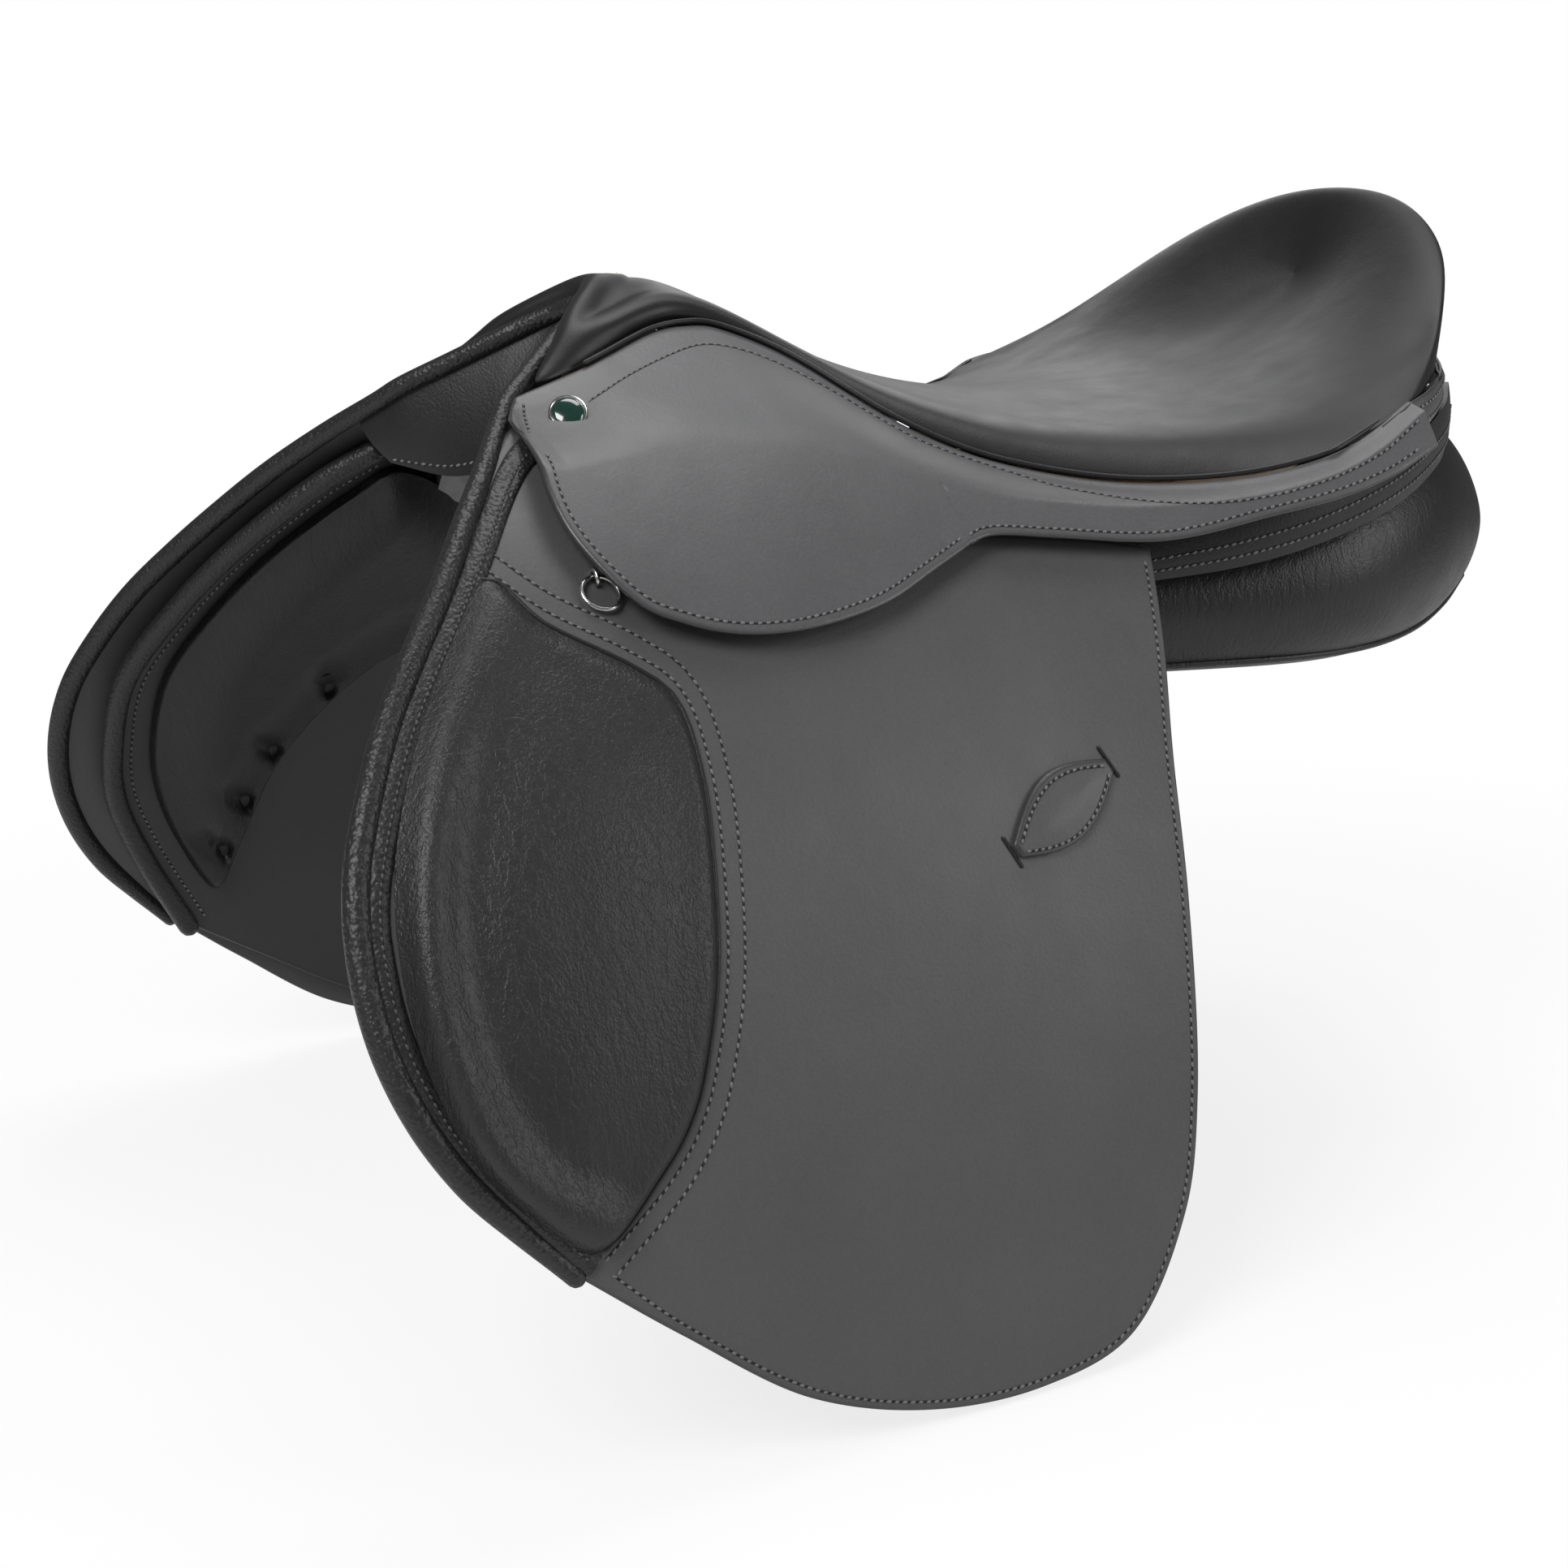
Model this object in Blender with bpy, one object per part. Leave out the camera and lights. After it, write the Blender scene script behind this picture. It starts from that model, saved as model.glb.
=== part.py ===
"""All-purpose English saddle: tree, seat, panels, flaps, skirts, girth straps and fittings.

Metres. +X points forward to the pommel, +Y to the horse's left (the near side) and +Z up.
The origin lies on the centre plane, at the level of the horse's back.
Leather parts of the flank lie in layers on one curved side surface; the far side mirrors the near side.
"""

import functools
import math

import bmesh
import bpy
import numpy as np

# Side surface: half width at a height, narrow at the top, fuller behind
FLANK_REACH = 0.256
FLANK_DRAW_IN = 0.213
FLANK_RATE = 6.57
FLANK_LEVEL = 0.110
REAR_FULLNESS = 0.47
REAR_START_X = 0.030
REAR_END_X = -0.220

# Clearance between pieces that touch
GAP = 0.0003

# Leather thicknesses
SWEAT_LEATHER = 0.0022
STRAP_LEATHER = 0.0032
FLAP_LEATHER = 0.0030
SKIRT_LEATHER = 0.0034
SEAT_LEATHER = 0.0015
FACING_LEATHER = 0.0022
GUSSET_LEATHER = 0.0020

# Layers on the flank, measured outward from the side surface
STRAP_INNER_PLAY = 0.0010
STRAP_OUTER_PLAY = 0.0026
STRAP_LAYER = SWEAT_LEATHER + STRAP_INNER_PLAY
FLAP_LAYER = STRAP_LAYER + STRAP_LEATHER + STRAP_OUTER_PLAY
SKIRT_TOP_LAYER = 0.0117
SKIRT_REAR_RISE = 0.0040
SKIRT_LOW_LAYER = 0.0205
SKIRT_SKIVED = 0.0012
HINGE_LAYER = SKIRT_LOW_LAYER + 0.0020
FLAP_TOP_TUCK = 0.0040

# Line on which the skirt and the flap lift, as lengthwise place and height
HINGE_FRONT = (0.188, 0.1033)
HINGE_REAR = (0.033, 0.0664)
HINGE_CLEARANCE = 0.0010
HINGE_SHARE = 0.55
FLAP_DROP_REAR = 0.0018
FLAP_DROP_FRONT = 0.0115

# Seat: edge, rim and middle line from the pommel round to the cantle, near side
SEAT_EDGE = [
    (0.1210, 0.0000, 0.1370),
    (0.1290, 0.0130, 0.1325),
    (0.1450, 0.0275, 0.1235),
    (0.1580, 0.0435, 0.1165),
    (0.1360, 0.0420, 0.1215),
    (0.1130, 0.0305, 0.1290),
    (0.0900, 0.0275, 0.1315),
    (0.0600, 0.0475, 0.1185),
    (0.0180, 0.0885, 0.0890),
    (-0.0300, 0.1175, 0.0735),
    (-0.0850, 0.1430, 0.0700),
    (-0.1300, 0.1560, 0.0785),
    (-0.1700, 0.1585, 0.0945),
    (-0.2090, 0.1365, 0.1040),
    (-0.2390, 0.0980, 0.1110),
    (-0.2560, 0.0500, 0.1150),
    (-0.2610, 0.0000, 0.1160),
]
SEAT_RIM = [
    (0.1150, 0.0000, 0.1445),
    (0.1200, 0.0080, 0.1420),
    (0.1280, 0.0160, 0.1370),
    (0.1320, 0.0270, 0.1310),
    (0.1220, 0.0275, 0.1340),
    (0.1080, 0.0220, 0.1400),
    (0.0900, 0.0190, 0.1430),
    (0.0600, 0.0320, 0.1310),
    (0.0180, 0.0640, 0.1070),
    (-0.0320, 0.0890, 0.0920),
    (-0.0950, 0.1070, 0.0910),
    (-0.1500, 0.1150, 0.0940),
    (-0.1950, 0.1120, 0.1065),
    (-0.2270, 0.0970, 0.1330),
    (-0.2510, 0.0740, 0.1575),
    (-0.2660, 0.0400, 0.1740),
    (-0.2710, 0.0000, 0.1800),
]
SEAT_MIDDLE_X = [
    0.110,
    0.107,
    0.104,
    0.101,
    0.099,
    0.096,
    0.086,
    0.060,
    0.018,
    -0.030,
    -0.085,
    -0.130,
    -0.168,
    -0.200,
    -0.224,
    -0.238,
    -0.244,
]
SEAT_MIDDLE = [
    (-0.260, 0.1560),
    (-0.240, 0.1370),
    (-0.200, 0.1110),
    (-0.168, 0.1010),
    (-0.130, 0.0960),
    (-0.085, 0.0952),
    (-0.030, 0.0998),
    (0.018, 0.1145),
    (0.060, 0.1340),
    (0.094, 0.1470),
    (0.118, 0.1480),
]
SEAT_STATIONS = np.linspace(0.0, 1.0, 33)
TREE_STATIONS = SEAT_STATIONS[::2]
SEAT_SHARES = [0.0, 0.12, 0.24, 0.35, 0.48, 0.64, 0.82, 1.0]
FOAM_RIM_SPAN = (0.24, 0.48)
SEAT_FOAM_DEPTH = 0.030
SEAT_EDGE_DEPTH = 0.0060
SEAT_EDGE_TUCK = 0.03
FOAM_PLAY = 0.0032
TREE_PLAY = 0.0008
SEAT_FRONT_WAY = (0.50, 0.0, 0.87)
SEAT_FRONT_END = 0.19
SEAT_SIDE_START = 0.30
SEAT_SIDE_SHARE = 0.35
SEAT_SHOULDER = 0.16
SEAT_SHOULDER_LEAST = 0.0045
FOAM_FRONT_X = 0.085
FOAM_REAR_X = -0.205

# Tree under the seat, as shares of the way from the seat's edge to its middle line
TREE_SHARES = [0.24, 0.35, 0.48, 0.64]
WEB_SHARES = [0.67, 0.82, 1.0]
HEAD_SHARES = [0.27, 0.35, 0.48, 0.60]
SPRING_SHARES = [0.37, 0.46]
HEAD_STATIONS = slice(0, 6)
SPRING_STATIONS = slice(6, 16)
TREE_THICKNESS = 0.0090
WEB_THICKNESS = 0.0020
PLATE_STEEL = 0.0025

# Flap outline on the flank
FLAP_REAR = [
    (-0.037, 0.0120),
    (-0.026, -0.0290),
    (-0.018, -0.0790),
    (-0.008, -0.1460),
    (0.004, -0.1880),
    (0.031, -0.2250),
    (0.072, -0.2350),
    (0.120, -0.2310),
    (0.168, -0.2140),
    (0.212, -0.1820),
]
FLAP_REAR_TOP_X = -0.046
FLAP_MIDDLE = (0.130, -0.070)
FRONT_ROLL = [
    (0.1985, 0.0932),
    (0.2150, 0.0790),
    (0.2400, 0.0530),
    (0.2730, 0.0160),
    (0.2950, -0.0240),
    (0.3000, -0.0530),
    (0.2960, -0.0840),
    (0.2800, -0.1170),
    (0.2460, -0.1560),
]
ROLL_RADIUS_TOP = 0.0038
ROLL_RADIUS_LOW = 0.0046

# Knee pad on the flap
KNEE_PAD = [
    (0.2250, 0.0560),
    (0.2080, 0.0410),
    (0.1810, 0.0250),
    (0.1690, 0.0130),
    (0.1680, -0.0100),
    (0.1720, -0.0350),
    (0.1790, -0.0670),
    (0.1870, -0.0900),
    (0.1970, -0.1110),
    (0.2120, -0.1280),
    (0.2400, -0.1470),
    (0.2620, -0.1290),
    (0.2780, -0.1040),
    (0.2850, -0.0700),
    (0.2830, -0.0350),
    (0.2720, -0.0050),
    (0.2520, 0.0270),
]
KNEE_PAD_MIDDLE = (0.228, -0.050)
KNEE_PAD_EDGE = 0.0014
KNEE_PAD_CROWN = 0.0110

# Stirrup leather keeper on the flap
KEEPER_FROM = (0.003, -0.0265)
KEEPER_TO = (0.052, -0.0500)
KEEPER_WIDTH = 0.0240
KEEPER_THICKNESS = 0.0022

# Skirt outline on the flank
SKIRT_TOP = [
    (0.184, 0.1100),
    (0.148, 0.1190),
    (0.113, 0.1295),
    (0.094, 0.1315),
    (0.081, 0.1295),
    (0.060, 0.1185),
    (0.033, 0.0960),
    (0.007, 0.0815),
    (-0.021, 0.0725),
    (-0.050, 0.0675),
    (-0.085, 0.0675),
    (-0.121, 0.0730),
    (-0.145, 0.0810),
    (-0.168, 0.0930),
]
SKIRT_LOBE = [
    (0.1885, 0.0990),
    (0.1920, 0.0800),
    (0.1885, 0.0640),
    (0.1750, 0.0450),
    (0.1590, 0.0370),
    (0.1420, 0.0325),
    (0.1220, 0.0310),
    (0.1000, 0.0325),
    (0.0760, 0.0370),
    (0.0530, 0.0450),
    (0.0345, 0.0515),
]
SKIRT_STRIP = [
    (0.0320, 0.0562),
    (0.0200, 0.0564),
    (-0.006, 0.0525),
    (-0.037, 0.0490),
    (-0.060, 0.0503),
    (-0.090, 0.0560),
    (-0.120, 0.0625),
    (-0.145, 0.0715),
    (-0.168, 0.0870),
]

# Sweat flap, its roll and the front bolster behind it
SWEAT_FLAP_FRONT = [
    (0.1860, 0.0790),
    (0.2050, 0.0660),
    (0.2350, 0.0370),
    (0.2590, 0.0060),
    (0.2750, -0.0220),
    (0.2790, -0.0520),
    (0.2770, -0.0820),
    (0.2640, -0.1150),
    (0.2420, -0.1560),
]
SWEAT_FLAP_REST = [
    (0.2060, -0.1780),
    (0.1600, -0.2060),
    (0.1200, -0.2200),
    (0.0750, -0.2230),
    (0.0380, -0.2110),
    (0.0160, -0.1750),
    (0.0060, -0.1000),
    (-0.0080, -0.0300),
    (-0.0200, 0.0080),
    (0.0300, 0.0150),
    (0.1000, 0.0180),
    (0.1400, 0.0260),
    (0.1640, 0.0520),
]
SWEAT_FLAP_MIDDLE = (0.135, -0.060)
SWEAT_ROLL_RADIUS = 0.0048
BOLSTER = [
    (0.1780, 0.0680),
    (0.1970, 0.0600),
    (0.2270, 0.0320),
    (0.2500, 0.0020),
    (0.2650, -0.0240),
    (0.2690, -0.0530),
    (0.2660, -0.0800),
    (0.2540, -0.1100),
    (0.2300, -0.1380),
    (0.2170, -0.1150),
    (0.2020, -0.0780),
    (0.1800, -0.0490),
    (0.1600, -0.0300),
    (0.1530, -0.0050),
    (0.1600, 0.0350),
]
BOLSTER_MIDDLE = (0.216, -0.036)
BOLSTER_EDGE = 0.0030
BOLSTER_CROWN = 0.0190

# Pommel arch
ARCH_ROLL = [
    (0.1270, 0.0000, 0.1400),
    (0.1330, 0.0120, 0.1365),
    (0.1490, 0.0245, 0.1275),
    (0.1660, 0.0385, 0.1175),
    (0.1820, 0.0525, 0.1080),
    (0.1900, 0.0625, 0.1010),
    (0.1960, 0.0705, 0.0960),
]
FACING_DROP = (-0.0010, 0.0, -0.0042)
FACING_LOW = [(0.1560, 0.000, 0.0870), (0.1600, 0.018, 0.0850), (0.1700, 0.038, 0.0820), (0.1860, 0.060, 0.0870)]

# Panels: lengthwise place, inner and outer half widths, heights of top and bottom at each
PANEL_STATIONS = [
    (0.148, 0.034, 0.066, 0.0780, 0.0720, 0.0480, 0.0380),
    (0.120, 0.030, 0.082, 0.0740, 0.0670, 0.0280, 0.0060),
    (0.070, 0.028, 0.098, 0.0670, 0.0610, 0.0080, -0.0100),
    (0.010, 0.028, 0.112, 0.0620, 0.0600, -0.0020, -0.0140),
    (-0.050, 0.028, 0.126, 0.0520, 0.0480, -0.0060, -0.0160),
    (-0.110, 0.030, 0.140, 0.0520, 0.0480, -0.0100, -0.0180),
    (-0.165, 0.033, 0.146, 0.0650, 0.0620, -0.0130, -0.0200),
    (-0.215, 0.037, 0.134, 0.0780, 0.0770, -0.0130, -0.0170),
    (-0.255, 0.044, 0.112, 0.0890, 0.0740, -0.0070, -0.0080),
    (-0.281, 0.056, 0.094, 0.0600, 0.0520, 0.0080, 0.0080),
]

# Gusset strip between the panel and the skirt
GUSSET_TOP = [
    (-0.048, 0.1360, 0.0450),
    (-0.090, 0.1490, 0.0530),
    (-0.130, 0.1560, 0.0630),
    (-0.170, 0.1535, 0.0765),
    (-0.210, 0.1340, 0.0890),
    (-0.243, 0.1035, 0.0960),
]
GUSSET_LOW = [
    (-0.048, 0.1360, 0.0400),
    (-0.090, 0.1490, 0.0440),
    (-0.130, 0.1530, 0.0510),
    (-0.170, 0.1490, 0.0610),
    (-0.212, 0.1290, 0.0710),
    (-0.246, 0.0990, 0.0760),
]

# Piping and binding
WELT_RADIUS = 0.0011
BINDING_RADIUS = 0.0020

# Stirrup bar
BAR_ROOT = (0.1440, 0.0690)
BAR_TIP = (0.0860, 0.0540)
BAR_PLATE_END = (0.0640, 0.0520)
BAR_PLAY = 0.0009
BAR_SLOT = 0.0064
BAR_STEEL = 0.0035
BAR_NOTCH = [(0.0460, 0.0400), (0.1600, 0.0560), (0.1620, 0.1150), (0.0440, 0.1150)]
BAR_NOTCH_LAYERS = (-0.0050, 0.0400)
BAR_HEIGHT = 0.0120
BAR_PLATE_HEIGHT = 0.0160
CATCH_LENGTH = 0.0200

# Tree points
TREE_POINT = [
    (0.1330, 0.1040),
    (0.1460, 0.1050),
    (0.1540, 0.0850),
    (0.1510, 0.0500),
    (0.1470, 0.0220),
    (0.1390, 0.0200),
    (0.1350, 0.0500),
]
POINT_DEPTH = 0.0064
POINT_HEAD_DEPTH = 0.0006
POINT_HEAD_START = 0.086
POINT_HEAD_END = 0.103
POINT_BAR_START = 0.050
POINT_BAR_END = 0.060
POINT_CLEARANCE = 0.0024

# Webs and girth straps
WEB_PLACES = {"front": (0.104, 0.132), "rear": (0.032, 0.096)}
WEB_REACH = (0.0, 0.012, 0.024, 0.036, 0.048, 0.060)
WEB_DROP = [(0.0690, -0.0020), (0.0550, -0.0014), (0.0420, -0.0008), (0.0340, 0.0013), (0.0240, 0.0013)]
STRAP_WIDTH = 0.0250
STRAP_PLACES = {"front": 0.118, "middle": 0.080, "rear": 0.048}
STRAP_TOP = 0.0400
STRAP_PIVOT = 0.0300
STRAP_END = -0.1720

# Dee ring and head nail
DEE_PLACE = (0.1841, 0.0521)
DEE_WIDTH = 0.0140
DEE_WIRE_RADIUS = 0.0009
STAPLE_RADIUS = 0.0008
STAPLE_ARCH = [
    (-0.0029, 0.0003),
    (-0.0029, 0.0018),
    (-0.0018, 0.0031),
    (0.0000, 0.0035),
    (0.0018, 0.0031),
    (0.0029, 0.0018),
    (0.0029, 0.0003),
]
NAIL_PLACE = (0.168, 0.1075)
NAIL_RADIUS = 0.0066
NAIL_DOME = 0.0022

SIDES = {"left": 1.0, "right": -1.0}

FINISHES = {
    "smooth leather": ((0.075, 0.075, 0.078), 0.42, 0.0),
    "skirt leather": ((0.115, 0.115, 0.118), 0.38, 0.0),
    "seat leather": ((0.060, 0.060, 0.062), 0.30, 0.0),
    "grained leather": ((0.035, 0.035, 0.036), 0.55, 0.0),
    "padded leather": ((0.028, 0.028, 0.029), 0.60, 0.0),
    "bright steel": ((0.620, 0.620, 0.610), 0.25, 1.0),
    "forged steel": ((0.260, 0.260, 0.265), 0.45, 1.0),
    "beech laminate": ((0.420, 0.270, 0.150), 0.60, 0.0),
    "foam": ((0.780, 0.740, 0.620), 0.90, 0.0),
    "webbing": ((0.640, 0.600, 0.500), 0.85, 0.0),
    "enamel": ((0.010, 0.090, 0.060), 0.20, 0.0),
}


def clear_scene():
    """Remove whatever the scene holds."""
    for obj in list(bpy.data.objects):
        bpy.data.objects.remove(obj, do_unlink=True)


def finish(name):
    """Return the named material, made on first use."""
    material = bpy.data.materials.get(name)
    if material is None:
        colour, roughness, metallic = FINISHES[name]
        material = bpy.data.materials.new(name)
        material.use_nodes = True
        shader = material.node_tree.nodes["Principled BSDF"]
        shader.inputs["Base Color"].default_value = (*colour, 1.0)
        shader.inputs["Roughness"].default_value = roughness
        shader.inputs["Metallic"].default_value = metallic
    return material


def add_piece(name, points, faces, finish_name, side=1.0, parent=None):
    """Make one object from points and faces, mirrored to the far side where side is negative."""
    places = [(float(x), float(y) * side, float(z)) for x, y, z in points]
    mesh = bpy.data.meshes.new(name)
    mesh.from_pydata(places, [], [tuple(int(i) for i in face) for face in faces])
    work = bmesh.new()
    work.from_mesh(mesh)
    bmesh.ops.recalc_face_normals(work, faces=work.faces)
    if work.calc_volume(signed=True) < 0.0:
        bmesh.ops.reverse_faces(work, faces=work.faces)
    work.to_mesh(mesh)
    work.free()
    mesh.shade_smooth()
    mesh.set_sharp_from_angle(angle=math.radians(40.0))
    mesh.materials.append(finish(finish_name))
    piece = bpy.data.objects.new(name, mesh)
    bpy.context.scene.collection.objects.link(piece)
    if parent is not None:
        shift = np.array(parent.location)
        for vertex in mesh.vertices:
            vertex.co = np.array(vertex.co) - shift
        piece.parent = parent
    return piece


def joint_frame(name, place, side):
    """Make the empty that stands on a joint's axis."""
    frame = bpy.data.objects.new(name, None)
    frame.empty_display_size = 0.02
    frame.location = (place[0], place[1] * side, place[2])
    bpy.context.scene.collection.objects.link(frame)
    return frame


def smooth_step(start, end, value):
    """Ease from 0 at start to 1 at end."""
    share = np.clip((value - start) / (end - start), 0.0, 1.0)
    return share * share * (3.0 - 2.0 * share)


def flank(x, z):
    """Half width of the side surface at a lengthwise place and a height."""
    fullness = 1.0 - REAR_FULLNESS * smooth_step(REAR_START_X, REAR_END_X, x)
    return FLANK_REACH - FLANK_DRAW_IN * np.exp(FLANK_RATE * (z - FLANK_LEVEL)) * fullness


def flank_normal(x, z):
    """Outward direction of the side surface."""
    step = 0.0005
    slope_x = (flank(x + step, z) - flank(x - step, z)) / (2 * step)
    slope_z = (flank(x, z + step) - flank(x, z - step)) / (2 * step)
    normal = np.array([-slope_x, 1.0, -slope_z])
    return normal / np.linalg.norm(normal)


def on_flank(x, z, layer):
    """Point at a lengthwise place and a height that lies a layer outside the side surface."""
    return np.array([x, flank(x, z) + layer / flank_normal(x, z)[1], z])


def up_flank(x, z):
    """Direction up along the side surface, square to its normal."""
    step = 0.0005
    rise = np.array([x, flank(x, z + step), z + step]) - np.array([x, flank(x, z), z])
    return rise / np.linalg.norm(rise)


def curve_through(points, count, closed=False):
    """Smooth curve through points, read at count even steps along its length."""
    given = np.array(points, dtype=float)
    if closed:
        knots = np.vstack([given[-1], given, given[0], given[1]])
    else:
        knots = np.vstack([2 * given[0] - given[1], given, 2 * given[-1] - given[-2]])
    dense = []
    for index in range(1, len(knots) - 2):
        before, start, end, after = knots[index - 1 : index + 3]
        for share in np.linspace(0.0, 1.0, 24, endpoint=False):
            square, cube = share**2, share**3
            dense.append(
                0.5
                * (
                    2 * start
                    + (end - before) * share
                    + (2 * before - 5 * start + 4 * end - after) * square
                    + (3 * start - before - 3 * end + after) * cube
                )
            )
    dense.append(given[0] if closed else given[-1])
    dense = np.array(dense)
    lengths = np.concatenate([[0.0], np.cumsum(np.linalg.norm(np.diff(dense, axis=0), axis=1))])
    reads = np.linspace(0.0, lengths[-1], count, endpoint=not closed)
    return np.stack([np.interp(reads, lengths, dense[:, axis]) for axis in range(dense.shape[1])], axis=1)


def at_share(points, share):
    """Point of a table at a share of its stations, smooth between them."""
    table = np.array(points, dtype=float)
    place = np.clip(share, 0.0, 1.0) * (len(table) - 1)
    index = int(min(math.floor(place), len(table) - 2))
    t = place - index
    start, end = table[index], table[index + 1]
    before = table[index - 1] if index > 0 else 2 * start - end
    after = table[index + 2] if index + 2 < len(table) else 2 * end - start
    return 0.5 * (
        2 * start
        + (end - before) * t
        + (2 * before - 5 * start + 4 * end - after) * t**2
        + (3 * start - before - 3 * end + after) * t**3
    )


def inset_line(line, distance):
    """Shift a line of the flank sideways, to the left of its run."""
    line = np.array(line, dtype=float)
    along = np.gradient(line, axis=0)
    along /= np.linalg.norm(along, axis=1)[:, None]
    return line + np.stack([-along[:, 1], along[:, 0]], axis=1) * distance


def grid_faces(rows, columns, wrap=False):
    """Quads of a grid of points, rows by columns, which may close on itself along a row."""
    faces = []
    for row in range(rows - 1):
        for column in range(columns if wrap else columns - 1):
            after = (column + 1) % columns
            faces.append(
                (
                    row * columns + column,
                    row * columns + after,
                    (row + 1) * columns + after,
                    (row + 1) * columns + column,
                )
            )
    return faces


def halved(face):
    """The two triangles of a quad, always cut along the same diagonal."""
    if len(face) == 3:
        return [face]
    return [(face[0], face[1], face[2]), (face[0], face[2], face[3])]


def thick_sheet(outer, inner, faces):
    """Close two matching skins into one solid, with walls along every open edge."""
    keys = {}
    merged = []
    outer_points, inner_points = [], []
    for high, low in zip(outer, inner):
        key = tuple(np.round(np.concatenate([high, low]), 6))
        if key not in keys:
            keys[key] = len(outer_points)
            outer_points.append(high)
            inner_points.append(low)
        merged.append(keys[key])
    count = len(outer_points)
    skin = []
    for face in faces:
        ring = []
        for index in face:
            if merged[index] not in ring:
                ring.append(merged[index])
        if len(ring) > 2:
            skin.append(tuple(ring))
    skin = [part for face in skin for part in halved(face)]
    skin = [part for part in skin if any(abs(outer_points[index][1]) > 0.0 for index in part)]
    edges = set()
    for face in skin:
        for start, end in zip(face, face[1:] + face[:1]):
            edges.add((start, end))
    solid = list(skin)
    solid += [tuple(index + count for index in reversed(face)) for face in skin]
    for start, end in sorted(edges):
        if (end, start) not in edges:
            solid.append((end, start, start + count, end + count))
    return outer_points + inner_points, solid


def flank_sheet(outline, middle, inner_layer, outer_layer, rings=(1.0, 0.84, 0.68, 0.51, 0.34, 0.17)):
    """Solid leather sheet inside an outline on the flank, or a pad where its layers are functions."""
    outline = np.array(outline)
    middle = np.array(middle)
    count = len(outline)
    outer, inner = [], []
    for ring in (*rings, 0.0):
        for x, z in middle + (outline - middle) * ring:
            low = inner_layer(ring, x, z) if callable(inner_layer) else inner_layer
            high = outer_layer(ring, x, z) if callable(outer_layer) else outer_layer
            inner.append(on_flank(x, z, low))
            outer.append(on_flank(x, z, high))
    return thick_sheet(outer, inner, grid_faces(len(rings) + 1, count, wrap=True))


def tube(path, radius, sides=8, flatten=1.0, across=None):
    """Solid round bar along a path; radius may change along it."""
    path = np.array(path, dtype=float)
    tangents = np.gradient(path, axis=0)
    tangents /= np.linalg.norm(tangents, axis=1)[:, None]
    reference = np.array([0.0, 0.0, 1.0]) if across is None else np.array(across)
    points = []
    for index, (place, tangent) in enumerate(zip(path, tangents)):
        side = np.cross(tangent, reference)
        side /= np.linalg.norm(side)
        up = np.cross(side, tangent)
        reference = up
        size = radius(index / (len(path) - 1)) if callable(radius) else radius
        for step in range(sides):
            angle = 2 * math.pi * step / sides
            points.append(place + size * (math.cos(angle) * side * flatten + math.sin(angle) * up))
    faces = grid_faces(len(path), sides, wrap=True)
    faces.append(tuple(range(sides)))
    faces.append(tuple(reversed(range((len(path) - 1) * sides, len(path) * sides))))
    return points, faces


def ring_tube(path, radius, sides=6):
    """Closed ring of wire along a closed path."""
    path = np.array(path, dtype=float)
    ahead = np.roll(path, -1, axis=0) - np.roll(path, 1, axis=0)
    middle = path.mean(axis=0)
    normal = np.cross(path[0] - middle, path[len(path) // 4] - middle)
    normal /= np.linalg.norm(normal)
    points = []
    for place, tangent in zip(path, ahead):
        out = np.cross(tangent, normal)
        out /= np.linalg.norm(out)
        for step in range(sides):
            angle = 2 * math.pi * step / sides
            points.append(place + radius * (math.cos(angle) * out + math.sin(angle) * normal))
    count = len(path)
    faces = []
    for row in range(count):
        after = (row + 1) % count
        for step in range(sides):
            turn = (step + 1) % sides
            faces.append((row * sides + step, row * sides + turn, after * sides + turn, after * sides + step))
    return points, faces


def flat_bar(path, across, half_across, half_thick, chamfer=0.0008):
    """Solid flat bar along a path, with chamfered corners."""
    path = np.array(path, dtype=float)
    tangents = np.gradient(path, axis=0)
    points = []
    for index, (place, tangent) in enumerate(zip(path, tangents)):
        wide = np.array(across[index] if np.ndim(across) == 2 else across, dtype=float)
        tangent = tangent / np.linalg.norm(tangent)
        wide = wide - tangent * (wide @ tangent)
        wide /= np.linalg.norm(wide)
        thin = np.cross(tangent, wide)
        wide_half = half_across[index] if np.ndim(half_across) else half_across
        cut = min(chamfer, 0.45 * half_thick)
        for a, b in (
            (wide_half, half_thick - cut),
            (wide_half - cut, half_thick),
            (-wide_half + cut, half_thick),
            (-wide_half, half_thick - cut),
            (-wide_half, -half_thick + cut),
            (-wide_half + cut, -half_thick),
            (wide_half - cut, -half_thick),
            (wide_half, -half_thick + cut),
        ):
            points.append(place + a * wide + b * thin)
    corners = 8
    faces = grid_faces(len(path), corners, wrap=True)
    faces.append(tuple(range(corners)))
    faces.append(tuple(reversed(range((len(path) - 1) * corners, len(path) * corners))))
    return points, faces


@functools.lru_cache(maxsize=None)
def middle_line():
    """Smooth line of the seat's surface on the centre plane."""
    return np.array([at_share(SEAT_MIDDLE, place) for place in np.linspace(0.0, 1.0, 121)])


def middle_height(x):
    """Height of the seat's surface on the centre plane."""
    line = middle_line()
    return float(np.interp(x, line[:, 0], line[:, 1]))


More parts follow.
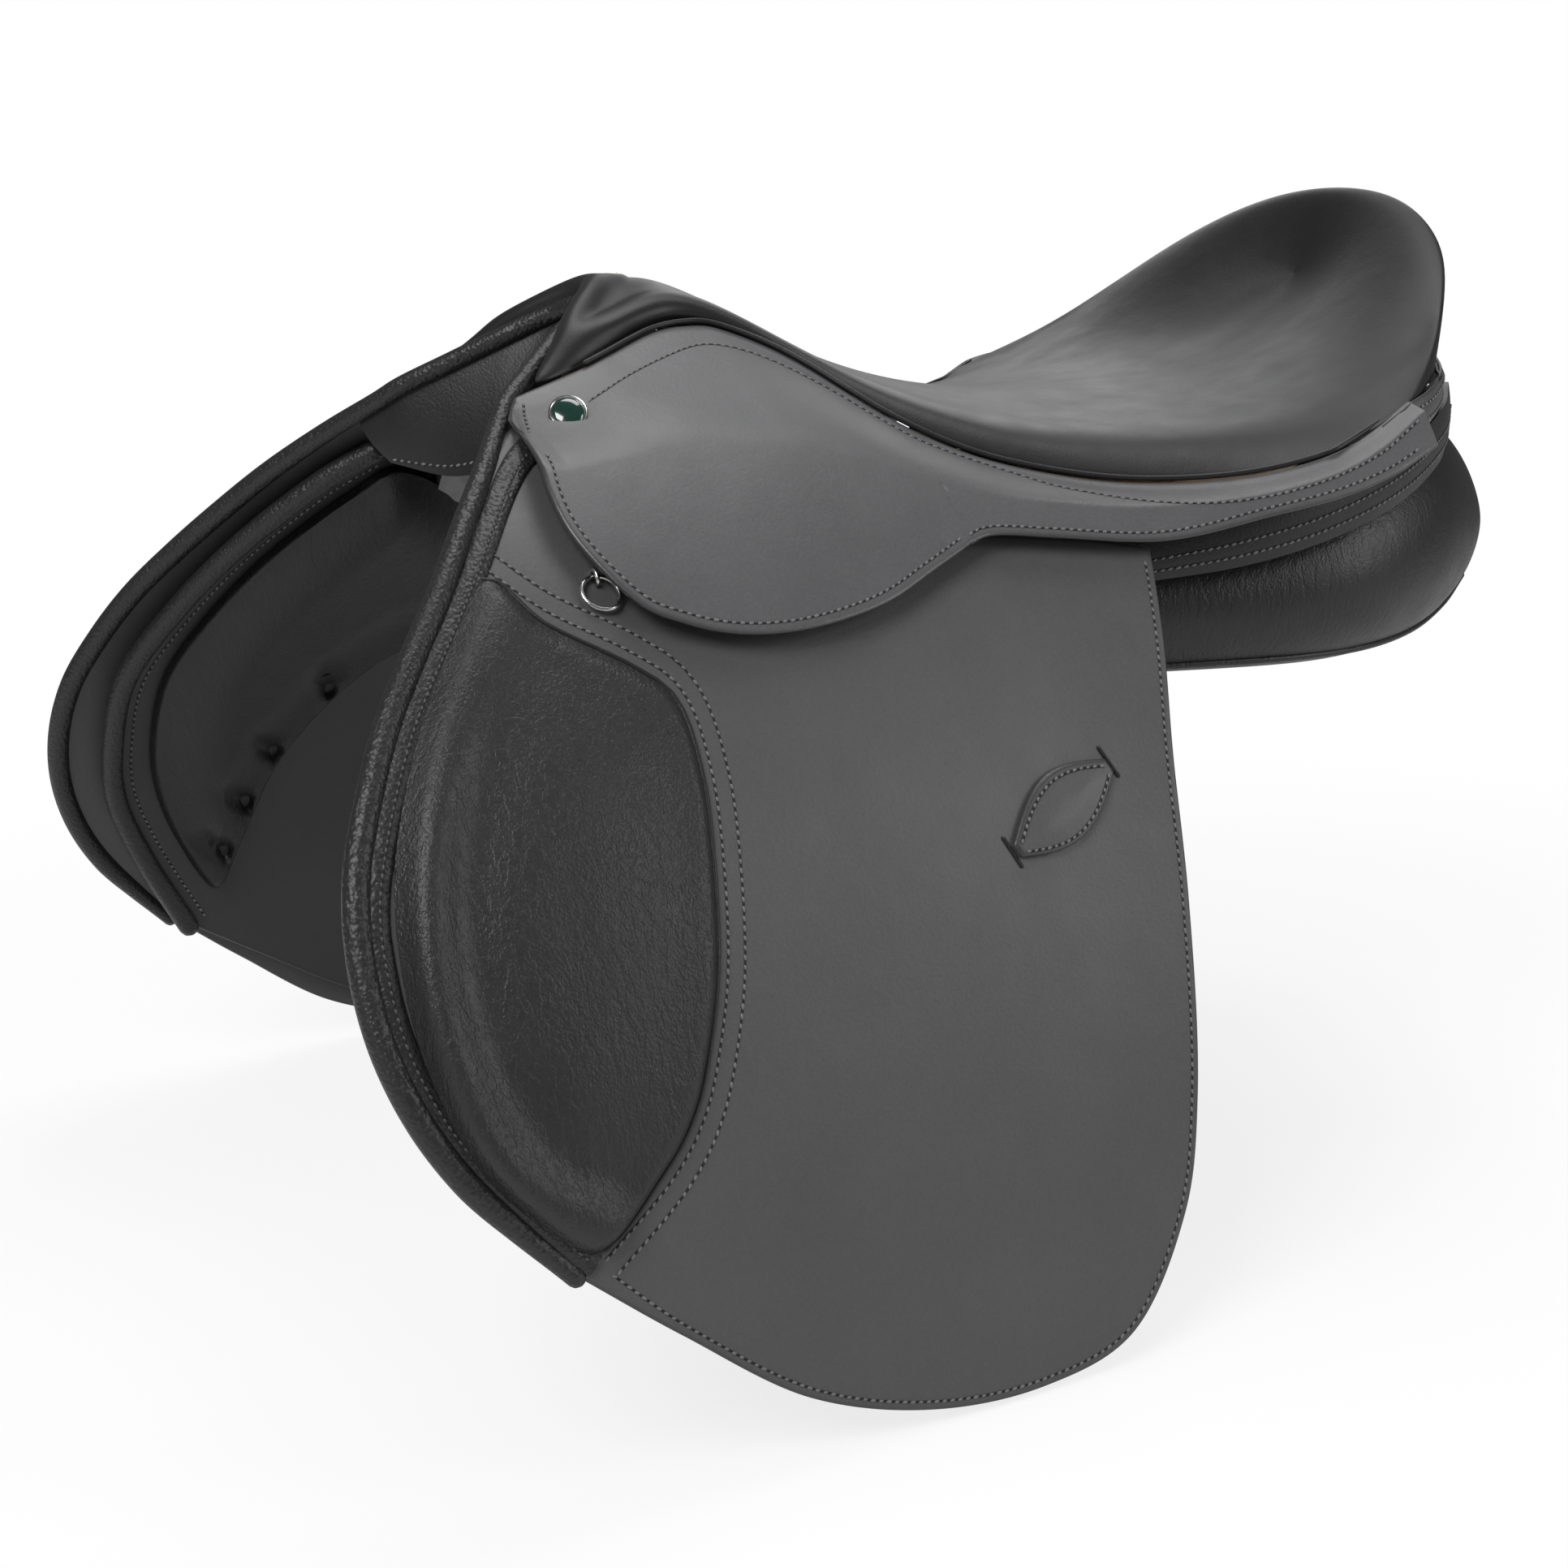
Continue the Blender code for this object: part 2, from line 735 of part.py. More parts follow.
def seat_point(around, inward):
    """Point of the seat: around runs from pommel to cantle, inward from the edge to the middle line."""
    edge = at_share(SEAT_EDGE, around)
    rim = at_share(SEAT_RIM, around)
    middle_x = at_share(np.array(SEAT_MIDDLE_X)[:, None], around)[0]
    middle = np.array([middle_x, 0.0, middle_height(middle_x)])
    if inward < SEAT_SIDE_SHARE:
        share = inward / SEAT_SIDE_SHARE
        outward = rim - middle
        width = np.linalg.norm(outward)
        reach = min(0.55 * np.linalg.norm(edge - rim), SEAT_SHOULDER * width + SEAT_SHOULDER_LEAST)
        shoulder = rim + outward * reach / width
        shoulder[2] = rim[2]
        return (1 - share) ** 2 * edge + 2 * share * (1 - share) * shoulder + share**2 * rim
    share = (inward - SEAT_SIDE_SHARE) / (1.0 - SEAT_SIDE_SHARE)
    place = rim + (middle - rim) * share
    place[2] = rim[2] + (middle[2] - rim[2]) * smooth_step(0.0, 1.0, share)
    return place


def seat_normal(around, inward):
    """Outward direction of the seat's surface."""
    step = 0.012
    level = min(inward, 0.97)
    run = seat_point(min(around + step, 1.0), level) - seat_point(max(around - step, 0.0), level)
    rise = seat_point(around, min(inward + step, 1.0)) - seat_point(around, max(inward - step, 0.0))
    normal = np.cross(run, rise)
    if around in (0.0, 1.0) or inward >= 0.999:
        normal[1] = 0.0
    return normal / np.linalg.norm(normal)


def seat_inner(around, inward, depth):
    """Point below the seat's surface; the creased front is followed in one fixed direction."""
    side = smooth_step(SEAT_FRONT_END, SEAT_SIDE_START, around)
    way = np.array(SEAT_FRONT_WAY) * (1.0 - side) + seat_normal(around, inward) * side
    return seat_point(around, inward) - way * depth / np.linalg.norm(way)


def seat_base(around, inward):
    """Underside of the foam: thin at the edge, its full depth over the tree's opening."""
    edge = at_share(SEAT_EDGE, around)
    middle_x = at_share(np.array(SEAT_MIDDLE_X)[:, None], around)[0]
    base_x = min(max(middle_x, FOAM_REAR_X), FOAM_FRONT_X)
    middle = np.array([base_x, 0.0, middle_height(base_x) - SEAT_FOAM_DEPTH])
    outer = edge + (middle - edge) * SEAT_EDGE_TUCK
    outer[2] = edge[2] - SEAT_EDGE_DEPTH
    place = outer + (middle - outer) * inward
    place[2] = outer[2] + (middle[2] - outer[2]) * smooth_step(0.0, 1.0, inward)
    return place


def both_halves(points):
    """Near half of a skin and its mirror image."""
    return list(points) + [np.array([x, -y, z]) for x, y, z in points]


def mirrored_faces(faces, count):
    """Faces of the near half and of its mirror image."""
    return list(faces) + [tuple(index + count for index in (face[0], *face[:0:-1])) for face in faces]


def seat_band(first, last, arounds, inwards):
    """Solid between two functions of the seat's grid, on both halves."""
    outer, inner = [], []
    for around in arounds:
        for inward in inwards:
            high, low = first(around, inward), last(around, inward)
            if around in (0.0, 1.0) or inward >= 0.999:
                high[1] = 0.0
                low[1] = 0.0
            outer.append(high)
            inner.append(low)
    faces = grid_faces(len(arounds), len(inwards))
    return thick_sheet(both_halves(outer), both_halves(inner), mirrored_faces(faces, len(outer)))


def build_seat():
    """Leather seat cover over its foam."""
    cover = seat_band(seat_point, below_seat(SEAT_LEATHER), SEAT_STATIONS, SEAT_SHARES)
    add_piece("seat_cover", *cover, "seat leather")
    foam = seat_band(foam_top, seat_base, TREE_STATIONS, SEAT_SHARES)
    add_piece("seat_foam", *foam, "foam")


def below_seat(depth):
    """Surface at a depth square below the seat."""

    def surface(around, inward):
        return seat_inner(around, inward, depth)

    return surface


def foam_top(around, inward):
    """Upper side of the foam, cut flat under the sharp rim of the seat."""
    surface = below_seat(SEAT_LEATHER + FOAM_PLAY)
    start, end = FOAM_RIM_SPAN
    if not start < inward < end:
        return surface(around, inward)
    low, high = surface(around, start), surface(around, end)
    return low + (high - low) * (inward - start) / (end - start)


def under_foam(depth):
    """Surface straight below the foam's underside, following the same facets."""

    def surface(around, inward):
        after = max(int(np.searchsorted(SEAT_SHARES, inward)), 1)
        start, end = SEAT_SHARES[after - 1], SEAT_SHARES[after]
        low, high = seat_base(around, start), seat_base(around, end)
        place = low + (high - low) * (inward - start) / (end - start)
        return place - np.array([0.0, 0.0, depth])

    return surface


def build_tree():
    """Laminated tree and the web across its opening."""
    top, low = under_foam(TREE_PLAY), under_foam(TREE_PLAY + TREE_THICKNESS)
    tree = seat_band(top, low, TREE_STATIONS, TREE_SHARES)
    add_piece("tree_frame", *tree, "beech laminate")
    low = under_foam(TREE_PLAY + WEB_THICKNESS)
    web = seat_band(top, low, TREE_STATIONS, WEB_SHARES)
    add_piece("seat_web", *web, "webbing")


def build_arch():
    """Rolled edge round the pommel and the leather facing inside its arch."""
    path = mirrored_line(ARCH_ROLL, 9)
    add_piece("pommel_arch_roll", *tube(path, ROLL_RADIUS_TOP, across=(1.0, 0.0, 0.4)), "grained leather")


def skirt_layers(x, share):
    """Inner and outer layer of the skirt at a share of its depth, skived thin at its top edge."""
    top = SKIRT_TOP_LAYER + SKIRT_REAR_RISE * smooth_step(0.010, -0.110, x)
    outer = top + (SKIRT_LOW_LAYER - top) * smooth_step(0.0, 0.45, share)
    thickness = SKIRT_SKIVED + (SKIRT_LEATHER - SKIRT_SKIVED) * smooth_step(0.0, 0.25, share)
    return outer - thickness, outer


def hinge_height(x):
    """Height of the lifting line at a lengthwise place."""
    slope = (HINGE_FRONT[1] - HINGE_REAR[1]) / (HINGE_FRONT[0] - HINGE_REAR[0])
    return HINGE_REAR[1] + slope * (x - HINGE_REAR[0])


def station_sheet(top, low, top_share, low_share, rows=5):
    """Skirt leather between a top line and a lower line of the flank."""
    outer, inner = [], []
    for start, end, a, b in zip(top, low, top_share, low_share):
        for share in np.linspace(0.0, 1.0, rows):
            x, z = start + (end - start) * share
            near, far = skirt_layers(x, a + (b - a) * share)
            inner.append(on_flank(x, z, near))
            outer.append(on_flank(x, z, far))
    return thick_sheet(outer, inner, grid_faces(len(top), rows))


def build_skirts(frames):
    """Fixed band of each skirt along the seat, and the lobe that lifts below it."""
    stations = 17
    front_x, rear_x = HINGE_FRONT[0] - 0.0005, HINGE_REAR[0] + 0.0015
    line = [(x, hinge_height(x) - HINGE_CLEARANCE * 0.5) for x in np.linspace(front_x, rear_x, stations)]
    lobe_top = np.array(line)
    lobe_low = curve_through(SKIRT_LOBE, stations)
    lobe = station_sheet(lobe_top, lobe_low, [HINGE_SHARE] * stations, [1.0] * stations)
    band_low = [(x, hinge_height(x) + HINGE_CLEARANCE * 0.5) for x in np.linspace(front_x, HINGE_REAR[0], 7)]
    band_low = np.vstack([band_low, curve_through(SKIRT_STRIP, 10)])
    count = len(band_low)
    band_top = curve_through(SKIRT_TOP, 60)
    places = [np.argmin(np.abs(band_top[:, 0] - x)) for x, _ in band_low]
    band_top = np.array([band_top[index] for index in places])
    band_top[0] = SKIRT_TOP[0]
    low_share = [HINGE_SHARE] * 7 + [1.0] * (count - 7)
    band = station_sheet(band_top, band_low, [0.0] * count, low_share, rows=4)
    for side, sign in SIDES.items():
        add_piece(f"skirt_band_{side}", *band, "skirt leather", sign)
        add_piece(f"skirt_{side}", *lobe, "skirt leather", sign, frames[side])


def flap_top_height(x):
    """Height of the flap's top edge, which lies square inside the lifting line."""
    drop = FLAP_DROP_REAR + (FLAP_DROP_FRONT - FLAP_DROP_REAR) * smooth_step(-0.047, 0.060, x)
    return hinge_height(x) - drop


def flap_inner(ring, x, z):
    """Inner layer of the flap, which lies closer under the skirt's front."""
    return FLAP_LAYER - FLAP_TOP_TUCK * smooth_step(0.055, 0.100, z) * smooth_step(0.150, 0.190, x)


def flap_outer(ring, x, z):
    """Outer layer of the flap."""
    return flap_inner(ring, x, z) + FLAP_LEATHER


def flap_outline():
    """Closed outline of the flap inside its front roll."""
    front = inset_line(curve_through(FRONT_ROLL, 14), -(ROLL_RADIUS_LOW + GAP))
    front = front[front[:, 1] < flap_top_height(front[:, 0]) - HINGE_CLEARANCE]
    front = np.vstack([[front[0][0] - 0.0022, flap_top_height(front[0][0])], front])
    rear_top = (FLAP_REAR_TOP_X, flap_top_height(FLAP_REAR_TOP_X))
    rear = curve_through([rear_top, *FLAP_REAR, tuple(front[-1])], 21)
    top = [(x, flap_top_height(x)) for x in np.linspace(FLAP_REAR_TOP_X, front[0][0], 9)[1:-1]]
    return np.vstack([front[:-1], rear[::-1][:-1], [rear[0]], top])


def knee_pad_crown(ring, x, z):
    """Height of the knee pad: fullest along its front, tapering to its seams."""
    forward = smooth_step(0.175, 0.275, x)
    fall = 1.0 - ring**3.0
    return FLAP_LAYER + FLAP_LEATHER + 2 * GAP + KNEE_PAD_EDGE + KNEE_PAD_CROWN * fall * (0.65 + 0.35 * forward)


def keeper_outline():
    """Leaf shape of the stirrup leather keeper."""
    start, end = np.array(KEEPER_FROM), np.array(KEEPER_TO)
    along = end - start
    across = np.array([-along[1], along[0]]) / np.linalg.norm(along)
    outline = []
    for sign in (1.0, -1.0):
        shares = np.linspace(0.0, 1.0, 9)
        if sign < 0:
            shares = shares[::-1]
        for share in shares:
            width = 0.18 + 0.82 * math.sin(math.pi * share)
            outline.append(start + along * share + across * sign * width * KEEPER_WIDTH / 2)
    return np.array(outline)


def roll_radius(share):
    """Radius of the front roll, which grows downwards."""
    return ROLL_RADIUS_TOP + (ROLL_RADIUS_LOW - ROLL_RADIUS_TOP) * smooth_step(0.0, 0.35, share)


def bar_notch(side):
    """Cutter for the notch that lets the stirrup bar through the flap."""
    low, high = BAR_NOTCH_LAYERS
    inner = [on_flank(x, z, low) for x, z in BAR_NOTCH]
    outer = [on_flank(x, z, high) for x, z in BAR_NOTCH]
    count = len(inner)
    faces = [tuple(range(count)), tuple(reversed(range(count, 2 * count)))]
    for index in range(count):
        after = (index + 1) % count
        faces.append((index, after, after + count, index + count))
    return add_piece("notch_cutter", inner + outer, faces, "forged steel", side)


def cut_away(piece, cutter):
    """Cut the cutter's solid out of a piece, for good."""
    bpy.context.view_layer.update()
    modifier = piece.modifiers.new("notch", "BOOLEAN")
    modifier.operation = "DIFFERENCE"
    modifier.solver = "EXACT"
    modifier.object = cutter
    bpy.context.view_layer.update()
    solid = bpy.data.meshes.new_from_object(piece.evaluated_get(bpy.context.evaluated_depsgraph_get()))
    piece.modifiers.remove(modifier)
    piece.data = solid
    bpy.data.objects.remove(cutter, do_unlink=True)


def build_flaps(frames):
    """Flap, its front roll, knee pad, keeper and dee staple."""
    outer_face = FLAP_LAYER + FLAP_LEATHER
    flap = flank_sheet(flap_outline(), FLAP_MIDDLE, flap_inner, flap_outer)
    pad = flank_sheet(
        curve_through(KNEE_PAD, 27, closed=True),
        KNEE_PAD_MIDDLE,
        outer_face + 2 * GAP,
        knee_pad_crown,
        rings=(1.0, 0.93, 0.8, 0.62, 0.44, 0.26, 0.1),
    )
    middle = (np.array(KEEPER_FROM) + np.array(KEEPER_TO)) / 2
    keeper = flank_sheet(
        keeper_outline(),
        middle,
        outer_face + 2 * GAP,
        outer_face + 2 * GAP + KEEPER_THICKNESS,
        rings=(1.0, 0.5),
    )
    roll_path = [on_flank(x, z, flap_inner(1.0, x, z) + FLAP_LEATHER / 2) for x, z in curve_through(FRONT_ROLL, 19)]
    roll = tube(roll_path, roll_radius, across=(0.0, 1.0, 0.0))
    for side, sign in SIDES.items():
        frame = frames[side]
        sheet = add_piece(f"flap_{side}", *flap, "smooth leather", sign, frame)
        cut_away(sheet, bar_notch(sign))
        add_piece(f"knee_pad_{side}", *pad, "grained leather", sign, frame)
        add_piece(f"stirrup_keeper_{side}", *keeper, "smooth leather", sign, frame)
        add_piece(f"flap_front_roll_{side}", *roll, "grained leather", sign, frame)


def build_sweat_flaps():
    """Sweat flap, its rolled edge and the padded bolster behind it."""
    front = curve_through(SWEAT_FLAP_FRONT, 14)
    edge = inset_line(front, -(SWEAT_ROLL_RADIUS + GAP))
    rest = curve_through([tuple(edge[-1]), *SWEAT_FLAP_REST, tuple(edge[0])], 29)[1:-1]
    sheet = flank_sheet(np.vstack([edge, rest]), SWEAT_FLAP_MIDDLE, 0.0, SWEAT_LEATHER)
    path = [on_flank(x, z, SWEAT_LEATHER - SWEAT_ROLL_RADIUS + 0.001) for x, z in front]
    roll = tube(path, SWEAT_ROLL_RADIUS, across=(0.0, 1.0, 0.0))

    def hollow(ring, x, z):
        return -3 * GAP - BOLSTER_EDGE - BOLSTER_CROWN * (1.0 - ring**2.5)

    bolster = flank_sheet(
        curve_through(BOLSTER, 25, closed=True),
        BOLSTER_MIDDLE,
        hollow,
        -3 * GAP,
        rings=(1.0, 0.9, 0.74, 0.54, 0.32, 0.12),
    )
    for side, sign in SIDES.items():
        add_piece(f"sweat_flap_{side}", *sheet, "smooth leather", sign)
        add_piece(f"sweat_flap_roll_{side}", *roll, "grained leather", sign)
        add_piece(f"front_bolster_{side}", *bolster, "padded leather", sign)


def panel_ring(station):
    """Cross-section of a panel: rounded, flat to the horse's back below."""
    x, inner_y, outer_y, top_in, top_out, low_in, low_out = station
    corners = [
        (inner_y, (top_in + low_in) / 2),
        (inner_y + 0.006, top_in * 0.85 + low_in * 0.15),
        (inner_y + 0.30 * (outer_y - inner_y), top_in),
        (inner_y + 0.70 * (outer_y - inner_y), top_out),
        (outer_y - 0.008, top_out * 0.85 + low_out * 0.15),
        (outer_y, (top_out + low_out) / 2),
        (outer_y - 0.006, top_out * 0.18 + low_out * 0.82),
        (inner_y + 0.78 * (outer_y - inner_y), low_out),
        (inner_y + 0.25 * (outer_y - inner_y), low_in),
        (inner_y + 0.006, top_in * 0.15 + low_in * 0.85),
    ]
    return [(x, y, z) for y, z in corners]


def build_panels():
    """Wool-filled panels that bear on the horse's back."""
    stations = curve_through(PANEL_STATIONS, 16)
    points = []
    count = 18
    for station in stations:
        points.extend(curve_through(panel_ring(station), count, closed=True))
    faces = grid_faces(len(stations), count, wrap=True)
    faces.append(tuple(range(count)))
    faces.append(tuple(reversed(range((len(stations) - 1) * count, len(stations) * count))))
    for side, sign in SIDES.items():
        add_piece(f"panel_{side}", points, faces, "padded leather", sign)


def ribbon(top, low, rows, thickness, toward):
    """Leather strip between two lines in space, thickened toward a given direction."""
    outer, inner = [], []
    ways = np.array(toward(top, low))
    for start, end, way in zip(top, low, ways):
        for share in np.linspace(0.0, 1.0, rows):
            place = start + (end - start) * share
            outer.append(place)
            inner.append(place + way * thickness)
    return thick_sheet(outer, inner, grid_faces(len(top), rows))


def square_in(top, low):
    """Directions square to a strip, pointing to the inside of the saddle."""
    along = np.gradient((top + low) / 2, axis=0)
    ways = np.cross(along, low - top)
    ways /= np.linalg.norm(ways, axis=1)[:, None]
    centre = np.array([-0.05, 0.0, 0.06])
    signs = np.sign(np.sum(ways * (centre - (top + low) / 2), axis=1))
    return ways * signs[:, None]


def build_gussets():
    """Leather gusset between each panel and the seat's underside."""
    top = curve_through(GUSSET_TOP, 12)
    low = curve_through(GUSSET_LOW, 12)
    strip = ribbon(top, low, 3, GUSSET_LEATHER, square_in)
    for side, sign in SIDES.items():
        add_piece(f"panel_gusset_{side}", *strip, "smooth leather", sign)


def mirrored_line(points, count):
    """Curve from the far side round to the near side through the middle."""
    near = curve_through(points, count)
    far = near[:0:-1] * np.array([1.0, -1.0, 1.0])
    return np.vstack([far, near])


def build_facing():
    """Leather facing on the front of the pommel, under the rolled edge."""
    top = mirrored_line(ARCH_ROLL, 8) + np.array(FACING_DROP)
    low = mirrored_line(FACING_LOW, 8)
    back = np.tile(np.array([-1.0, 0.0, 0.0]), (len(top), 1))
    strip = ribbon(top, low, 4, FACING_LEATHER, lambda a, b: back)
    add_piece("pommel_facing", *strip, "smooth leather")


def seat_patch(first, last, arounds, inwards):
    """Solid between two functions of the seat's grid, on the near half only."""
    outer = [first(around, inward) for around in arounds for inward in inwards]
    inner = [last(around, inward) for around in arounds for inward in inwards]
    return thick_sheet(outer, inner, grid_faces(len(arounds), len(inwards)))


def build_steel():
    """Head plate and spring steels under the tree."""
    under = TREE_PLAY + TREE_THICKNESS + GAP
    top, low = under_foam(under), under_foam(under + PLATE_STEEL)
    plate = seat_band(top, low, TREE_STATIONS[HEAD_STATIONS], HEAD_SHARES)
    add_piece("head_plate", *plate, "forged steel")
    spring = seat_patch(top, low, TREE_STATIONS[SPRING_STATIONS], SPRING_SHARES)
    for side, sign in SIDES.items():
        add_piece(f"spring_steel_{side}", *spring, "forged steel", sign)


def build_welts():
    """Piping between the seat and the skirts, and the binding under the cantle."""
    line = []
    for x, z in curve_through(SKIRT_TOP, 25):
        edge = on_flank(x, z, skirt_layers(x, 0.0)[1])
        line.append(edge + np.array([0.0, -WELT_RADIUS, WELT_RADIUS + 4 * GAP]))
    welt = tube(line, WELT_RADIUS, sides=6)
    for side, sign in SIDES.items():
        add_piece(f"seat_welt_{side}", *welt, "smooth leather", sign)
    near = []
    for around in np.linspace(1.0, 0.76, 12):
        outward = seat_normal(around, 0.0)
        near.append(seat_point(around, 0.0) + outward * (BINDING_RADIUS + 4 * GAP) + np.array([0.0, 0.0, -0.0010]))
    far = [place * np.array([1.0, -1.0, 1.0]) for place in near[:0:-1]]
    add_piece("cantle_binding", *tube(far + near, BINDING_RADIUS, sides=8), "smooth leather")


def local_frame(x, z, layer):
    """Place on the flank with its outward, upward and forward directions."""
    place = on_flank(x, z, layer)
    outward = flank_normal(x, z)
    upward = up_flank(x, z)
    return place, outward, upward, np.cross(upward, outward)


def turned(profile, place, axis, sides):
    """Turned solid from a profile of radius and height, closed at both ends."""
    helper = np.array([1.0, 0.0, 0.0])
    first = np.cross(axis, helper)
    first /= np.linalg.norm(first)
    second = np.cross(axis, first)
    points = []
    for radius, height in profile:
        for step in range(sides):
            angle = 2 * math.pi * step / sides
            points.append(place + axis * height + radius * (math.cos(angle) * first + math.sin(angle) * second))
    faces = grid_faces(len(profile), sides, wrap=True)
    faces.append(tuple(range(sides)))
    faces.append(tuple(reversed(range((len(profile) - 1) * sides, len(profile) * sides))))
    return points, faces


def build_nails():
    """Head nail on each skirt: a rim and a shallow dome."""
    x, z = NAIL_PLACE
    step = NAIL_RADIUS * 0.7
    along = skirt_face(x + step, z) - skirt_face(x - step, z)
    rise = skirt_face(x, z + step) - skirt_face(x, z - step)
    outward = np.cross(rise, along)
    outward /= np.linalg.norm(outward)
    place = skirt_face(x, z) + outward * 2 * GAP
    profile = [
        (NAIL_RADIUS * 0.92, 0.0),
        (NAIL_RADIUS, 0.0005),
        (NAIL_RADIUS, 0.0011),
        (NAIL_RADIUS * 0.93, 0.0016),
        (NAIL_RADIUS * 0.84, 0.0015),
        (NAIL_RADIUS * 0.80, 0.0012),
        (NAIL_RADIUS * 0.55, NAIL_DOME * 0.86),
        (NAIL_RADIUS * 0.20, NAIL_DOME),
    ]
    nail = turned(profile, place, outward, 20)
    for side, sign in SIDES.items():
        add_piece(f"head_nail_{side}", *nail, "bright steel", sign)


def skirt_face(x, z):
    """Point on the outer face of the skirt's fixed band, above the lifting line."""
    tops = curve_through(SKIRT_TOP, 60)[::-1]
    top = np.interp(x, tops[:, 0], tops[:, 1])
    share = HINGE_SHARE * (top - z) / (top - hinge_height(x))
    return on_flank(x, z, skirt_layers(x, share)[1])


def bar_line():
    """Straight centre lines of the bar's plate and finger, and their common upward direction."""
    plate_layer = BAR_PLAY + BAR_STEEL / 2
    finger_layer = plate_layer + BAR_STEEL + BAR_SLOT
    root = on_flank(*BAR_ROOT, plate_layer)
    end = on_flank(*BAR_PLATE_END, plate_layer)
    along = (root - end) / np.linalg.norm(root - end)
    middle = ((BAR_ROOT[0] + BAR_PLATE_END[0]) / 2, (BAR_ROOT[1] + BAR_PLATE_END[1]) / 2)
    outward = flank_normal(*middle)
    outward = outward - along * (outward @ along)
    outward /= np.linalg.norm(outward)
    upward = np.cross(outward, along)
    lift = outward * (finger_layer - plate_layer)
    tip_reach = (BAR_ROOT[0] - BAR_TIP[0]) / along[0]
    return root, end, along, outward, upward, lift, tip_reach


def build_bars(frames):
    """Forged stirrup bar with its open slot, and the safety catch hinged at its end."""
    root, end, along, outward, upward, lift, tip_reach = bar_line()
    bend = np.linalg.norm(lift) / 2
    path = [end, end + along * 0.030, root]
    for step in range(1, 6):
        angle = math.pi * step / 6
        path.append(root + along * bend * math.sin(angle) + lift * (1 - math.cos(angle)) / 2)
    path.append(root + lift)
    path.append(root + lift - along * tip_reach)
    halves = [BAR_PLATE_HEIGHT / 2, BAR_PLATE_HEIGHT / 2] + [BAR_HEIGHT / 2] * (len(path) - 2)
    bar = flat_bar(path, upward, halves, BAR_STEEL / 2)
    pivot = root + lift - along * (tip_reach + BAR_HEIGHT / 2 + 2 * GAP)
    catch = catch_plate(pivot, along, upward, outward)
    for side, sign in SIDES.items():
        add_piece(f"stirrup_bar_{side}", *bar, "forged steel", sign)
        frame = joint_frame(f"catch_hinge_{side}", pivot, sign)
        add_piece(f"bar_catch_{side}", *catch, "bright steel", sign, frame)


def catch_plate(pivot, along, upward, outward):
    """Flat catch with a round hinge end and a rounded tip."""
    outline = []
    half = BAR_HEIGHT / 2
    tip = CATCH_LENGTH - half * 0.7
    for step in range(9):
        angle = math.pi / 2 - math.pi * step / 8
        outline.append((half * math.cos(angle), half * math.sin(angle)))
    for step in range(7):
        angle = -math.pi / 2 - math.pi * step / 6
        outline.append((-tip + half * 0.7 * math.cos(angle), half * 0.7 * math.sin(angle)))
    count = len(outline)
    points = []
    for layer in (-BAR_STEEL / 2, BAR_STEEL / 2):
        for a, b in outline:
            points.append(pivot + along * a + upward * b + outward * layer)
    faces = [tuple(range(count)), tuple(reversed(range(count, 2 * count)))]
    for index in range(count):
        after = (index + 1) % count
        faces.append((index, after, after + count, index + count))
    return points, faces


@functools.lru_cache(maxsize=None)
def tree_places():
    """Points of the seat's underside over the front half of the tree."""
    arounds = np.linspace(0.03, 0.52, 80)
    inwards = np.linspace(TREE_SHARES[0], 1.0, 26)
    return np.array([seat_base(around, inward) for around in arounds for inward in inwards])


def tree_underside(low_x, high_x, y):
    """Lowest point of the tree's underside across a stretch of its length."""
    places = tree_places()
    inside = places[(places[:, 0] > low_x - 0.008) & (places[:, 0] < high_x + 0.004)]
    nearest = inside[np.abs(inside[:, 1] - y) < 0.009]
    if len(nearest) == 0:
        nearest = inside[np.argsort(np.abs(inside[:, 1] - y))[:40]]
    return nearest[:, 2].min() - TREE_PLAY - TREE_THICKNESS - PLATE_STEEL - WEB_THICKNESS / 2 - 3 * GAP


def build_webs_and_straps(frames):
    """Webs over the tree's rails, and the girth straps hung from them."""
    for name, (low_x, high_x) in WEB_PLACES.items():
        middle_x = (low_x + high_x) / 2
        half = [(middle_x, y, tree_underside(low_x, high_x, y)) for y in WEB_REACH]
        for z, layer in WEB_DROP:
            half.append(on_flank(middle_x, z, layer))
        half = np.array(half)
        path = np.vstack([half[:0:-1] * np.array([1.0, -1.0, 1.0]), half])
        web = flat_bar(path, (1.0, 0.0, 0.0), (high_x - low_x) / 2, WEB_THICKNESS / 2, chamfer=0.0003)
        add_piece(f"girth_web_{name}", *web, "webbing")
    for name, x in STRAP_PLACES.items():
        layer = STRAP_LAYER + STRAP_LEATHER / 2
        heights = STRAP_TOP + (STRAP_END - STRAP_TOP) * np.linspace(0.0, 1.0, 9) ** 1.35
        path = [on_flank(x, z, layer) for z in heights]
        widths = [STRAP_WIDTH / 2] * (len(heights) - 1) + [STRAP_WIDTH * 0.36]
        strap = flat_bar(path, (1.0, 0.0, 0.0), widths, STRAP_LEATHER / 2)
        pivot = on_flank(x, STRAP_PIVOT, layer)
        for side, sign in SIDES.items():
            frame = joint_frame(f"strap_hinge_{name}_{side}", pivot, sign)
            add_piece(f"girth_strap_{name}_{side}", *strap, "smooth leather", sign, frame)


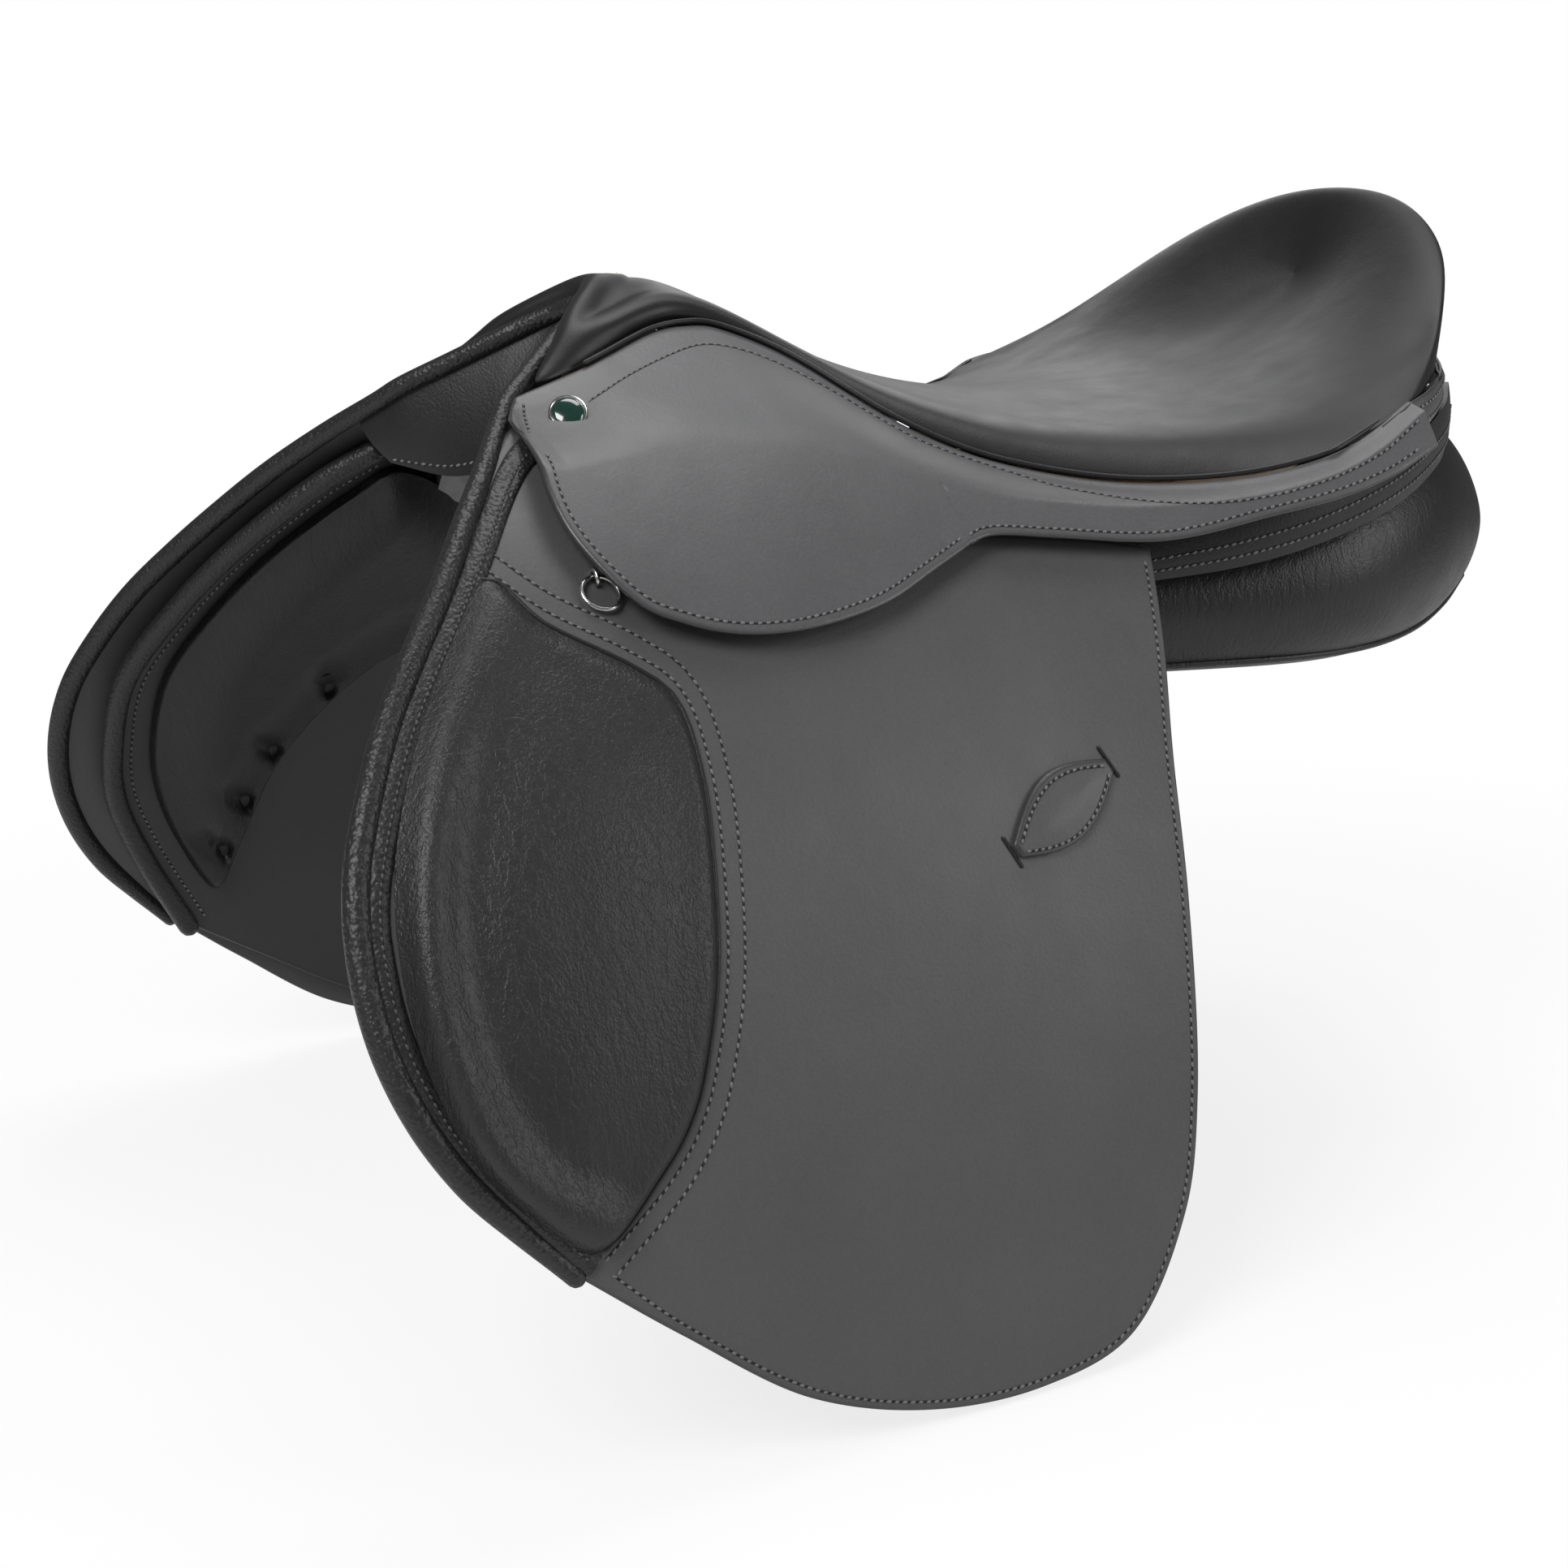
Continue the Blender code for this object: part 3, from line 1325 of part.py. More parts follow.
def build_points():
    """Tree points that run down from the head on each side."""
    outline = curve_through(TREE_POINT, 22, closed=True)
    middle = outline.mean(axis=0)

    def inner_side(ring, x, z):
        return -POINT_DEPTH - POINT_HEAD_DEPTH * smooth_step(POINT_HEAD_START, POINT_HEAD_END, z)

    def outer_side(ring, x, z):
        rise = smooth_step(POINT_BAR_START, POINT_BAR_END, z)
        return -POINT_CLEARANCE + (POINT_CLEARANCE + BAR_PLAY - 2 * GAP) * rise

    point = flank_sheet(outline, middle, inner_side, outer_side, rings=(1.0, 0.5))
    for side, sign in SIDES.items():
        add_piece(f"tree_point_{side}", *point, "forged steel", sign)


def build_dees(flap_frames):
    """Dee ring on each flap, held by a staple."""
    x, z = DEE_PLACE
    face = flap_outer(1.0, x, z)
    place, outward, upward, forward = local_frame(x, z, face)
    arch = []
    for across, height in STAPLE_ARCH:
        arch.append(place + upward * across + outward * height)
    staple = tube(arch, STAPLE_RADIUS, sides=6, across=forward)
    wire = place + outward * (DEE_WIRE_RADIUS + 2 * GAP)
    ring = []
    radius = DEE_WIDTH / 2
    for step in range(20):
        angle = 2 * math.pi * step / 20
        ring.append(wire + forward * radius * math.sin(angle) + upward * radius * (math.cos(angle) - 1))
    dee = ring_tube(ring, DEE_WIRE_RADIUS)
    for side, sign in SIDES.items():
        add_piece(f"dee_staple_{side}", *staple, "bright steel", sign, flap_frames[side])
        frame = joint_frame(f"dee_hinge_{side}", wire, sign)
        add_piece(f"dee_ring_{side}", *dee, "bright steel", sign, frame)


def main():
    """Build the saddle."""
    clear_scene()
    build_seat()
    build_tree()
    build_steel()
    build_arch()
    build_facing()
    hinge = on_flank(*HINGE_FRONT, HINGE_LAYER)
    flap_frames = {side: joint_frame(f"flap_hinge_{side}", hinge, sign) for side, sign in SIDES.items()}
    skirt_frames = {side: joint_frame(f"skirt_hinge_{side}", hinge, sign) for side, sign in SIDES.items()}
    build_skirts(skirt_frames)
    build_welts()
    build_nails()
    build_flaps(flap_frames)
    build_dees(flap_frames)
    build_sweat_flaps()
    build_points()
    build_bars(None)
    build_webs_and_straps(None)
    build_panels()
    build_gussets()


main()
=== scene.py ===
"""Looks of the all-purpose saddle: leather, padding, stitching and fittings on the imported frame."""

import logging
import math
from dataclasses import dataclass, field
from enum import Enum
from typing import Callable, Sequence

import bmesh
import bpy
import numpy as np
from mathutils import Matrix, Vector


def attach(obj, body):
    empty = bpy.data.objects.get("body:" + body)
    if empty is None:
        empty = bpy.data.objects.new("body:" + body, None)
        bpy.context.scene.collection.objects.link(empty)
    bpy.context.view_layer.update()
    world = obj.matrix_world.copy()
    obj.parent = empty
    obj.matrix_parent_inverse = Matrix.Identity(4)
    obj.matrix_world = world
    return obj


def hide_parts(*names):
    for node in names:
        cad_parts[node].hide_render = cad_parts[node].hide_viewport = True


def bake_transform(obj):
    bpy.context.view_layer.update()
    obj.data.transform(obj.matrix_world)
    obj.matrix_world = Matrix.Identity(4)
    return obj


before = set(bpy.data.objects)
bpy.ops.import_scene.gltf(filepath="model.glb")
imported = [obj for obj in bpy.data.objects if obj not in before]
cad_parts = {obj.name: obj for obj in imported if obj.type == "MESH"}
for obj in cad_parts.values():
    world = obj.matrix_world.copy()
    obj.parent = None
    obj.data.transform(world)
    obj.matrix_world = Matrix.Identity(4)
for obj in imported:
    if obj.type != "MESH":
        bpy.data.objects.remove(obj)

LOG = logging.getLogger("saddle")
Array = np.ndarray
Layer = Callable[[Array, Array, Array], Array]

# Leather thicknesses and layers outward from the side surface, as in the solid model.
# All sizes are metres; x runs to the pommel, y to the left side and z up.
SWEAT_LEATHER = 0.0022
STRAP_LAYER = 0.0032
STRAP_LEATHER = 0.0032
FLAP_LAYER = 0.0090
FLAP_LEATHER = 0.0030
FLAP_TOP_TUCK = 0.0040
SKIRT_LEATHER = 0.0034
SKIRT_SKIVED = 0.0012
SKIRT_TOP_LAYER = 0.0117
SKIRT_REAR_RISE = 0.0040
SKIRT_LOW_LAYER = 0.0205
HINGE_LAYER = SKIRT_LOW_LAYER + 0.0020
HINGE_FRONT = (0.188, 0.1033)
HINGE_REAR = (0.033, 0.0664)
SEAT_LEATHER = 0.0015
GAP = 0.0003

# Turns a point of the left side into its twin on the right side
MIRROR = np.array([1.0, -1.0, 1.0])

# Angle in degrees above which an edge shows as a crease
SHARP = 52.0
SEAT_SHARP = 70.0

# Bodies above and below the lifting line, with the reach of the bend over and under it
UPPER_BEND = (("saddle", "flap"), 0.007, 0.0)
LOBE_BEND = (("flap", "skirt"), 0.0, 0.008)
ROLL_BEND = (("saddle", "flap"), 0.010, 0.004)


class Side(Enum):
    """Side of the saddle, with the sign of its width direction."""

    LEFT = 1.0
    RIGHT = -1.0

    @property
    def word(self) -> str:
        """Name ending of the side's nodes and bodies."""
        return self.name.lower()

    def named(self, name: str) -> str:
        """Name with the side's ending."""
        return f"{name}_{self.word}"

    def body(self, name: str) -> str:
        """Name of a body; only the saddle itself has no side."""
        return name if name == "saddle" else self.named(name)


class Slot(Enum):
    """Names of material slots, handed to the piece makers, which do not use them."""

    SMOOTH = "smooth_leather"
    SKIRT = "skirt_leather"
    SEAT = "seat_leather"
    GRAINED = "grained_leather"
    PADDED = "padded_leather"
    BRIGHT = "bright_steel"
    FOAM = "foam"
    WEB = "webbing"


def ease(start: float, end: float, value: Array) -> Array:
    """Ease from 0 to 1.

    Args:
        start: Value at which the result is 0.
        end: Value at which the result is 1.
        value: Values to ease.

    Returns:
        Eased shares, of the same shape as value.
    """
    share = np.clip((np.asarray(value, float) - start) / (end - start), 0.0, 1.0)
    return share * share * (3.0 - 2.0 * share)


def bump(value: Array, centre: float, width: float) -> Array:
    """Bell curve of height 1 at a centre."""
    return np.exp(-(((value - centre) / width) ** 2))


def unit(vectors: Array) -> Array:
    """Vectors scaled to length 1."""
    return vectors / np.maximum(np.linalg.norm(vectors, axis=-1, keepdims=True), 1e-12)


def smooth_step(before: Array, start: Array, end: Array, after: Array, share: Array) -> Array:
    """Points on the way from start to end on a curve that also runs through its neighbours.

    Args:
        before: Point before the start.
        start: Point at share 0.
        end: Point at share 1.
        after: Point after the end.
        share: Shares of the way.

    Returns:
        One point for each share.
    """
    return 0.5 * (
        2 * start
        + (end - before) * share
        + (2 * before - 5 * start + 4 * end - after) * share**2
        + (3 * start - before - 3 * end + after) * share**3
    )


def spline(points: Sequence, count: int, closed: bool = False) -> Array:
    """Smooth curve through points, read at even steps along its length.

    Args:
        points: Points of two or more numbers each.
        count: Number of points to return.
        closed: Whether the curve runs back to its first point.

    Returns:
        Array of count points.
    """
    given = np.array(points, dtype=float)
    if closed:
        knots = np.vstack([given[-1], given, given[0], given[1]])
    else:
        knots = np.vstack([2 * given[0] - given[1], given, 2 * given[-1] - given[-2]])
    share = np.linspace(0.0, 1.0, 24, endpoint=False)[:, None]
    dense = [smooth_step(*four, share) for four in zip(knots, knots[1:], knots[2:], knots[3:])]
    line = np.vstack([*dense, given[:1] if closed else given[-1:]])
    lengths = np.concatenate([[0.0], np.cumsum(np.linalg.norm(np.diff(line, axis=0), axis=1))])
    reads = np.linspace(0.0, lengths[-1], count, endpoint=not closed)
    return np.stack([np.interp(reads, lengths, column) for column in line.T], axis=1)


def table_at(points: Sequence, share: Array) -> Array:
    """Points of a table at shares of its stations, smooth between them.

    Args:
        points: Table with a row for each station.
        share: Shares of the way through the table.

    Returns:
        One row for each share.
    """
    table = np.array(points, dtype=float)
    place = np.clip(share, 0.0, 1.0) * (len(table) - 1)
    index = np.minimum(np.floor(place).astype(int), len(table) - 2)
    wide = np.vstack([2 * table[0] - table[1], table, 2 * table[-1] - table[-2]])
    return smooth_step(*(wide[index + shift] for shift in range(4)), (place - index)[..., None])


def distance_to(points: Array, line: Array) -> Array:
    """Least distance of each plan point to a line of the plan.

    Args:
        points: Plan points.
        line: Points of the line.

    Returns:
        One distance for each point.
    """
    best = np.full(len(points), np.inf)
    for start, end in zip(line, line[1:]):
        run = end - start
        along = np.clip(((points - start) @ run) / max(run @ run, 1e-12), 0.0, 1.0)
        best = np.minimum(best, np.linalg.norm(points - start - along[:, None] * run, axis=1))
    return best


def inset(line: Array, distance: float) -> Array:
    """Line of the plan shifted to the left of its run."""
    along = unit(np.gradient(np.asarray(line, float), axis=0))
    return line + np.stack([-along[:, 1], along[:, 0]], axis=1) * distance


def cut_edge(distance: Array, half: float) -> Array:
    """Share of a sheet's half thickness that is left at a distance from its rounded cut edge."""
    inside = np.clip(distance / half, 0.0, 1.0)
    return np.sqrt(np.maximum(1.0 - (1.0 - inside) ** 2, 0.0))


@dataclass(frozen=True)
class Flank:
    """Curved side surface on which the leather pieces of the flank lie."""

    reach: float = 0.256
    draw_in: float = 0.213
    rate: float = 6.57
    level: float = 0.110
    fullness: float = 0.47
    rear_start: float = 0.030
    rear_end: float = -0.220
    step: float = 0.0005

    def half_width(self, x: Array, z: Array) -> Array:
        """Half width at a lengthwise place and a height."""
        swell = 1.0 - self.fullness * ease(self.rear_start, self.rear_end, x)
        return self.reach - self.draw_in * np.exp(self.rate * (z - self.level)) * swell

    def normal(self, x: Array, z: Array) -> Array:
        """Outward direction.

        Args:
            x: Lengthwise places.
            z: Heights.

        Returns:
            One direction for each place.
        """
        slope_x = (self.half_width(x + self.step, z) - self.half_width(x - self.step, z)) / (2 * self.step)
        slope_z = (self.half_width(x, z + self.step) - self.half_width(x, z - self.step)) / (2 * self.step)
        return unit(np.stack([-slope_x, np.ones_like(slope_x), -slope_z], axis=-1))

    def place(self, x: Array, z: Array, layer: Array) -> Array:
        """Points that lie a layer outside the surface.

        Args:
            x: Lengthwise places.
            z: Heights.
            layer: Distances outside the surface.

        Returns:
            One point for each place.
        """
        x, z, layer = np.broadcast_arrays(np.asarray(x, float), np.asarray(z, float), layer)
        y = self.half_width(x, z) + layer / self.normal(x, z)[..., 1]
        return np.stack([x, y, z], axis=-1)


FLANK = Flank()


@dataclass
class Shell:
    """Points and faces of one closed form, with how near each point is to a cut edge."""

    points: Array
    faces: list
    edge: Array

    def mirrored(self, side: Side) -> "Shell":
        """The form on the given side.

        Args:
            side: Side that the form is for.

        Returns:
            The form itself, or its twin.
        """
        if side is Side.LEFT:
            return self
        return Shell(self.points * MIRROR, [tuple(reversed(face)) for face in self.faces], self.edge)

    def with_other(self, other: "Shell") -> "Shell":
        """Both forms as one.

        Args:
            other: Form to add.

        Returns:
            One form.
        """
        count = len(self.points)
        faces = self.faces + [tuple(index + count for index in face) for face in other.faces]
        return Shell(np.vstack([self.points, other.points]), faces, np.concatenate([self.edge, other.edge]))


def joined(shells: Sequence) -> Shell:
    """Several forms as one.

    Args:
        shells: Forms to join.

    Returns:
        One form.
    """
    result = shells[0]
    for shell in shells[1:]:
        result = result.with_other(shell)
    return result


def grid_faces(rows: int, columns: int, wrap: bool = False) -> list:
    """Quads of a grid of points that may close on itself along a row.

    Args:
        rows: Number of rows.
        columns: Points in a row.
        wrap: Whether each row closes on itself.

    Returns:
        Faces as tuples of point numbers.
    """
    faces = []
    for row in range(rows - 1):
        for column in range(columns if wrap else columns - 1):
            after = (column + 1) % columns
            base = row * columns
            faces.append((base + column, base + after, base + columns + after, base + columns + column))
    return faces


def closed_grid(outer: Array, inner: Array, near_edge: Array, ends_meet: bool = False) -> Shell:
    """Solid between two grids of points, with walls round their border.

    Args:
        outer: Outer skin, rows by columns by 3.
        inner: Inner skin of the same shape.
        near_edge: How near each point is to a cut edge, rows by columns.
        ends_meet: Whether the two halves of the first and last row meet, so that no wall stands there.

    Returns:
        The closed shell.
    """
    rows, columns = outer.shape[:2]
    count = rows * columns
    faces = grid_faces(rows, columns)
    faces += [tuple(index + count for index in reversed(face)) for face in grid_faces(rows, columns)]
    ring = list(range(columns))
    ring += [row * columns + columns - 1 for row in range(1, rows)]
    ring += [(rows - 1) * columns + column for column in range(columns - 2, -1, -1)]
    ring += [row * columns for row in range(rows - 2, 0, -1)]
    for start, end in zip(ring, ring[1:] + ring[:1]):
        if ends_meet and start // columns == end // columns:
            continue
        faces.append((end, start, start + count, end + count))
    points = np.vstack([outer.reshape(-1, 3), inner.reshape(-1, 3)])
    return Shell(points, faces, np.tile(near_edge.reshape(-1), 2))


def capped(rings: Sequence) -> Shell:
    """Solid through closed rings of points, with a face over each end.

    Args:
        rings: Rings of equally many points.

    Returns:
        The closed shell.
    """
    count = len(rings[0])
    faces = grid_faces(len(rings), count, wrap=True)
    faces.append(tuple(range(count)))
    faces.append(tuple(reversed(range((len(rings) - 1) * count, len(rings) * count))))
    return Shell(np.vstack(rings), faces, np.zeros(len(rings) * count))


def tube(path: Array, radius: Array, sides: int = 16) -> Shell:
    """Round bar along a path, with domed ends.

    Args:
        path: Points of the centre line.
        radius: One radius, or one for each point.
        sides: Number of points round the bar.

    Returns:
        The closed shell.
    """
    path = np.asarray(path, float)
    size = np.broadcast_to(np.asarray(radius, float), len(path)).copy()
    ways = unit(np.gradient(path, axis=0))
    domes = np.radians([90.0, 62.0, 32.0])
    head = [path[0] - ways[0] * size[0] * math.sin(angle) for angle in domes]
    tail = [path[-1] + ways[-1] * size[-1] * math.sin(angle) for angle in domes[::-1]]
    head_size = [size[0] * max(math.cos(angle), 0.02) for angle in domes]
    tail_size = [size[-1] * max(math.cos(angle), 0.02) for angle in domes[::-1]]
    path = np.vstack([head, path, tail])
    size = np.concatenate([head_size, size, tail_size])
    ways = np.vstack([[ways[0]] * 3, ways, [ways[-1]] * 3])
    angles = 2 * np.pi * np.arange(sides) / sides
    reference = np.array([0.0, 0.0, 1.0])
    if abs(ways[0] @ reference) > 0.9:
        reference = np.array([0.0, 1.0, 0.0])
    rings = []
    for place, way, reach in zip(path, ways, size):
        across = unit(np.cross(way, reference))
        reference = np.cross(across, way)
        ring = np.cos(angles)[:, None] * across + np.sin(angles)[:, None] * reference
        rings.append(place + reach * ring)
    return capped(rings)


def lathe(profile: Sequence, place: Array, axis: Array, sides: int = 48) -> Shell:
    """Turned form from a profile of radius and height along an axis.

    Args:
        profile: Radius and height of each ring.
        place: Foot of the axis.
        axis: Direction of the axis.
        sides: Points in a ring.

    Returns:
        The closed shell.
    """
    first = unit(np.cross(axis, [1.0, 0.0, 0.0]))
    second = np.cross(axis, first)
    angles = 2 * np.pi * np.arange(sides) / sides
    ring = np.cos(angles)[:, None] * first + np.sin(angles)[:, None] * second
    return capped([place + axis * height + radius * ring for radius, height in profile])


@dataclass(frozen=True)
class Patch:
    """Closed sheet or pad inside an outline on the flank."""

    outline: Array
    middle: tuple
    insets: tuple = (0.0, 0.0003, 0.0009, 0.0018, 0.0030, 0.0050, 0.0085, 0.0140)
    spans: int = 18

    def plan(self) -> Array:
        """Plan points ring by ring, from the outline inward.

        Returns:
            Rings by points by 2.
        """
        outline = np.asarray(self.outline, float)
        middle = np.array(self.middle)
        reach = np.linalg.norm(middle - outline, axis=1, keepdims=True)
        way = (middle - outline) / reach
        rows = [outline + way * np.minimum(step, 0.8 * reach) for step in self.insets]
        shares = np.linspace(0.0, 1.0, self.spans + 1)[1:-1]
        rows += [rows[-1] + (middle - rows[-1]) * share for share in shares]
        return np.array(rows)

    def shell(self, outer: Layer, inner: Layer) -> Shell:
        """Solid between two layers that depend on place and on the distance from the outline.

        Args:
            outer: Layer of the outer face.
            inner: Layer of the inner face.

        Returns:
            The closed shell.
        """
        rows = self.plan()
        count = rows.shape[1]
        flat = np.vstack([rows.reshape(-1, 2), np.array(self.middle)])
        border = np.vstack([self.outline, self.outline[:1]])
        distance = distance_to(flat, border)
        x, z = flat.T
        high = FLANK.place(x, z, outer(x, z, distance))
        low = FLANK.place(x, z, inner(x, z, distance))
        skin = grid_faces(len(rows), count, wrap=True)
        tip = len(flat) - 1
        last = (len(rows) - 1) * count
        skin += [(last + column, last + (column + 1) % count, tip) for column in range(count)]
        faces = skin + [tuple(index + len(flat) for index in reversed(face)) for face in skin]
        for column in range(count):
            after = (column + 1) % count
            faces.append((after, column, column + len(flat), after + len(flat)))
        return Shell(np.vstack([high, low]), faces, np.tile(1.0 - ease(0.0, 0.0022, distance), 2))


def make_piece(name: str, shell: Shell, finish: bpy.types.Material, sharp: float = SHARP) -> bpy.types.Object:
    """Make an object from a shell.

    Args:
        name: Name of the object.
        shell: Points, faces and edge nearness.
        finish: Material of the whole piece.
        sharp: Angle in degrees above which an edge shows as a crease.

    Returns:
        The new object, linked to the scene.
    """
    mesh = bpy.data.meshes.new(name)
    mesh.from_pydata(shell.points.tolist(), [], shell.faces)
    attribute = mesh.attributes.new("edge", "FLOAT", "POINT")
    attribute.data.foreach_set("value", shell.edge.astype(np.float32))
    work = bmesh.new()
    work.from_mesh(mesh)
    bmesh.ops.remove_doubles(work, verts=work.verts, dist=1e-6)
    bmesh.ops.dissolve_degenerate(work, edges=work.edges, dist=1e-7)
    bmesh.ops.recalc_face_normals(work, faces=work.faces)
    if work.calc_volume(signed=True) < 0.0:
        bmesh.ops.reverse_faces(work, faces=work.faces)
    work.to_mesh(mesh)
    work.free()
    mesh.shade_smooth()
    mesh.set_sharp_from_angle(angle=math.radians(sharp))
    mesh.materials.append(finish)
    piece = bpy.data.objects.new(name, mesh)
    bpy.context.scene.collection.objects.link(piece)
    return piece


def plain_mesh(piece: bpy.types.Object) -> bpy.types.Mesh:
    """Mesh of a piece with its modifiers worked out."""
    return bpy.data.meshes.new_from_object(piece.evaluated_get(bpy.context.evaluated_depsgraph_get()))


def fit(piece: bpy.types.Object, body: str = "", node: str = "") -> bpy.types.Object:
    """Let a piece ride on a body and replace a node.

    Args:
        piece: Finished piece.
        body: Body that it rides on, or nothing where it is already on its bodies.
        node: Node of the frame that it replaces, or nothing.

    Returns:
        The same piece.
    """
    if body:
        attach(piece, body)
    if node:
        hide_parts(node)
    return piece


def add_node(
    tree: bpy.types.NodeTree, kind: str, settings: dict | None = None, inputs: dict | None = None
) -> bpy.types.Node:
    """Add a node, set its properties, then set or link its inputs.

    Args:
        tree: Tree that gets the node.
        kind: Type of the node.
        settings: Properties by name.
        inputs: Values, sockets or fields by the name or number of the input.

    Returns:
        The new node.
    """
    node = tree.nodes.new(kind)
    for key, value in (settings or {}).items():
        setattr(node, key, value)
    for key, value in (inputs or {}).items():
        source = value.socket if isinstance(value, Field) else value
        if isinstance(source, bpy.types.NodeSocket):
            tree.links.new(source, node.inputs[key])
        else:
            node.inputs[key].default_value = source
    return node


@dataclass(frozen=True)
class Field:
    """Output of a shader node that can stand in a formula."""

    graph: "Graph"
    socket: bpy.types.NodeSocket

    def __add__(self, other: "Field | float") -> "Field":
        """Sum."""
        return self.graph.maths("ADD", self, other)

    def __sub__(self, other: "Field | float") -> "Field":
        """Difference."""
        return self.graph.maths("SUBTRACT", self, other)

    def __rsub__(self, other: "Field | float") -> "Field":
        """Difference, with the field taken away."""
        return self.graph.maths("SUBTRACT", other, self)

    def __mul__(self, other: "Field | float") -> "Field":
        """Product."""
        return self.graph.maths("MULTIPLY", self, other)

    __radd__ = __add__
    __rmul__ = __mul__

    def size(self) -> "Field":
        """Value without its sign."""
        return self.graph.maths("ABSOLUTE", self, 0.0)

    def between(self, low: float, high: float) -> "Field":
        """Value eased to 0 at low and to 1 at high.

        Args:
            low: Value that becomes 0.
            high: Value that becomes 1.

        Returns:
            The eased field.
        """
        inputs = {"Value": self, "From Min": low, "From Max": high}
        node = self.graph.node("ShaderNodeMapRange", {"interpolation_type": "SMOOTHSTEP"}, inputs)
        return Field(self.graph, node.outputs["Result"])


class Graph:
    """Node tree of one material."""

    def __init__(self, name: str) -> None:
        """Start a material.

        Args:
            name: Name of the material.
        """
        self.material = bpy.data.materials.new(name)
        self.material.use_nodes = True
        self.tree = self.material.node_tree
        self.shader = self.tree.nodes["Principled BSDF"]

    def node(self, kind: str, settings: dict | None = None, inputs: dict | None = None) -> bpy.types.Node:
        """Add a node to the material."""
        return add_node(self.tree, kind, settings, inputs)

    def maths(self, operation: str, first: "Field | float", second: "Field | float") -> Field:
        """One step of arithmetic."""
        node = self.node("ShaderNodeMath", {"operation": operation}, {0: first, 1: second})
        return Field(self, node.outputs[0])

    def coordinates(self, stretch: tuple = (1.0, 1.0, 1.0)) -> Field:
        """Place on the saddle in metres, stretched along each axis.

        Args:
            stretch: Factor along each axis.

        Returns:
            Field of places.
        """
        source = self.node("ShaderNodeTexCoord")
        place = Field(self, source.outputs["Object"])
        if stretch == (1.0, 1.0, 1.0):
            return place
        node = self.node("ShaderNodeVectorMath", {"operation": "MULTIPLY"}, {0: place, 1: stretch})
        return Field(self, node.outputs[0])

    def noise(self, place: Field, size: float, detail: float = 3.0, roughness: float = 0.5) -> Field:
        """Smooth noise from 0 to 1 with features of a size in metres."""
        inputs = {"Vector": place, "Scale": 1.0 / size, "Detail": detail, "Roughness": roughness}
        return Field(self, self.node("ShaderNodeTexNoise", None, inputs).outputs["Fac"])

    def cells(self, place: Field, size: float, feature: str = "F1") -> Field:
        """Distance within cells of a size in metres."""
        node = self.node("ShaderNodeTexVoronoi", {"feature": feature}, {"Vector": place, "Scale": 1.0 / size})
        return Field(self, node.outputs["Distance"])

    def attribute(self, name: str) -> Field:
        """Value that the mesh carries under a name."""
        return Field(self, self.node("ShaderNodeAttribute", {"attribute_name": name}).outputs["Fac"])

    def mix(self, share: "Field | float", first: object, second: object) -> Field:
        """Colour between two colours."""
        node = self.node("ShaderNodeMix", {"data_type": "RGBA"}, {0: share, 6: first, 7: second})
        return Field(self, node.outputs[2])

    def bumped(self, height: Field, depth: float, normal: Field | None = None) -> Field:
        """Surface direction over a height field whose full step is depth metres.

        Args:
            height: Height field.
            depth: Depth in metres.
            normal: Direction to start from.

        Returns:
            Field of directions.
        """
        inputs = {"Strength": 1.0, "Distance": depth, "Height": height}
        if normal is not None:
            inputs["Normal"] = normal
        return Field(self, self.node("ShaderNodeBump", None, inputs).outputs["Normal"])

    def feed(self, name: str, value: Field) -> None:
        """Link a field into the surface shader."""
        self.tree.links.new(value.socket, self.shader.inputs[name])

    def fix(self, **values: float | tuple) -> None:
        """Set plain values on the surface shader's own sockets."""
        for key, value in values.items():
            self.shader.inputs[key.replace("_", " ").title().replace("Ior", "IOR")].default_value = value


def colour(tone: tuple, strength: float = 1.0) -> tuple:
    """Opaque colour of a tone, made stronger or weaker."""
    return (*(strength * value for value in tone), 1.0)


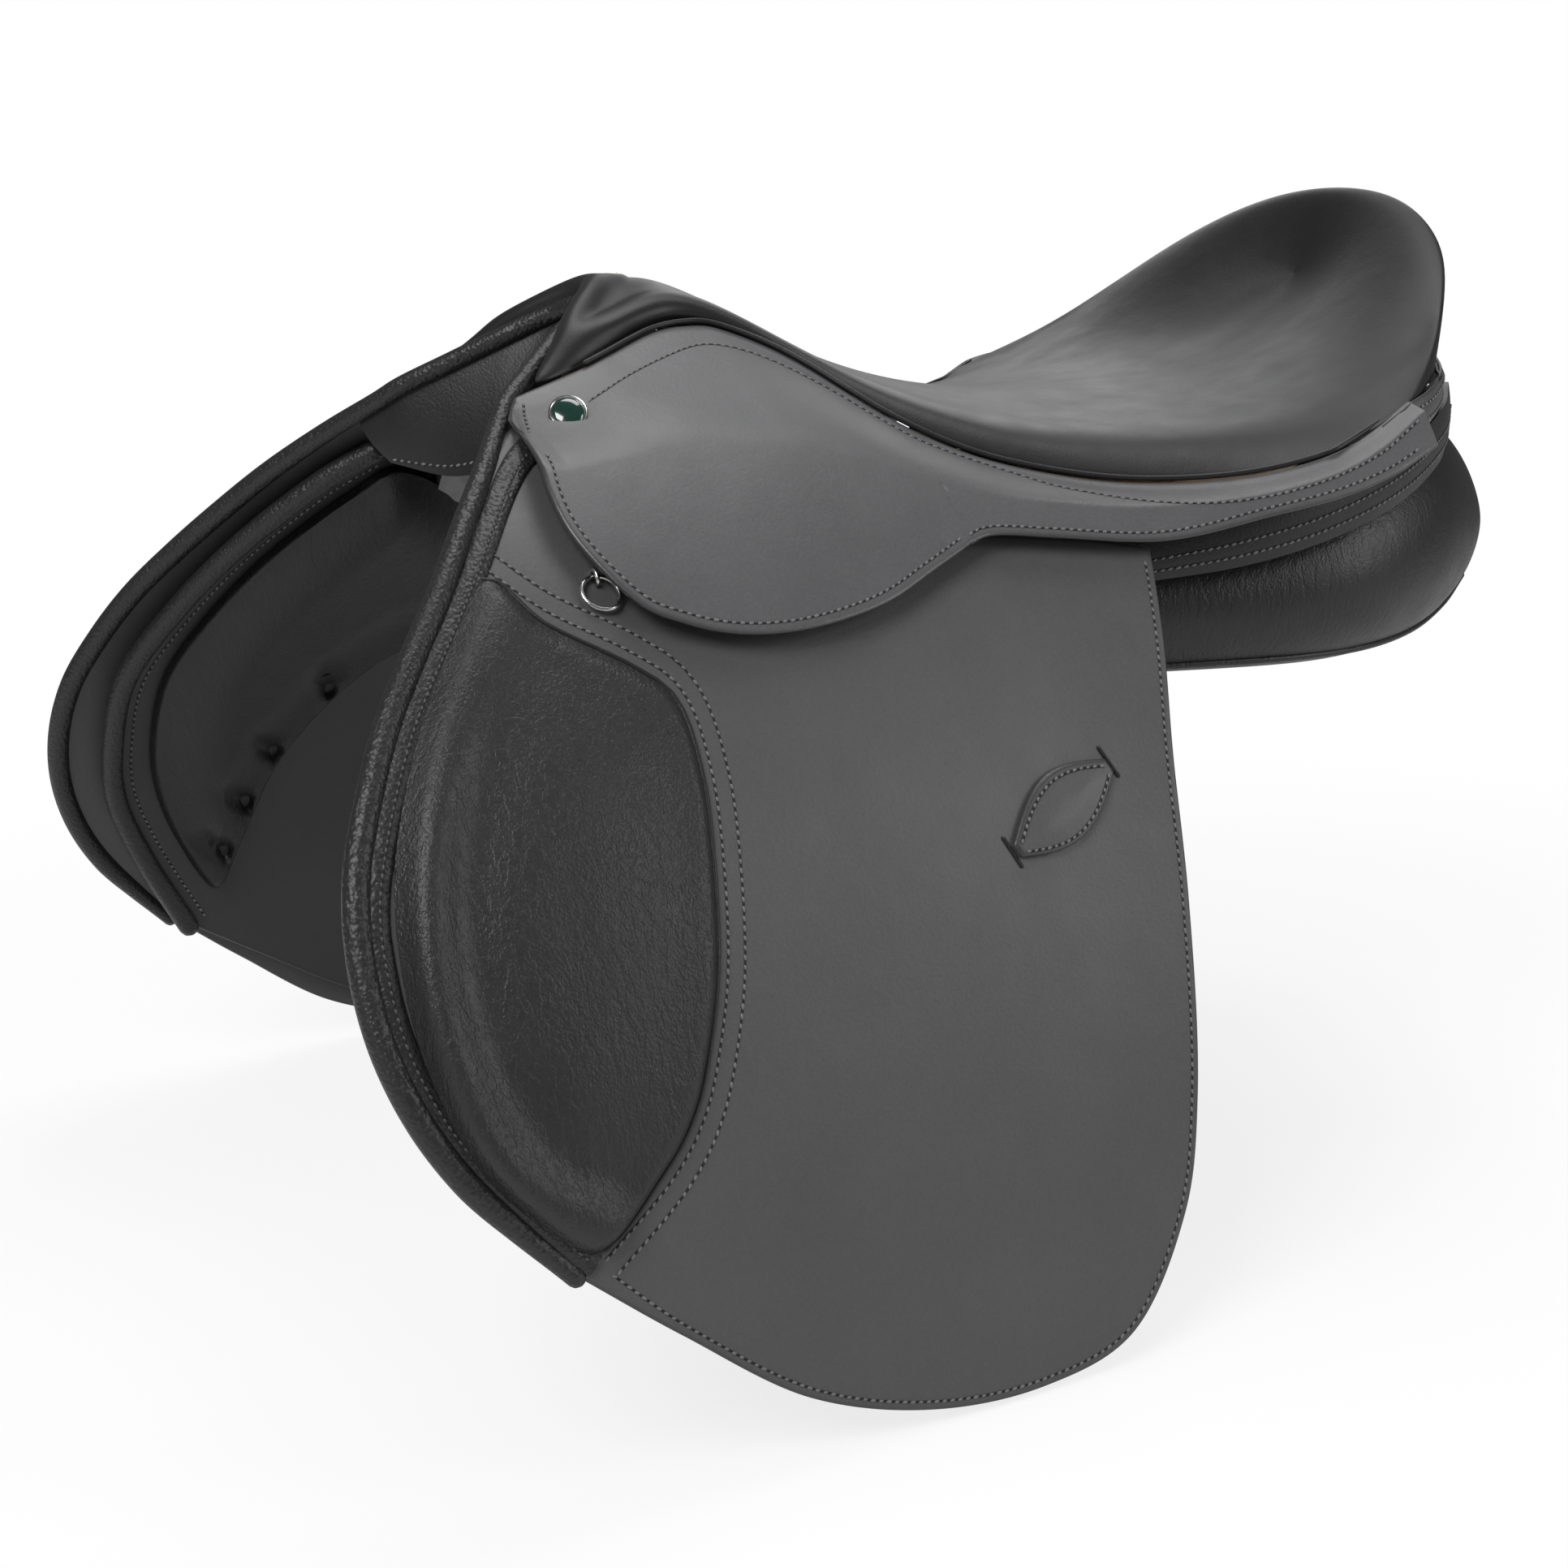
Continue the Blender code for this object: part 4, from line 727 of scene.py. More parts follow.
@dataclass(frozen=True)
class Leather:
    """Dyed leather with grain, clouding, fine creases and worn edges."""

    name: str
    tone: tuple
    roughness: float
    grain: float = 0.0009
    depth: float = 0.00005
    pebbled: float = 0.0
    cloudy: float = 0.16
    crease: float = 0.0
    crease_size: float = 0.006
    crease_stretch: tuple = (1.0, 1.0, 0.28)
    coat: float = 0.0
    worn: float = 0.35
    specular: float = 0.4

    def build(self) -> bpy.types.Material:
        """Make the material.

        Returns:
            The new material.
        """
        graph = Graph(self.name)
        place = graph.coordinates()
        cloud = graph.noise(place, 0.060, 4.0)
        speckle = graph.noise(place, self.grain * 1.6, 3.0, 0.6)
        pebbles = 1.0 - graph.cells(place, self.grain, "SMOOTH_F1") * 1.3
        pores = graph.cells(place, self.grain * 1.7).between(0.02, 0.22)
        height = pebbles * self.pebbled + speckle * (1.0 - self.pebbled) * 0.8 + pores * 0.2
        edge = graph.attribute("edge")
        shade = 1.0 + (cloud - 0.5) * 2.0 * self.cloudy + (speckle - 0.5) * 0.35
        shade = shade * (1.0 - (1.0 - pores) * 0.18) * (1.0 - (1.0 - height) * 0.25 * self.pebbled)
        shade = shade * (1.0 + edge * self.worn)
        graph.feed("Base Color", graph.mix(shade * 0.5, colour(self.tone, 0.0), colour(self.tone, 2.0)))
        smear = graph.noise(place, 0.018, 3.0)
        rough = self.roughness + (smear - 0.5) * 0.16 + (speckle - 0.5) * 0.10 - edge * 0.08
        graph.feed("Roughness", rough)
        normal = None
        if self.crease > 0.0:
            folded = graph.noise(graph.coordinates(self.crease_stretch), self.crease_size, 4.0, 0.62)
            lines = (folded - 0.5).size().between(0.0, 0.09)
            normal = graph.bumped(lines * 0.6 + folded * 0.4, self.crease)
        waves = graph.noise(place, 0.022, 2.0)
        normal = graph.bumped(waves, 0.00030, normal)
        graph.feed("Normal", graph.bumped(height, self.depth, normal))
        graph.fix(specular_ior_level=self.specular, coat_weight=self.coat, coat_roughness=0.28)
        return graph.material


@dataclass(frozen=True)
class Thread:
    """Waxed sewing thread."""

    name: str
    tone: tuple

    def build(self) -> bpy.types.Material:
        """Make the material.

        Returns:
            The new material.
        """
        graph = Graph(self.name)
        place = graph.coordinates()
        fibre = graph.noise(place, 0.0006, 2.0)
        patch = graph.noise(place, 0.03, 2.0)
        shade = (0.7 + fibre * 0.4 + patch * 0.2) * 0.5
        graph.feed("Base Color", graph.mix(shade, colour(self.tone, 0.0), colour(self.tone, 2.0)))
        graph.feed("Roughness", 0.45 + fibre * 0.2)
        graph.feed("Normal", graph.bumped(fibre, 0.00008))
        return graph.material


@dataclass(frozen=True)
class Metal:
    """Steel, polished or forged."""

    name: str
    tone: tuple
    roughness: float
    scale: float
    depth: float
    brushed: tuple = (1.0, 1.0, 1.0)

    def build(self) -> bpy.types.Material:
        """Make the material.

        Returns:
            The new material.
        """
        graph = Graph(self.name)
        place = graph.coordinates(self.brushed)
        marks = graph.noise(place, self.scale, 4.0, 0.6)
        tarnish = graph.noise(graph.coordinates(), 0.009, 3.0).between(0.45, 0.80)
        graph.feed("Base Color", graph.mix(tarnish * 0.6, colour(self.tone), colour(self.tone, 0.55)))
        graph.feed("Roughness", self.roughness + (marks - 0.5) * 0.22 + tarnish * 0.10)
        graph.feed("Normal", graph.bumped(marks, self.depth))
        graph.fix(metallic=1.0)
        return graph.material


@dataclass(frozen=True)
class Enamel:
    """Glassy enamel over metal."""

    name: str
    tone: tuple

    def build(self) -> bpy.types.Material:
        """Make the material.

        Returns:
            The new material.
        """
        graph = Graph(self.name)
        place = graph.coordinates()
        swirl = graph.noise(place, 0.004, 3.0)
        graph.feed("Base Color", graph.mix(swirl, colour(self.tone, 0.45), colour(self.tone)))
        graph.feed("Roughness", 0.12 + swirl * 0.08)
        graph.feed("Normal", graph.bumped(swirl, 0.00003))
        graph.fix(coat_weight=0.8, coat_roughness=0.04)
        return graph.material


@dataclass(frozen=True)
class Beech:
    """Laminated beech with plies and grain."""

    name: str
    dark: tuple = (0.30, 0.17, 0.085)
    pale: tuple = (0.56, 0.38, 0.22)

    def build(self) -> bpy.types.Material:
        """Make the material.

        Returns:
            The new material.
        """
        graph = Graph(self.name)
        grain = graph.noise(graph.coordinates((0.12, 1.0, 1.0)), 0.0035, 5.0, 0.65)
        plies = graph.noise(graph.coordinates((0.05, 0.05, 1.0)), 0.0016, 1.0)
        shade = grain * 0.7 + plies * 0.3
        graph.feed("Base Color", graph.mix(shade.between(0.30, 0.70), colour(self.dark), colour(self.pale)))
        graph.feed("Roughness", 0.5 + grain * 0.2)
        graph.feed("Normal", graph.bumped(shade, 0.00012))
        return graph.material


@dataclass(frozen=True)
class Weave:
    """Woven webbing, or open foam where the weave is off."""

    name: str
    tone: tuple
    pitch: float
    woven: bool = True

    def build(self) -> bpy.types.Material:
        """Make the material.

        Returns:
            The new material.
        """
        graph = Graph(self.name)
        place = graph.coordinates()
        fuzz = graph.noise(place, self.pitch, 4.0, 0.6)
        if self.woven:
            waves = []
            for axis in ("X", "Z"):
                settings = {"wave_type": "BANDS", "bands_direction": axis}
                inputs = {"Vector": place, "Scale": 0.5 / self.pitch, "Distortion": 0.4}
                wave = graph.node("ShaderNodeTexWave", settings, inputs)
                waves.append(Field(graph, wave.outputs["Fac"]))
            height = waves[0] * waves[1] * 0.8 + fuzz * 0.2
        else:
            height = graph.cells(place, self.pitch) * 0.7 + fuzz * 0.3
        graph.feed("Base Color", graph.mix(height, colour(self.tone, 0.5), colour(self.tone)))
        graph.feed("Roughness", 0.8 + fuzz * 0.15)
        graph.feed("Normal", graph.bumped(height, 0.00030))
        return graph.material


@dataclass
class Finishes:
    """Every material of the saddle, made once."""

    made: dict = field(default_factory=dict)

    def build(self) -> None:
        """Make all materials."""
        recipes = {
            "smooth": Leather("flap leather", (0.062, 0.062, 0.064), 0.48, depth=0.00014, worn=-0.55),
            "skirt": Leather("skirt leather finish", (0.074, 0.074, 0.077), 0.40, depth=0.00011, worn=-0.55),
            "seat": Leather(
                "seat leather finish", (0.014, 0.014, 0.015), 0.40, grain=0.0007, depth=0.00007,
                pebbled=0.4, worn=0.0, specular=0.24,
            ),
            "pad": Leather(
                "knee pad leather", (0.016, 0.016, 0.017), 0.46, depth=0.00020, pebbled=0.6, crease=0.00022
            ),
            "roll": Leather("roll leather", (0.014, 0.014, 0.015), 0.44, 0.0014, depth=0.00036, pebbled=1.0),
            "panel": Leather(
                "panel leather", (0.006, 0.006, 0.0065), 0.44, 0.0010, depth=0.00014,
                pebbled=0.6, crease=0.00012,
            ),
            # Sweat flap leather: its own dark tone, lowered further to paint the shade it hangs in under the
            # flap
            "sweat": Leather("sweat flap leather with painted shade", (0.026, 0.026, 0.027), 0.50, depth=0.00010, worn=-0.4),
            "facing": Leather("facing leather", (0.008, 0.008, 0.009), 0.46, 0.0010, 0.00014, 0.6),
            "strap": Leather("strap leather", (0.040, 0.035, 0.032), 0.50),
            # Near-black leather for the tube under the stitches: painted shade of the stitch groove
            "groove_shade": Leather("painted stitch channel shade", (0.003, 0.003, 0.003), 0.70, 0.0008, 0.00003),
            "thread": Thread("sewing thread", (0.120, 0.120, 0.124)),
            "dark_thread": Thread("dark sewing thread", (0.045, 0.045, 0.046)),
            "bright": Metal("polished steel", (0.50, 0.50, 0.49), 0.24, 0.0010, 0.00002),
            "forged": Metal("forged steel finish", (0.20, 0.20, 0.205), 0.48, 0.0030, 0.00020),
            "enamel": Enamel("enamel", (0.004, 0.038, 0.026)),
            "beech": Beech("beech plies"),
            "foam": Weave("open foam", (0.78, 0.72, 0.56), 0.0012, woven=False),
            "web": Weave("linen webbing", (0.58, 0.54, 0.44), 0.0013),
        }
        for key, recipe in recipes.items():
            self.made[key] = recipe.build()

    def __getitem__(self, key: str) -> bpy.types.Material:
        """Material under a key."""
        return self.made[key]


class StitchTree:
    """Geometry nodes that lay stitches along lines."""

    LEAST = 0.88
    MOST = 1.10

    def __init__(self) -> None:
        """Start the node group and fill it."""
        self.tree = bpy.data.node_groups.new("stitch rows", "GeometryNodeTree")
        self.keys: dict = {}
        self.build()

    def socket(self, name: str, kind: str, value: float | None = None) -> None:
        """Declare one input and remember its identifier.

        Args:
            name: Name of the input.
            kind: Type of its socket.
            value: Its value at the start.
        """
        item = self.tree.interface.new_socket(name, in_out="INPUT", socket_type=kind)
        if value is not None:
            item.default_value = value
        self.keys[name] = item.identifier

    def node(self, kind: str, settings: dict | None = None, inputs: dict | None = None) -> bpy.types.Node:
        """Add a node to the group."""
        return add_node(self.tree, kind, settings, inputs)

    def build(self) -> None:
        """Make the node group: resample, aim, instance, realize, paint."""
        self.tree.interface.new_socket("Geometry", in_out="OUTPUT", socket_type="NodeSocketGeometry")
        self.socket("Geometry", "NodeSocketGeometry")
        self.socket("Pitch", "NodeSocketFloat", 0.0032)
        self.socket("Length", "NodeSocketFloat", 0.0023)
        self.socket("Radius", "NodeSocketFloat", 0.0004)
        self.socket("Slant", "NodeSocketFloat", 0.16)
        self.socket("Seed", "NodeSocketInt", 7)
        self.socket("Material", "NodeSocketMaterial")
        given = self.node("NodeGroupInput").outputs
        curve = self.node("GeometryNodeMeshToCurve", None, {"Mesh": given["Geometry"]})
        steps = self.node(
            "GeometryNodeResampleCurve",
            {"mode": "LENGTH"},
            {"Curve": curve.outputs[0], "Length": given["Pitch"]},
        )
        half = self.node("ShaderNodeMath", {"operation": "MULTIPLY"}, {0: given["Length"], 1: 0.5})
        sizes = {"X": half.outputs[0], "Y": given["Radius"], "Z": given["Radius"]}
        scale = self.node("ShaderNodeCombineXYZ", None, sizes)
        turn = self.node("ShaderNodeCombineXYZ", None, {"Z": given["Slant"]})
        ball = self.node("GeometryNodeMeshUVSphere", None, {"Segments": 6, "Rings": 5, "Radius": 1.0})
        lying = (0.0, math.pi / 2, 0.0)
        stitch = ball.outputs["Mesh"]
        for key, value in (("Rotation", lying), ("Scale", scale.outputs[0]), ("Rotation", turn.outputs[0])):
            stitch = self.node("GeometryNodeTransform", None, {"Geometry": stitch, key: value}).outputs[0]
        way = self.node("GeometryNodeInputNamedAttribute", {"data_type": "FLOAT_VECTOR"}, {"Name": "way"})
        tangent = self.node("GeometryNodeInputTangent")
        aim = self.node(
            "FunctionNodeAxesToRotation",
            {"primary_axis": "X", "secondary_axis": "Z"},
            {"Primary Axis": tangent.outputs[0], "Secondary Axis": way.outputs[0]},
        )
        chance = self.node("FunctionNodeRandomValue", {"data_type": "FLOAT"}, {"Seed": given["Seed"]})
        chance.inputs[2].default_value, chance.inputs[3].default_value = self.LEAST, self.MOST
        laid = self.node(
            "GeometryNodeInstanceOnPoints",
            None,
            {
                "Points": steps.outputs[0],
                "Instance": stitch,
                "Rotation": aim.outputs[0],
                "Scale": chance.outputs[1],
            },
        )
        real = self.node("GeometryNodeRealizeInstances", None, {"Geometry": laid.outputs[0]})
        smooth = self.node("GeometryNodeSetShadeSmooth", None, {"Geometry": real.outputs[0]})
        paint = {"Geometry": smooth.outputs[0], "Material": given["Material"]}
        painted = self.node("GeometryNodeSetMaterial", None, paint)
        self.node("NodeGroupOutput", None, {0: painted.outputs[0]})


@dataclass
class StitchRows:
    """Rows of stitches that become one piece."""

    name: str
    tree: StitchTree
    finish: bpy.types.Material
    # near-black material of the painted groove shade under the stitches
    groove_shade: bpy.types.Material
    pitch: float = 0.0033
    length: float = 0.0023
    radius: float = 0.00060
    lines: list = field(default_factory=list)

    def add(self, points: Array, ways: Array) -> None:
        """Add one row along points, with the outward direction at each."""
        self.lines.append((np.asarray(points, float), np.asarray(ways, float)))

    def on_flank(self, line: Array, layer: Callable[[Array, Array], Array]) -> None:
        """Add one row that follows a plan line on the flank."""
        x, z = np.asarray(line, float).T
        self.add(FLANK.place(x, z, layer(x, z)), FLANK.normal(x, z))

    def build(self, side: Side) -> bpy.types.Object:
        """Lay the stitches and return them as a plain mesh.

        Args:
            side: Side to build.

        Returns:
            The new piece.
        """
        points, ways, edges = [], [], []
        flip = np.array([1.0, side.value, 1.0])
        for line, way in self.lines:
            start = len(points)
            points += (line * flip).tolist()
            ways += (way * flip).tolist()
            edges += [(index, index + 1) for index in range(start, len(points) - 1)]
        mesh = bpy.data.meshes.new(self.name)
        mesh.from_pydata(points, edges, [])
        attribute = mesh.attributes.new("way", "FLOAT_VECTOR", "POINT")
        attribute.data.foreach_set("vector", np.array(ways, np.float32).reshape(-1))
        guide = bpy.data.objects.new(self.name + "_guide", mesh)
        bpy.context.scene.collection.objects.link(guide)
        modifier = guide.modifiers.new("stitches", "NODES")
        modifier.node_group = self.tree.tree
        values = {"Pitch": self.pitch, "Length": self.length, "Radius": self.radius, "Material": self.finish}
        for name, value in values.items():
            modifier[self.tree.keys[name]] = value
        guide.update_tag()
        bpy.context.view_layer.update()
        result = plain_mesh(guide)
        result.name = self.name
        guide.modifiers.remove(modifier)
        bpy.data.objects.remove(guide, do_unlink=True)
        piece = bpy.data.objects.new(self.name, result)
        bpy.context.scene.collection.objects.link(piece)
        self.add_groove_shade(piece, side)
        return piece

    def add_groove_shade(self, piece: bpy.types.Object, side: Side) -> None:
        """Add a near-black tube under the stitches, painted shade of the groove that they lie in.

        Args:
            piece: Stitches without their painted groove shade.
            side: Side to build.
        """
        mesh = piece.data
        mesh.materials.append(self.groove_shade)
        work = bmesh.new()
        work.from_mesh(mesh)
        for line, way in self.lines:
            # Tube sunk half into the leather along each row, painted shade of the stitch groove
            steps = np.linspace(0, len(line) - 1, max(2, len(line) // 2)).astype(int)
            path = line[steps] - way[steps] * self.radius * 0.45
            shell = tube(path, self.radius * 0.95, 8).mirrored(side)
            verts = [work.verts.new(point) for point in shell.points.tolist()]
            for face in shell.faces:
                made = work.faces.new([verts[index] for index in face])
                made.material_index = len(mesh.materials) - 1
                made.smooth = True
        work.to_mesh(mesh)
        work.free()


@dataclass
class Kit:
    """What every part of the saddle needs while it is built."""

    finishes: Finishes
    stitches: StitchTree

    def rows(self, name: str, thread: str = "thread", **sizes: float) -> StitchRows:
        """Start a piece of stitching."""
        return StitchRows(name, self.stitches, self.finishes[thread], self.finishes["groove_shade"], **sizes)

    def piece(self, name: str, shell: Shell, finish: str, slot: Slot, node: str) -> bpy.types.Object:
        """Make a piece of the saddle's own body.

        Args:
            name: Name of the piece.
            shell: Its form.
            finish: Key of its finish.
            slot: Not used.
            node: Node of the frame that it replaces.

        Returns:
            The new piece.
        """
        return fit(make_piece(name, shell, self.finishes[finish]), "saddle", node)

    def on_side(
        self, side: Side, name: str, shell: Shell, finish: str, slot: Slot, body: str, node: str = ""
    ) -> bpy.types.Object:
        """Make one side's copy of a piece that is drawn for the left side.

        Args:
            side: Side that it is for.
            name: Name of the piece, without the side.
            shell: Its form on the left side.
            finish: Key of its finish.
            slot: Not used.
            body: Body that it rides on, without the side.
            node: Node of the frame that it replaces, without the side, or nothing.

        Returns:
            The new piece.
        """
        piece = make_piece(side.named(name), shell.mirrored(side), self.finishes[finish])
        return fit(piece, side.body(body), side.named(node) if node else "")


def hinge_axis() -> tuple:
    """Front point of the lifting line and its direction on the left side.

    Returns:
        A point and a direction.
    """
    front = FLANK.place(HINGE_FRONT[0], HINGE_FRONT[1], HINGE_LAYER)
    rear = FLANK.place(HINGE_REAR[0], HINGE_REAR[1], HINGE_LAYER)
    return front, unit(front - rear)


def hinge_height(x: Array) -> Array:
    """Height of the lifting line at a lengthwise place."""
    slope = (HINGE_FRONT[1] - HINGE_REAR[1]) / (HINGE_FRONT[0] - HINGE_REAR[0])
    return HINGE_REAR[1] + slope * (np.asarray(x, float) - HINGE_REAR[0])


def bend_over_hinge(piece: bpy.types.Object, side: Side, bodies: tuple, above: float, below: float) -> None:
    """Bake a piece's placement into its mesh; the ends of a bend along the lifting line between two bodies
    are worked out, but no bend is set up.

    Args:
        piece: Mesh piece without a parent.
        side: Side that it lies on.
        bodies: The body that it follows above, then the one below.
        above: Distance above the line at which the bend starts; negative lies below it.
        below: Distance below the line at which the bend ends.
    """
    front, axis = hinge_axis()
    x = (HINGE_FRONT[0] + HINGE_REAR[0]) / 2
    z = float(hinge_height(x))
    middle = FLANK.place(x, z, SKIRT_LOW_LAYER)
    lower = FLANK.place(x, z - 0.01, SKIRT_LOW_LAYER)
    down = lower - middle
    down = unit(down - axis * (down @ axis))
    on_line = front + axis * ((middle - front) @ axis)
    anchor = middle - axis * ((middle - on_line) @ axis)
    flip = np.array([1.0, side.value, 1.0])
    start = (anchor - down * above) * flip
    end = (anchor + down * below) * flip
    upper, lower_body = (side.body(body) for body in bodies)
    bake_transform(piece)


@dataclass
class Seat:
    """Seat leather over its foam, shaped by an edge, a rim and a middle line.

    Edge and rim run from the pommel along the left side to the cantle.
    """

    kit: Kit
    edge: tuple = (
        (0.1210, 0.0000, 0.1370), (0.1290, 0.0130, 0.1325), (0.1520, 0.0310, 0.1235),
        (0.1690, 0.0500, 0.1150), (0.1400, 0.0425, 0.1208), (0.1130, 0.0305, 0.1290),
        (0.0900, 0.0275, 0.1315), (0.0600, 0.0475, 0.1185), (0.0180, 0.0885, 0.0890),
        (-0.0300, 0.1175, 0.0735), (-0.0850, 0.1430, 0.0700), (-0.1300, 0.1560, 0.0785),
        (-0.1700, 0.1585, 0.0945), (-0.2090, 0.1365, 0.1040), (-0.2390, 0.0980, 0.1110),
        (-0.2560, 0.0500, 0.1150), (-0.2610, 0.0000, 0.1160),
    )
    rim: tuple = (
        (0.1180, 0.0000, 0.1490), (0.1235, 0.0080, 0.1468), (0.1340, 0.0180, 0.1405),
        (0.1440, 0.0320, 0.1300), (0.1220, 0.0275, 0.1350), (0.1080, 0.0220, 0.1405),
        (0.0900, 0.0190, 0.1420), (0.0600, 0.0320, 0.1265), (0.0180, 0.0640, 0.1025),
        (-0.0320, 0.0890, 0.0880), (-0.0950, 0.1070, 0.0865), (-0.1500, 0.1150, 0.0935),
        (-0.1950, 0.1130, 0.1115), (-0.2270, 0.0990, 0.1385), (-0.2510, 0.0760, 0.1620),
        (-0.2660, 0.0400, 0.1780), (-0.2710, 0.0000, 0.1820),
    )
    middle_x: tuple = (
        0.110, 0.107, 0.104, 0.101, 0.099, 0.096, 0.086, 0.060, 0.018, -0.030, -0.085, -0.130,
        -0.168, -0.200, -0.224, -0.238, -0.244,
    )
    middle: tuple = (
        (-0.260, 0.1560), (-0.240, 0.1370), (-0.200, 0.1110), (-0.168, 0.1010), (-0.130, 0.0960),
        (-0.085, 0.0952), (-0.030, 0.0998), (0.018, 0.1120), (0.060, 0.1310), (0.094, 0.1440),
        (0.118, 0.1490),
    )
    side_share: float = 0.35
    tuck: float = 0.0075
    side_tuck: float = 0.0040
    pressure: float = 0.00008
    rounds: int = 60
    foam_depth: float = 0.009

    def points(self, arounds: Array, inwards: Array) -> Array:
        """Points of the near half: rows run from pommel to cantle, columns from edge to middle.

        Args:
            arounds: Shares of the way from pommel to cantle.
            inwards: Shares of the way from edge to middle.

        Returns:
            Rows by columns by 3.
        """
        edge = table_at(self.edge, arounds)[:, None, :]
        rim = table_at(self.rim, arounds)[:, None, :]
        middle_x = table_at(np.array(self.middle_x)[:, None], arounds)[:, 0]
        line = table_at(self.middle, np.linspace(0.0, 1.0, 241))
        middle_z = np.interp(middle_x, line[:, 0], line[:, 1])
        middle = np.stack([middle_x, np.zeros_like(middle_x), middle_z], axis=1)[:, None, :]
        outward = rim - middle
        width = np.linalg.norm(outward, axis=-1, keepdims=True)
        reach = np.minimum(0.55 * np.linalg.norm(edge - rim, axis=-1, keepdims=True), 0.16 * width + 0.0045)
        shoulder = rim + outward * reach / width
        shoulder[..., 2] = rim[..., 2]
        share = np.clip(inwards / self.side_share, 0.0, 1.0)[None, :, None]
        lower = (1 - share) ** 2 * edge + 2 * share * (1 - share) * shoulder + share**2 * rim
        share = np.clip((inwards - self.side_share) / (1.0 - self.side_share), 0.0, 1.0)[None, :, None]
        upper = rim + (middle - rim) * share
        upper[..., 2] = rim[..., 2] + (middle[..., 2] - rim[..., 2]) * ease(0.0, 1.0, share[..., 0])
        result = np.where((inwards < self.side_share)[None, :, None], lower, upper)
        result[[0, -1], :, 1] = 0.0
        result[:, -1, 1] = 0.0
        return result

    def both(self, grid: Array) -> Array:
        """Grid of both halves, from the near edge over the middle to the far edge."""
        far = grid[:, -2::-1] * MIRROR
        return np.concatenate([grid, far], axis=1)

    def relax(self, grid: Array, rounds: int) -> Array:
        """Even out the top of the seat, across its middle line too.

        Args:
            grid: Points, rows by columns by 3.
            rounds: Number of smoothing rounds.

        Returns:
            The evened grid.
        """
        count = grid.shape[1]
        middle = count // 2
        inward = 1.0 - np.abs(np.arange(count) - middle) / middle
        front = ease(48.0, 36.0, np.arange(len(grid)))[:, None]
        free = front * ease(0.0, 0.15, inward)[None, :]
        free = free + (1.0 - front) * ease(self.side_share * 0.55, self.side_share * 1.25, inward)[None, :]
        free = free[..., None]
        result = grid.copy()
        padded = (front * ease(0.0, 0.20, inward)[None, :])[..., None]
        for _ in range(rounds):
            ways = unit(np.cross(np.gradient(result, axis=0), np.gradient(result, axis=1)))
            ways[[0, -1]] = 0.0
            result = result + self.pressure * padded * ways
            wide = np.concatenate([result[1:2, ::-1], result, result[-2:-1, ::-1]], axis=0)
            mean = (wide[:-2] + wide[2:]) / 2
            mean[:, 1:-1] = 0.5 * mean[:, 1:-1] + 0.25 * (result[:, :-2] + result[:, 2:])
            result = result + free * 0.5 * (mean - result)
        return result

    def skin(self) -> tuple:
        """Evened outer skin of the seat with its outward directions, rows by columns.

        Returns:
            Points and directions, each rows by columns by 3.
        """
        arounds = np.linspace(0.0, 1.0, 100)
        side = np.linspace(0.0, self.side_share, 16, endpoint=False)
        inwards = np.concatenate([side, np.linspace(self.side_share, 1.0, 30)])
        near = self.points(arounds, inwards)
        shrink = ease(0.45, 1.0, arounds)[:, None] * (1.0 - ease(0.0, 0.30, inwards))[None, :]
        near[..., 0] += self.tuck * shrink * ease(-0.12, -0.24, near[..., 0])
        near[..., 1] -= self.side_tuck * shrink * ease(0.06, 0.12, near[..., 1])
        near[[0, -1], :, 1] = 0.0
        grid = self.relax(self.both(near), self.rounds)
        middle = grid.shape[1] // 2
        for end in (0, -1):
            half = grid[end, : middle + 1].copy()
            half[:, 1] = 0.0
            grid[end, : middle + 1] = half
            grid[end, middle:] = half[::-1]
        ways = np.cross(np.gradient(grid, axis=0), np.gradient(grid, axis=1))
        ways[[0, -1], :, 1] = 0.0
        return grid, unit(ways)

    def build(self) -> None:
        """Make the cover and the foam under it."""
        skin, ways = self.skin()
        edge = np.zeros(skin.shape[:2])
        shell = closed_grid(skin, skin - ways * SEAT_LEATHER, edge, ends_meet=True)
        cover = make_piece("seat_leather_cover", shell, self.kit.finishes["seat"], SEAT_SHARP)
        self.round_off(cover)
        fit(cover, "saddle", "seat_cover")
        top = skin - ways * (SEAT_LEATHER + 0.0006)
        middle = skin.shape[1] // 2
        inward = 1.0 - np.abs(np.arange(skin.shape[1]) - middle) / middle
        depth = 0.0008 + self.foam_depth * ease(0.05, 0.5, inward)[None, :]
        top = top[:, 7:-7]
        low = top - np.stack([0 * depth, 0 * depth, depth], axis=-1)[:, 7:-7]
        shell = closed_grid(top, low, edge[:, 7:-7], ends_meet=True)
        foam = self.kit.piece("seat_foam_core", shell, "foam", Slot.FOAM, "seat_foam")

    def round_off(self, piece: bpy.types.Object) -> None:
        """Divide a piece once so that its curves are even.

        Args:
            piece: Piece to divide.
        """
        modifier = piece.modifiers.new("finer", "SUBSURF")
        modifier.levels = 1
        bpy.context.view_layer.update()
        solid = plain_mesh(piece)
        piece.modifiers.remove(modifier)
        piece.data = solid


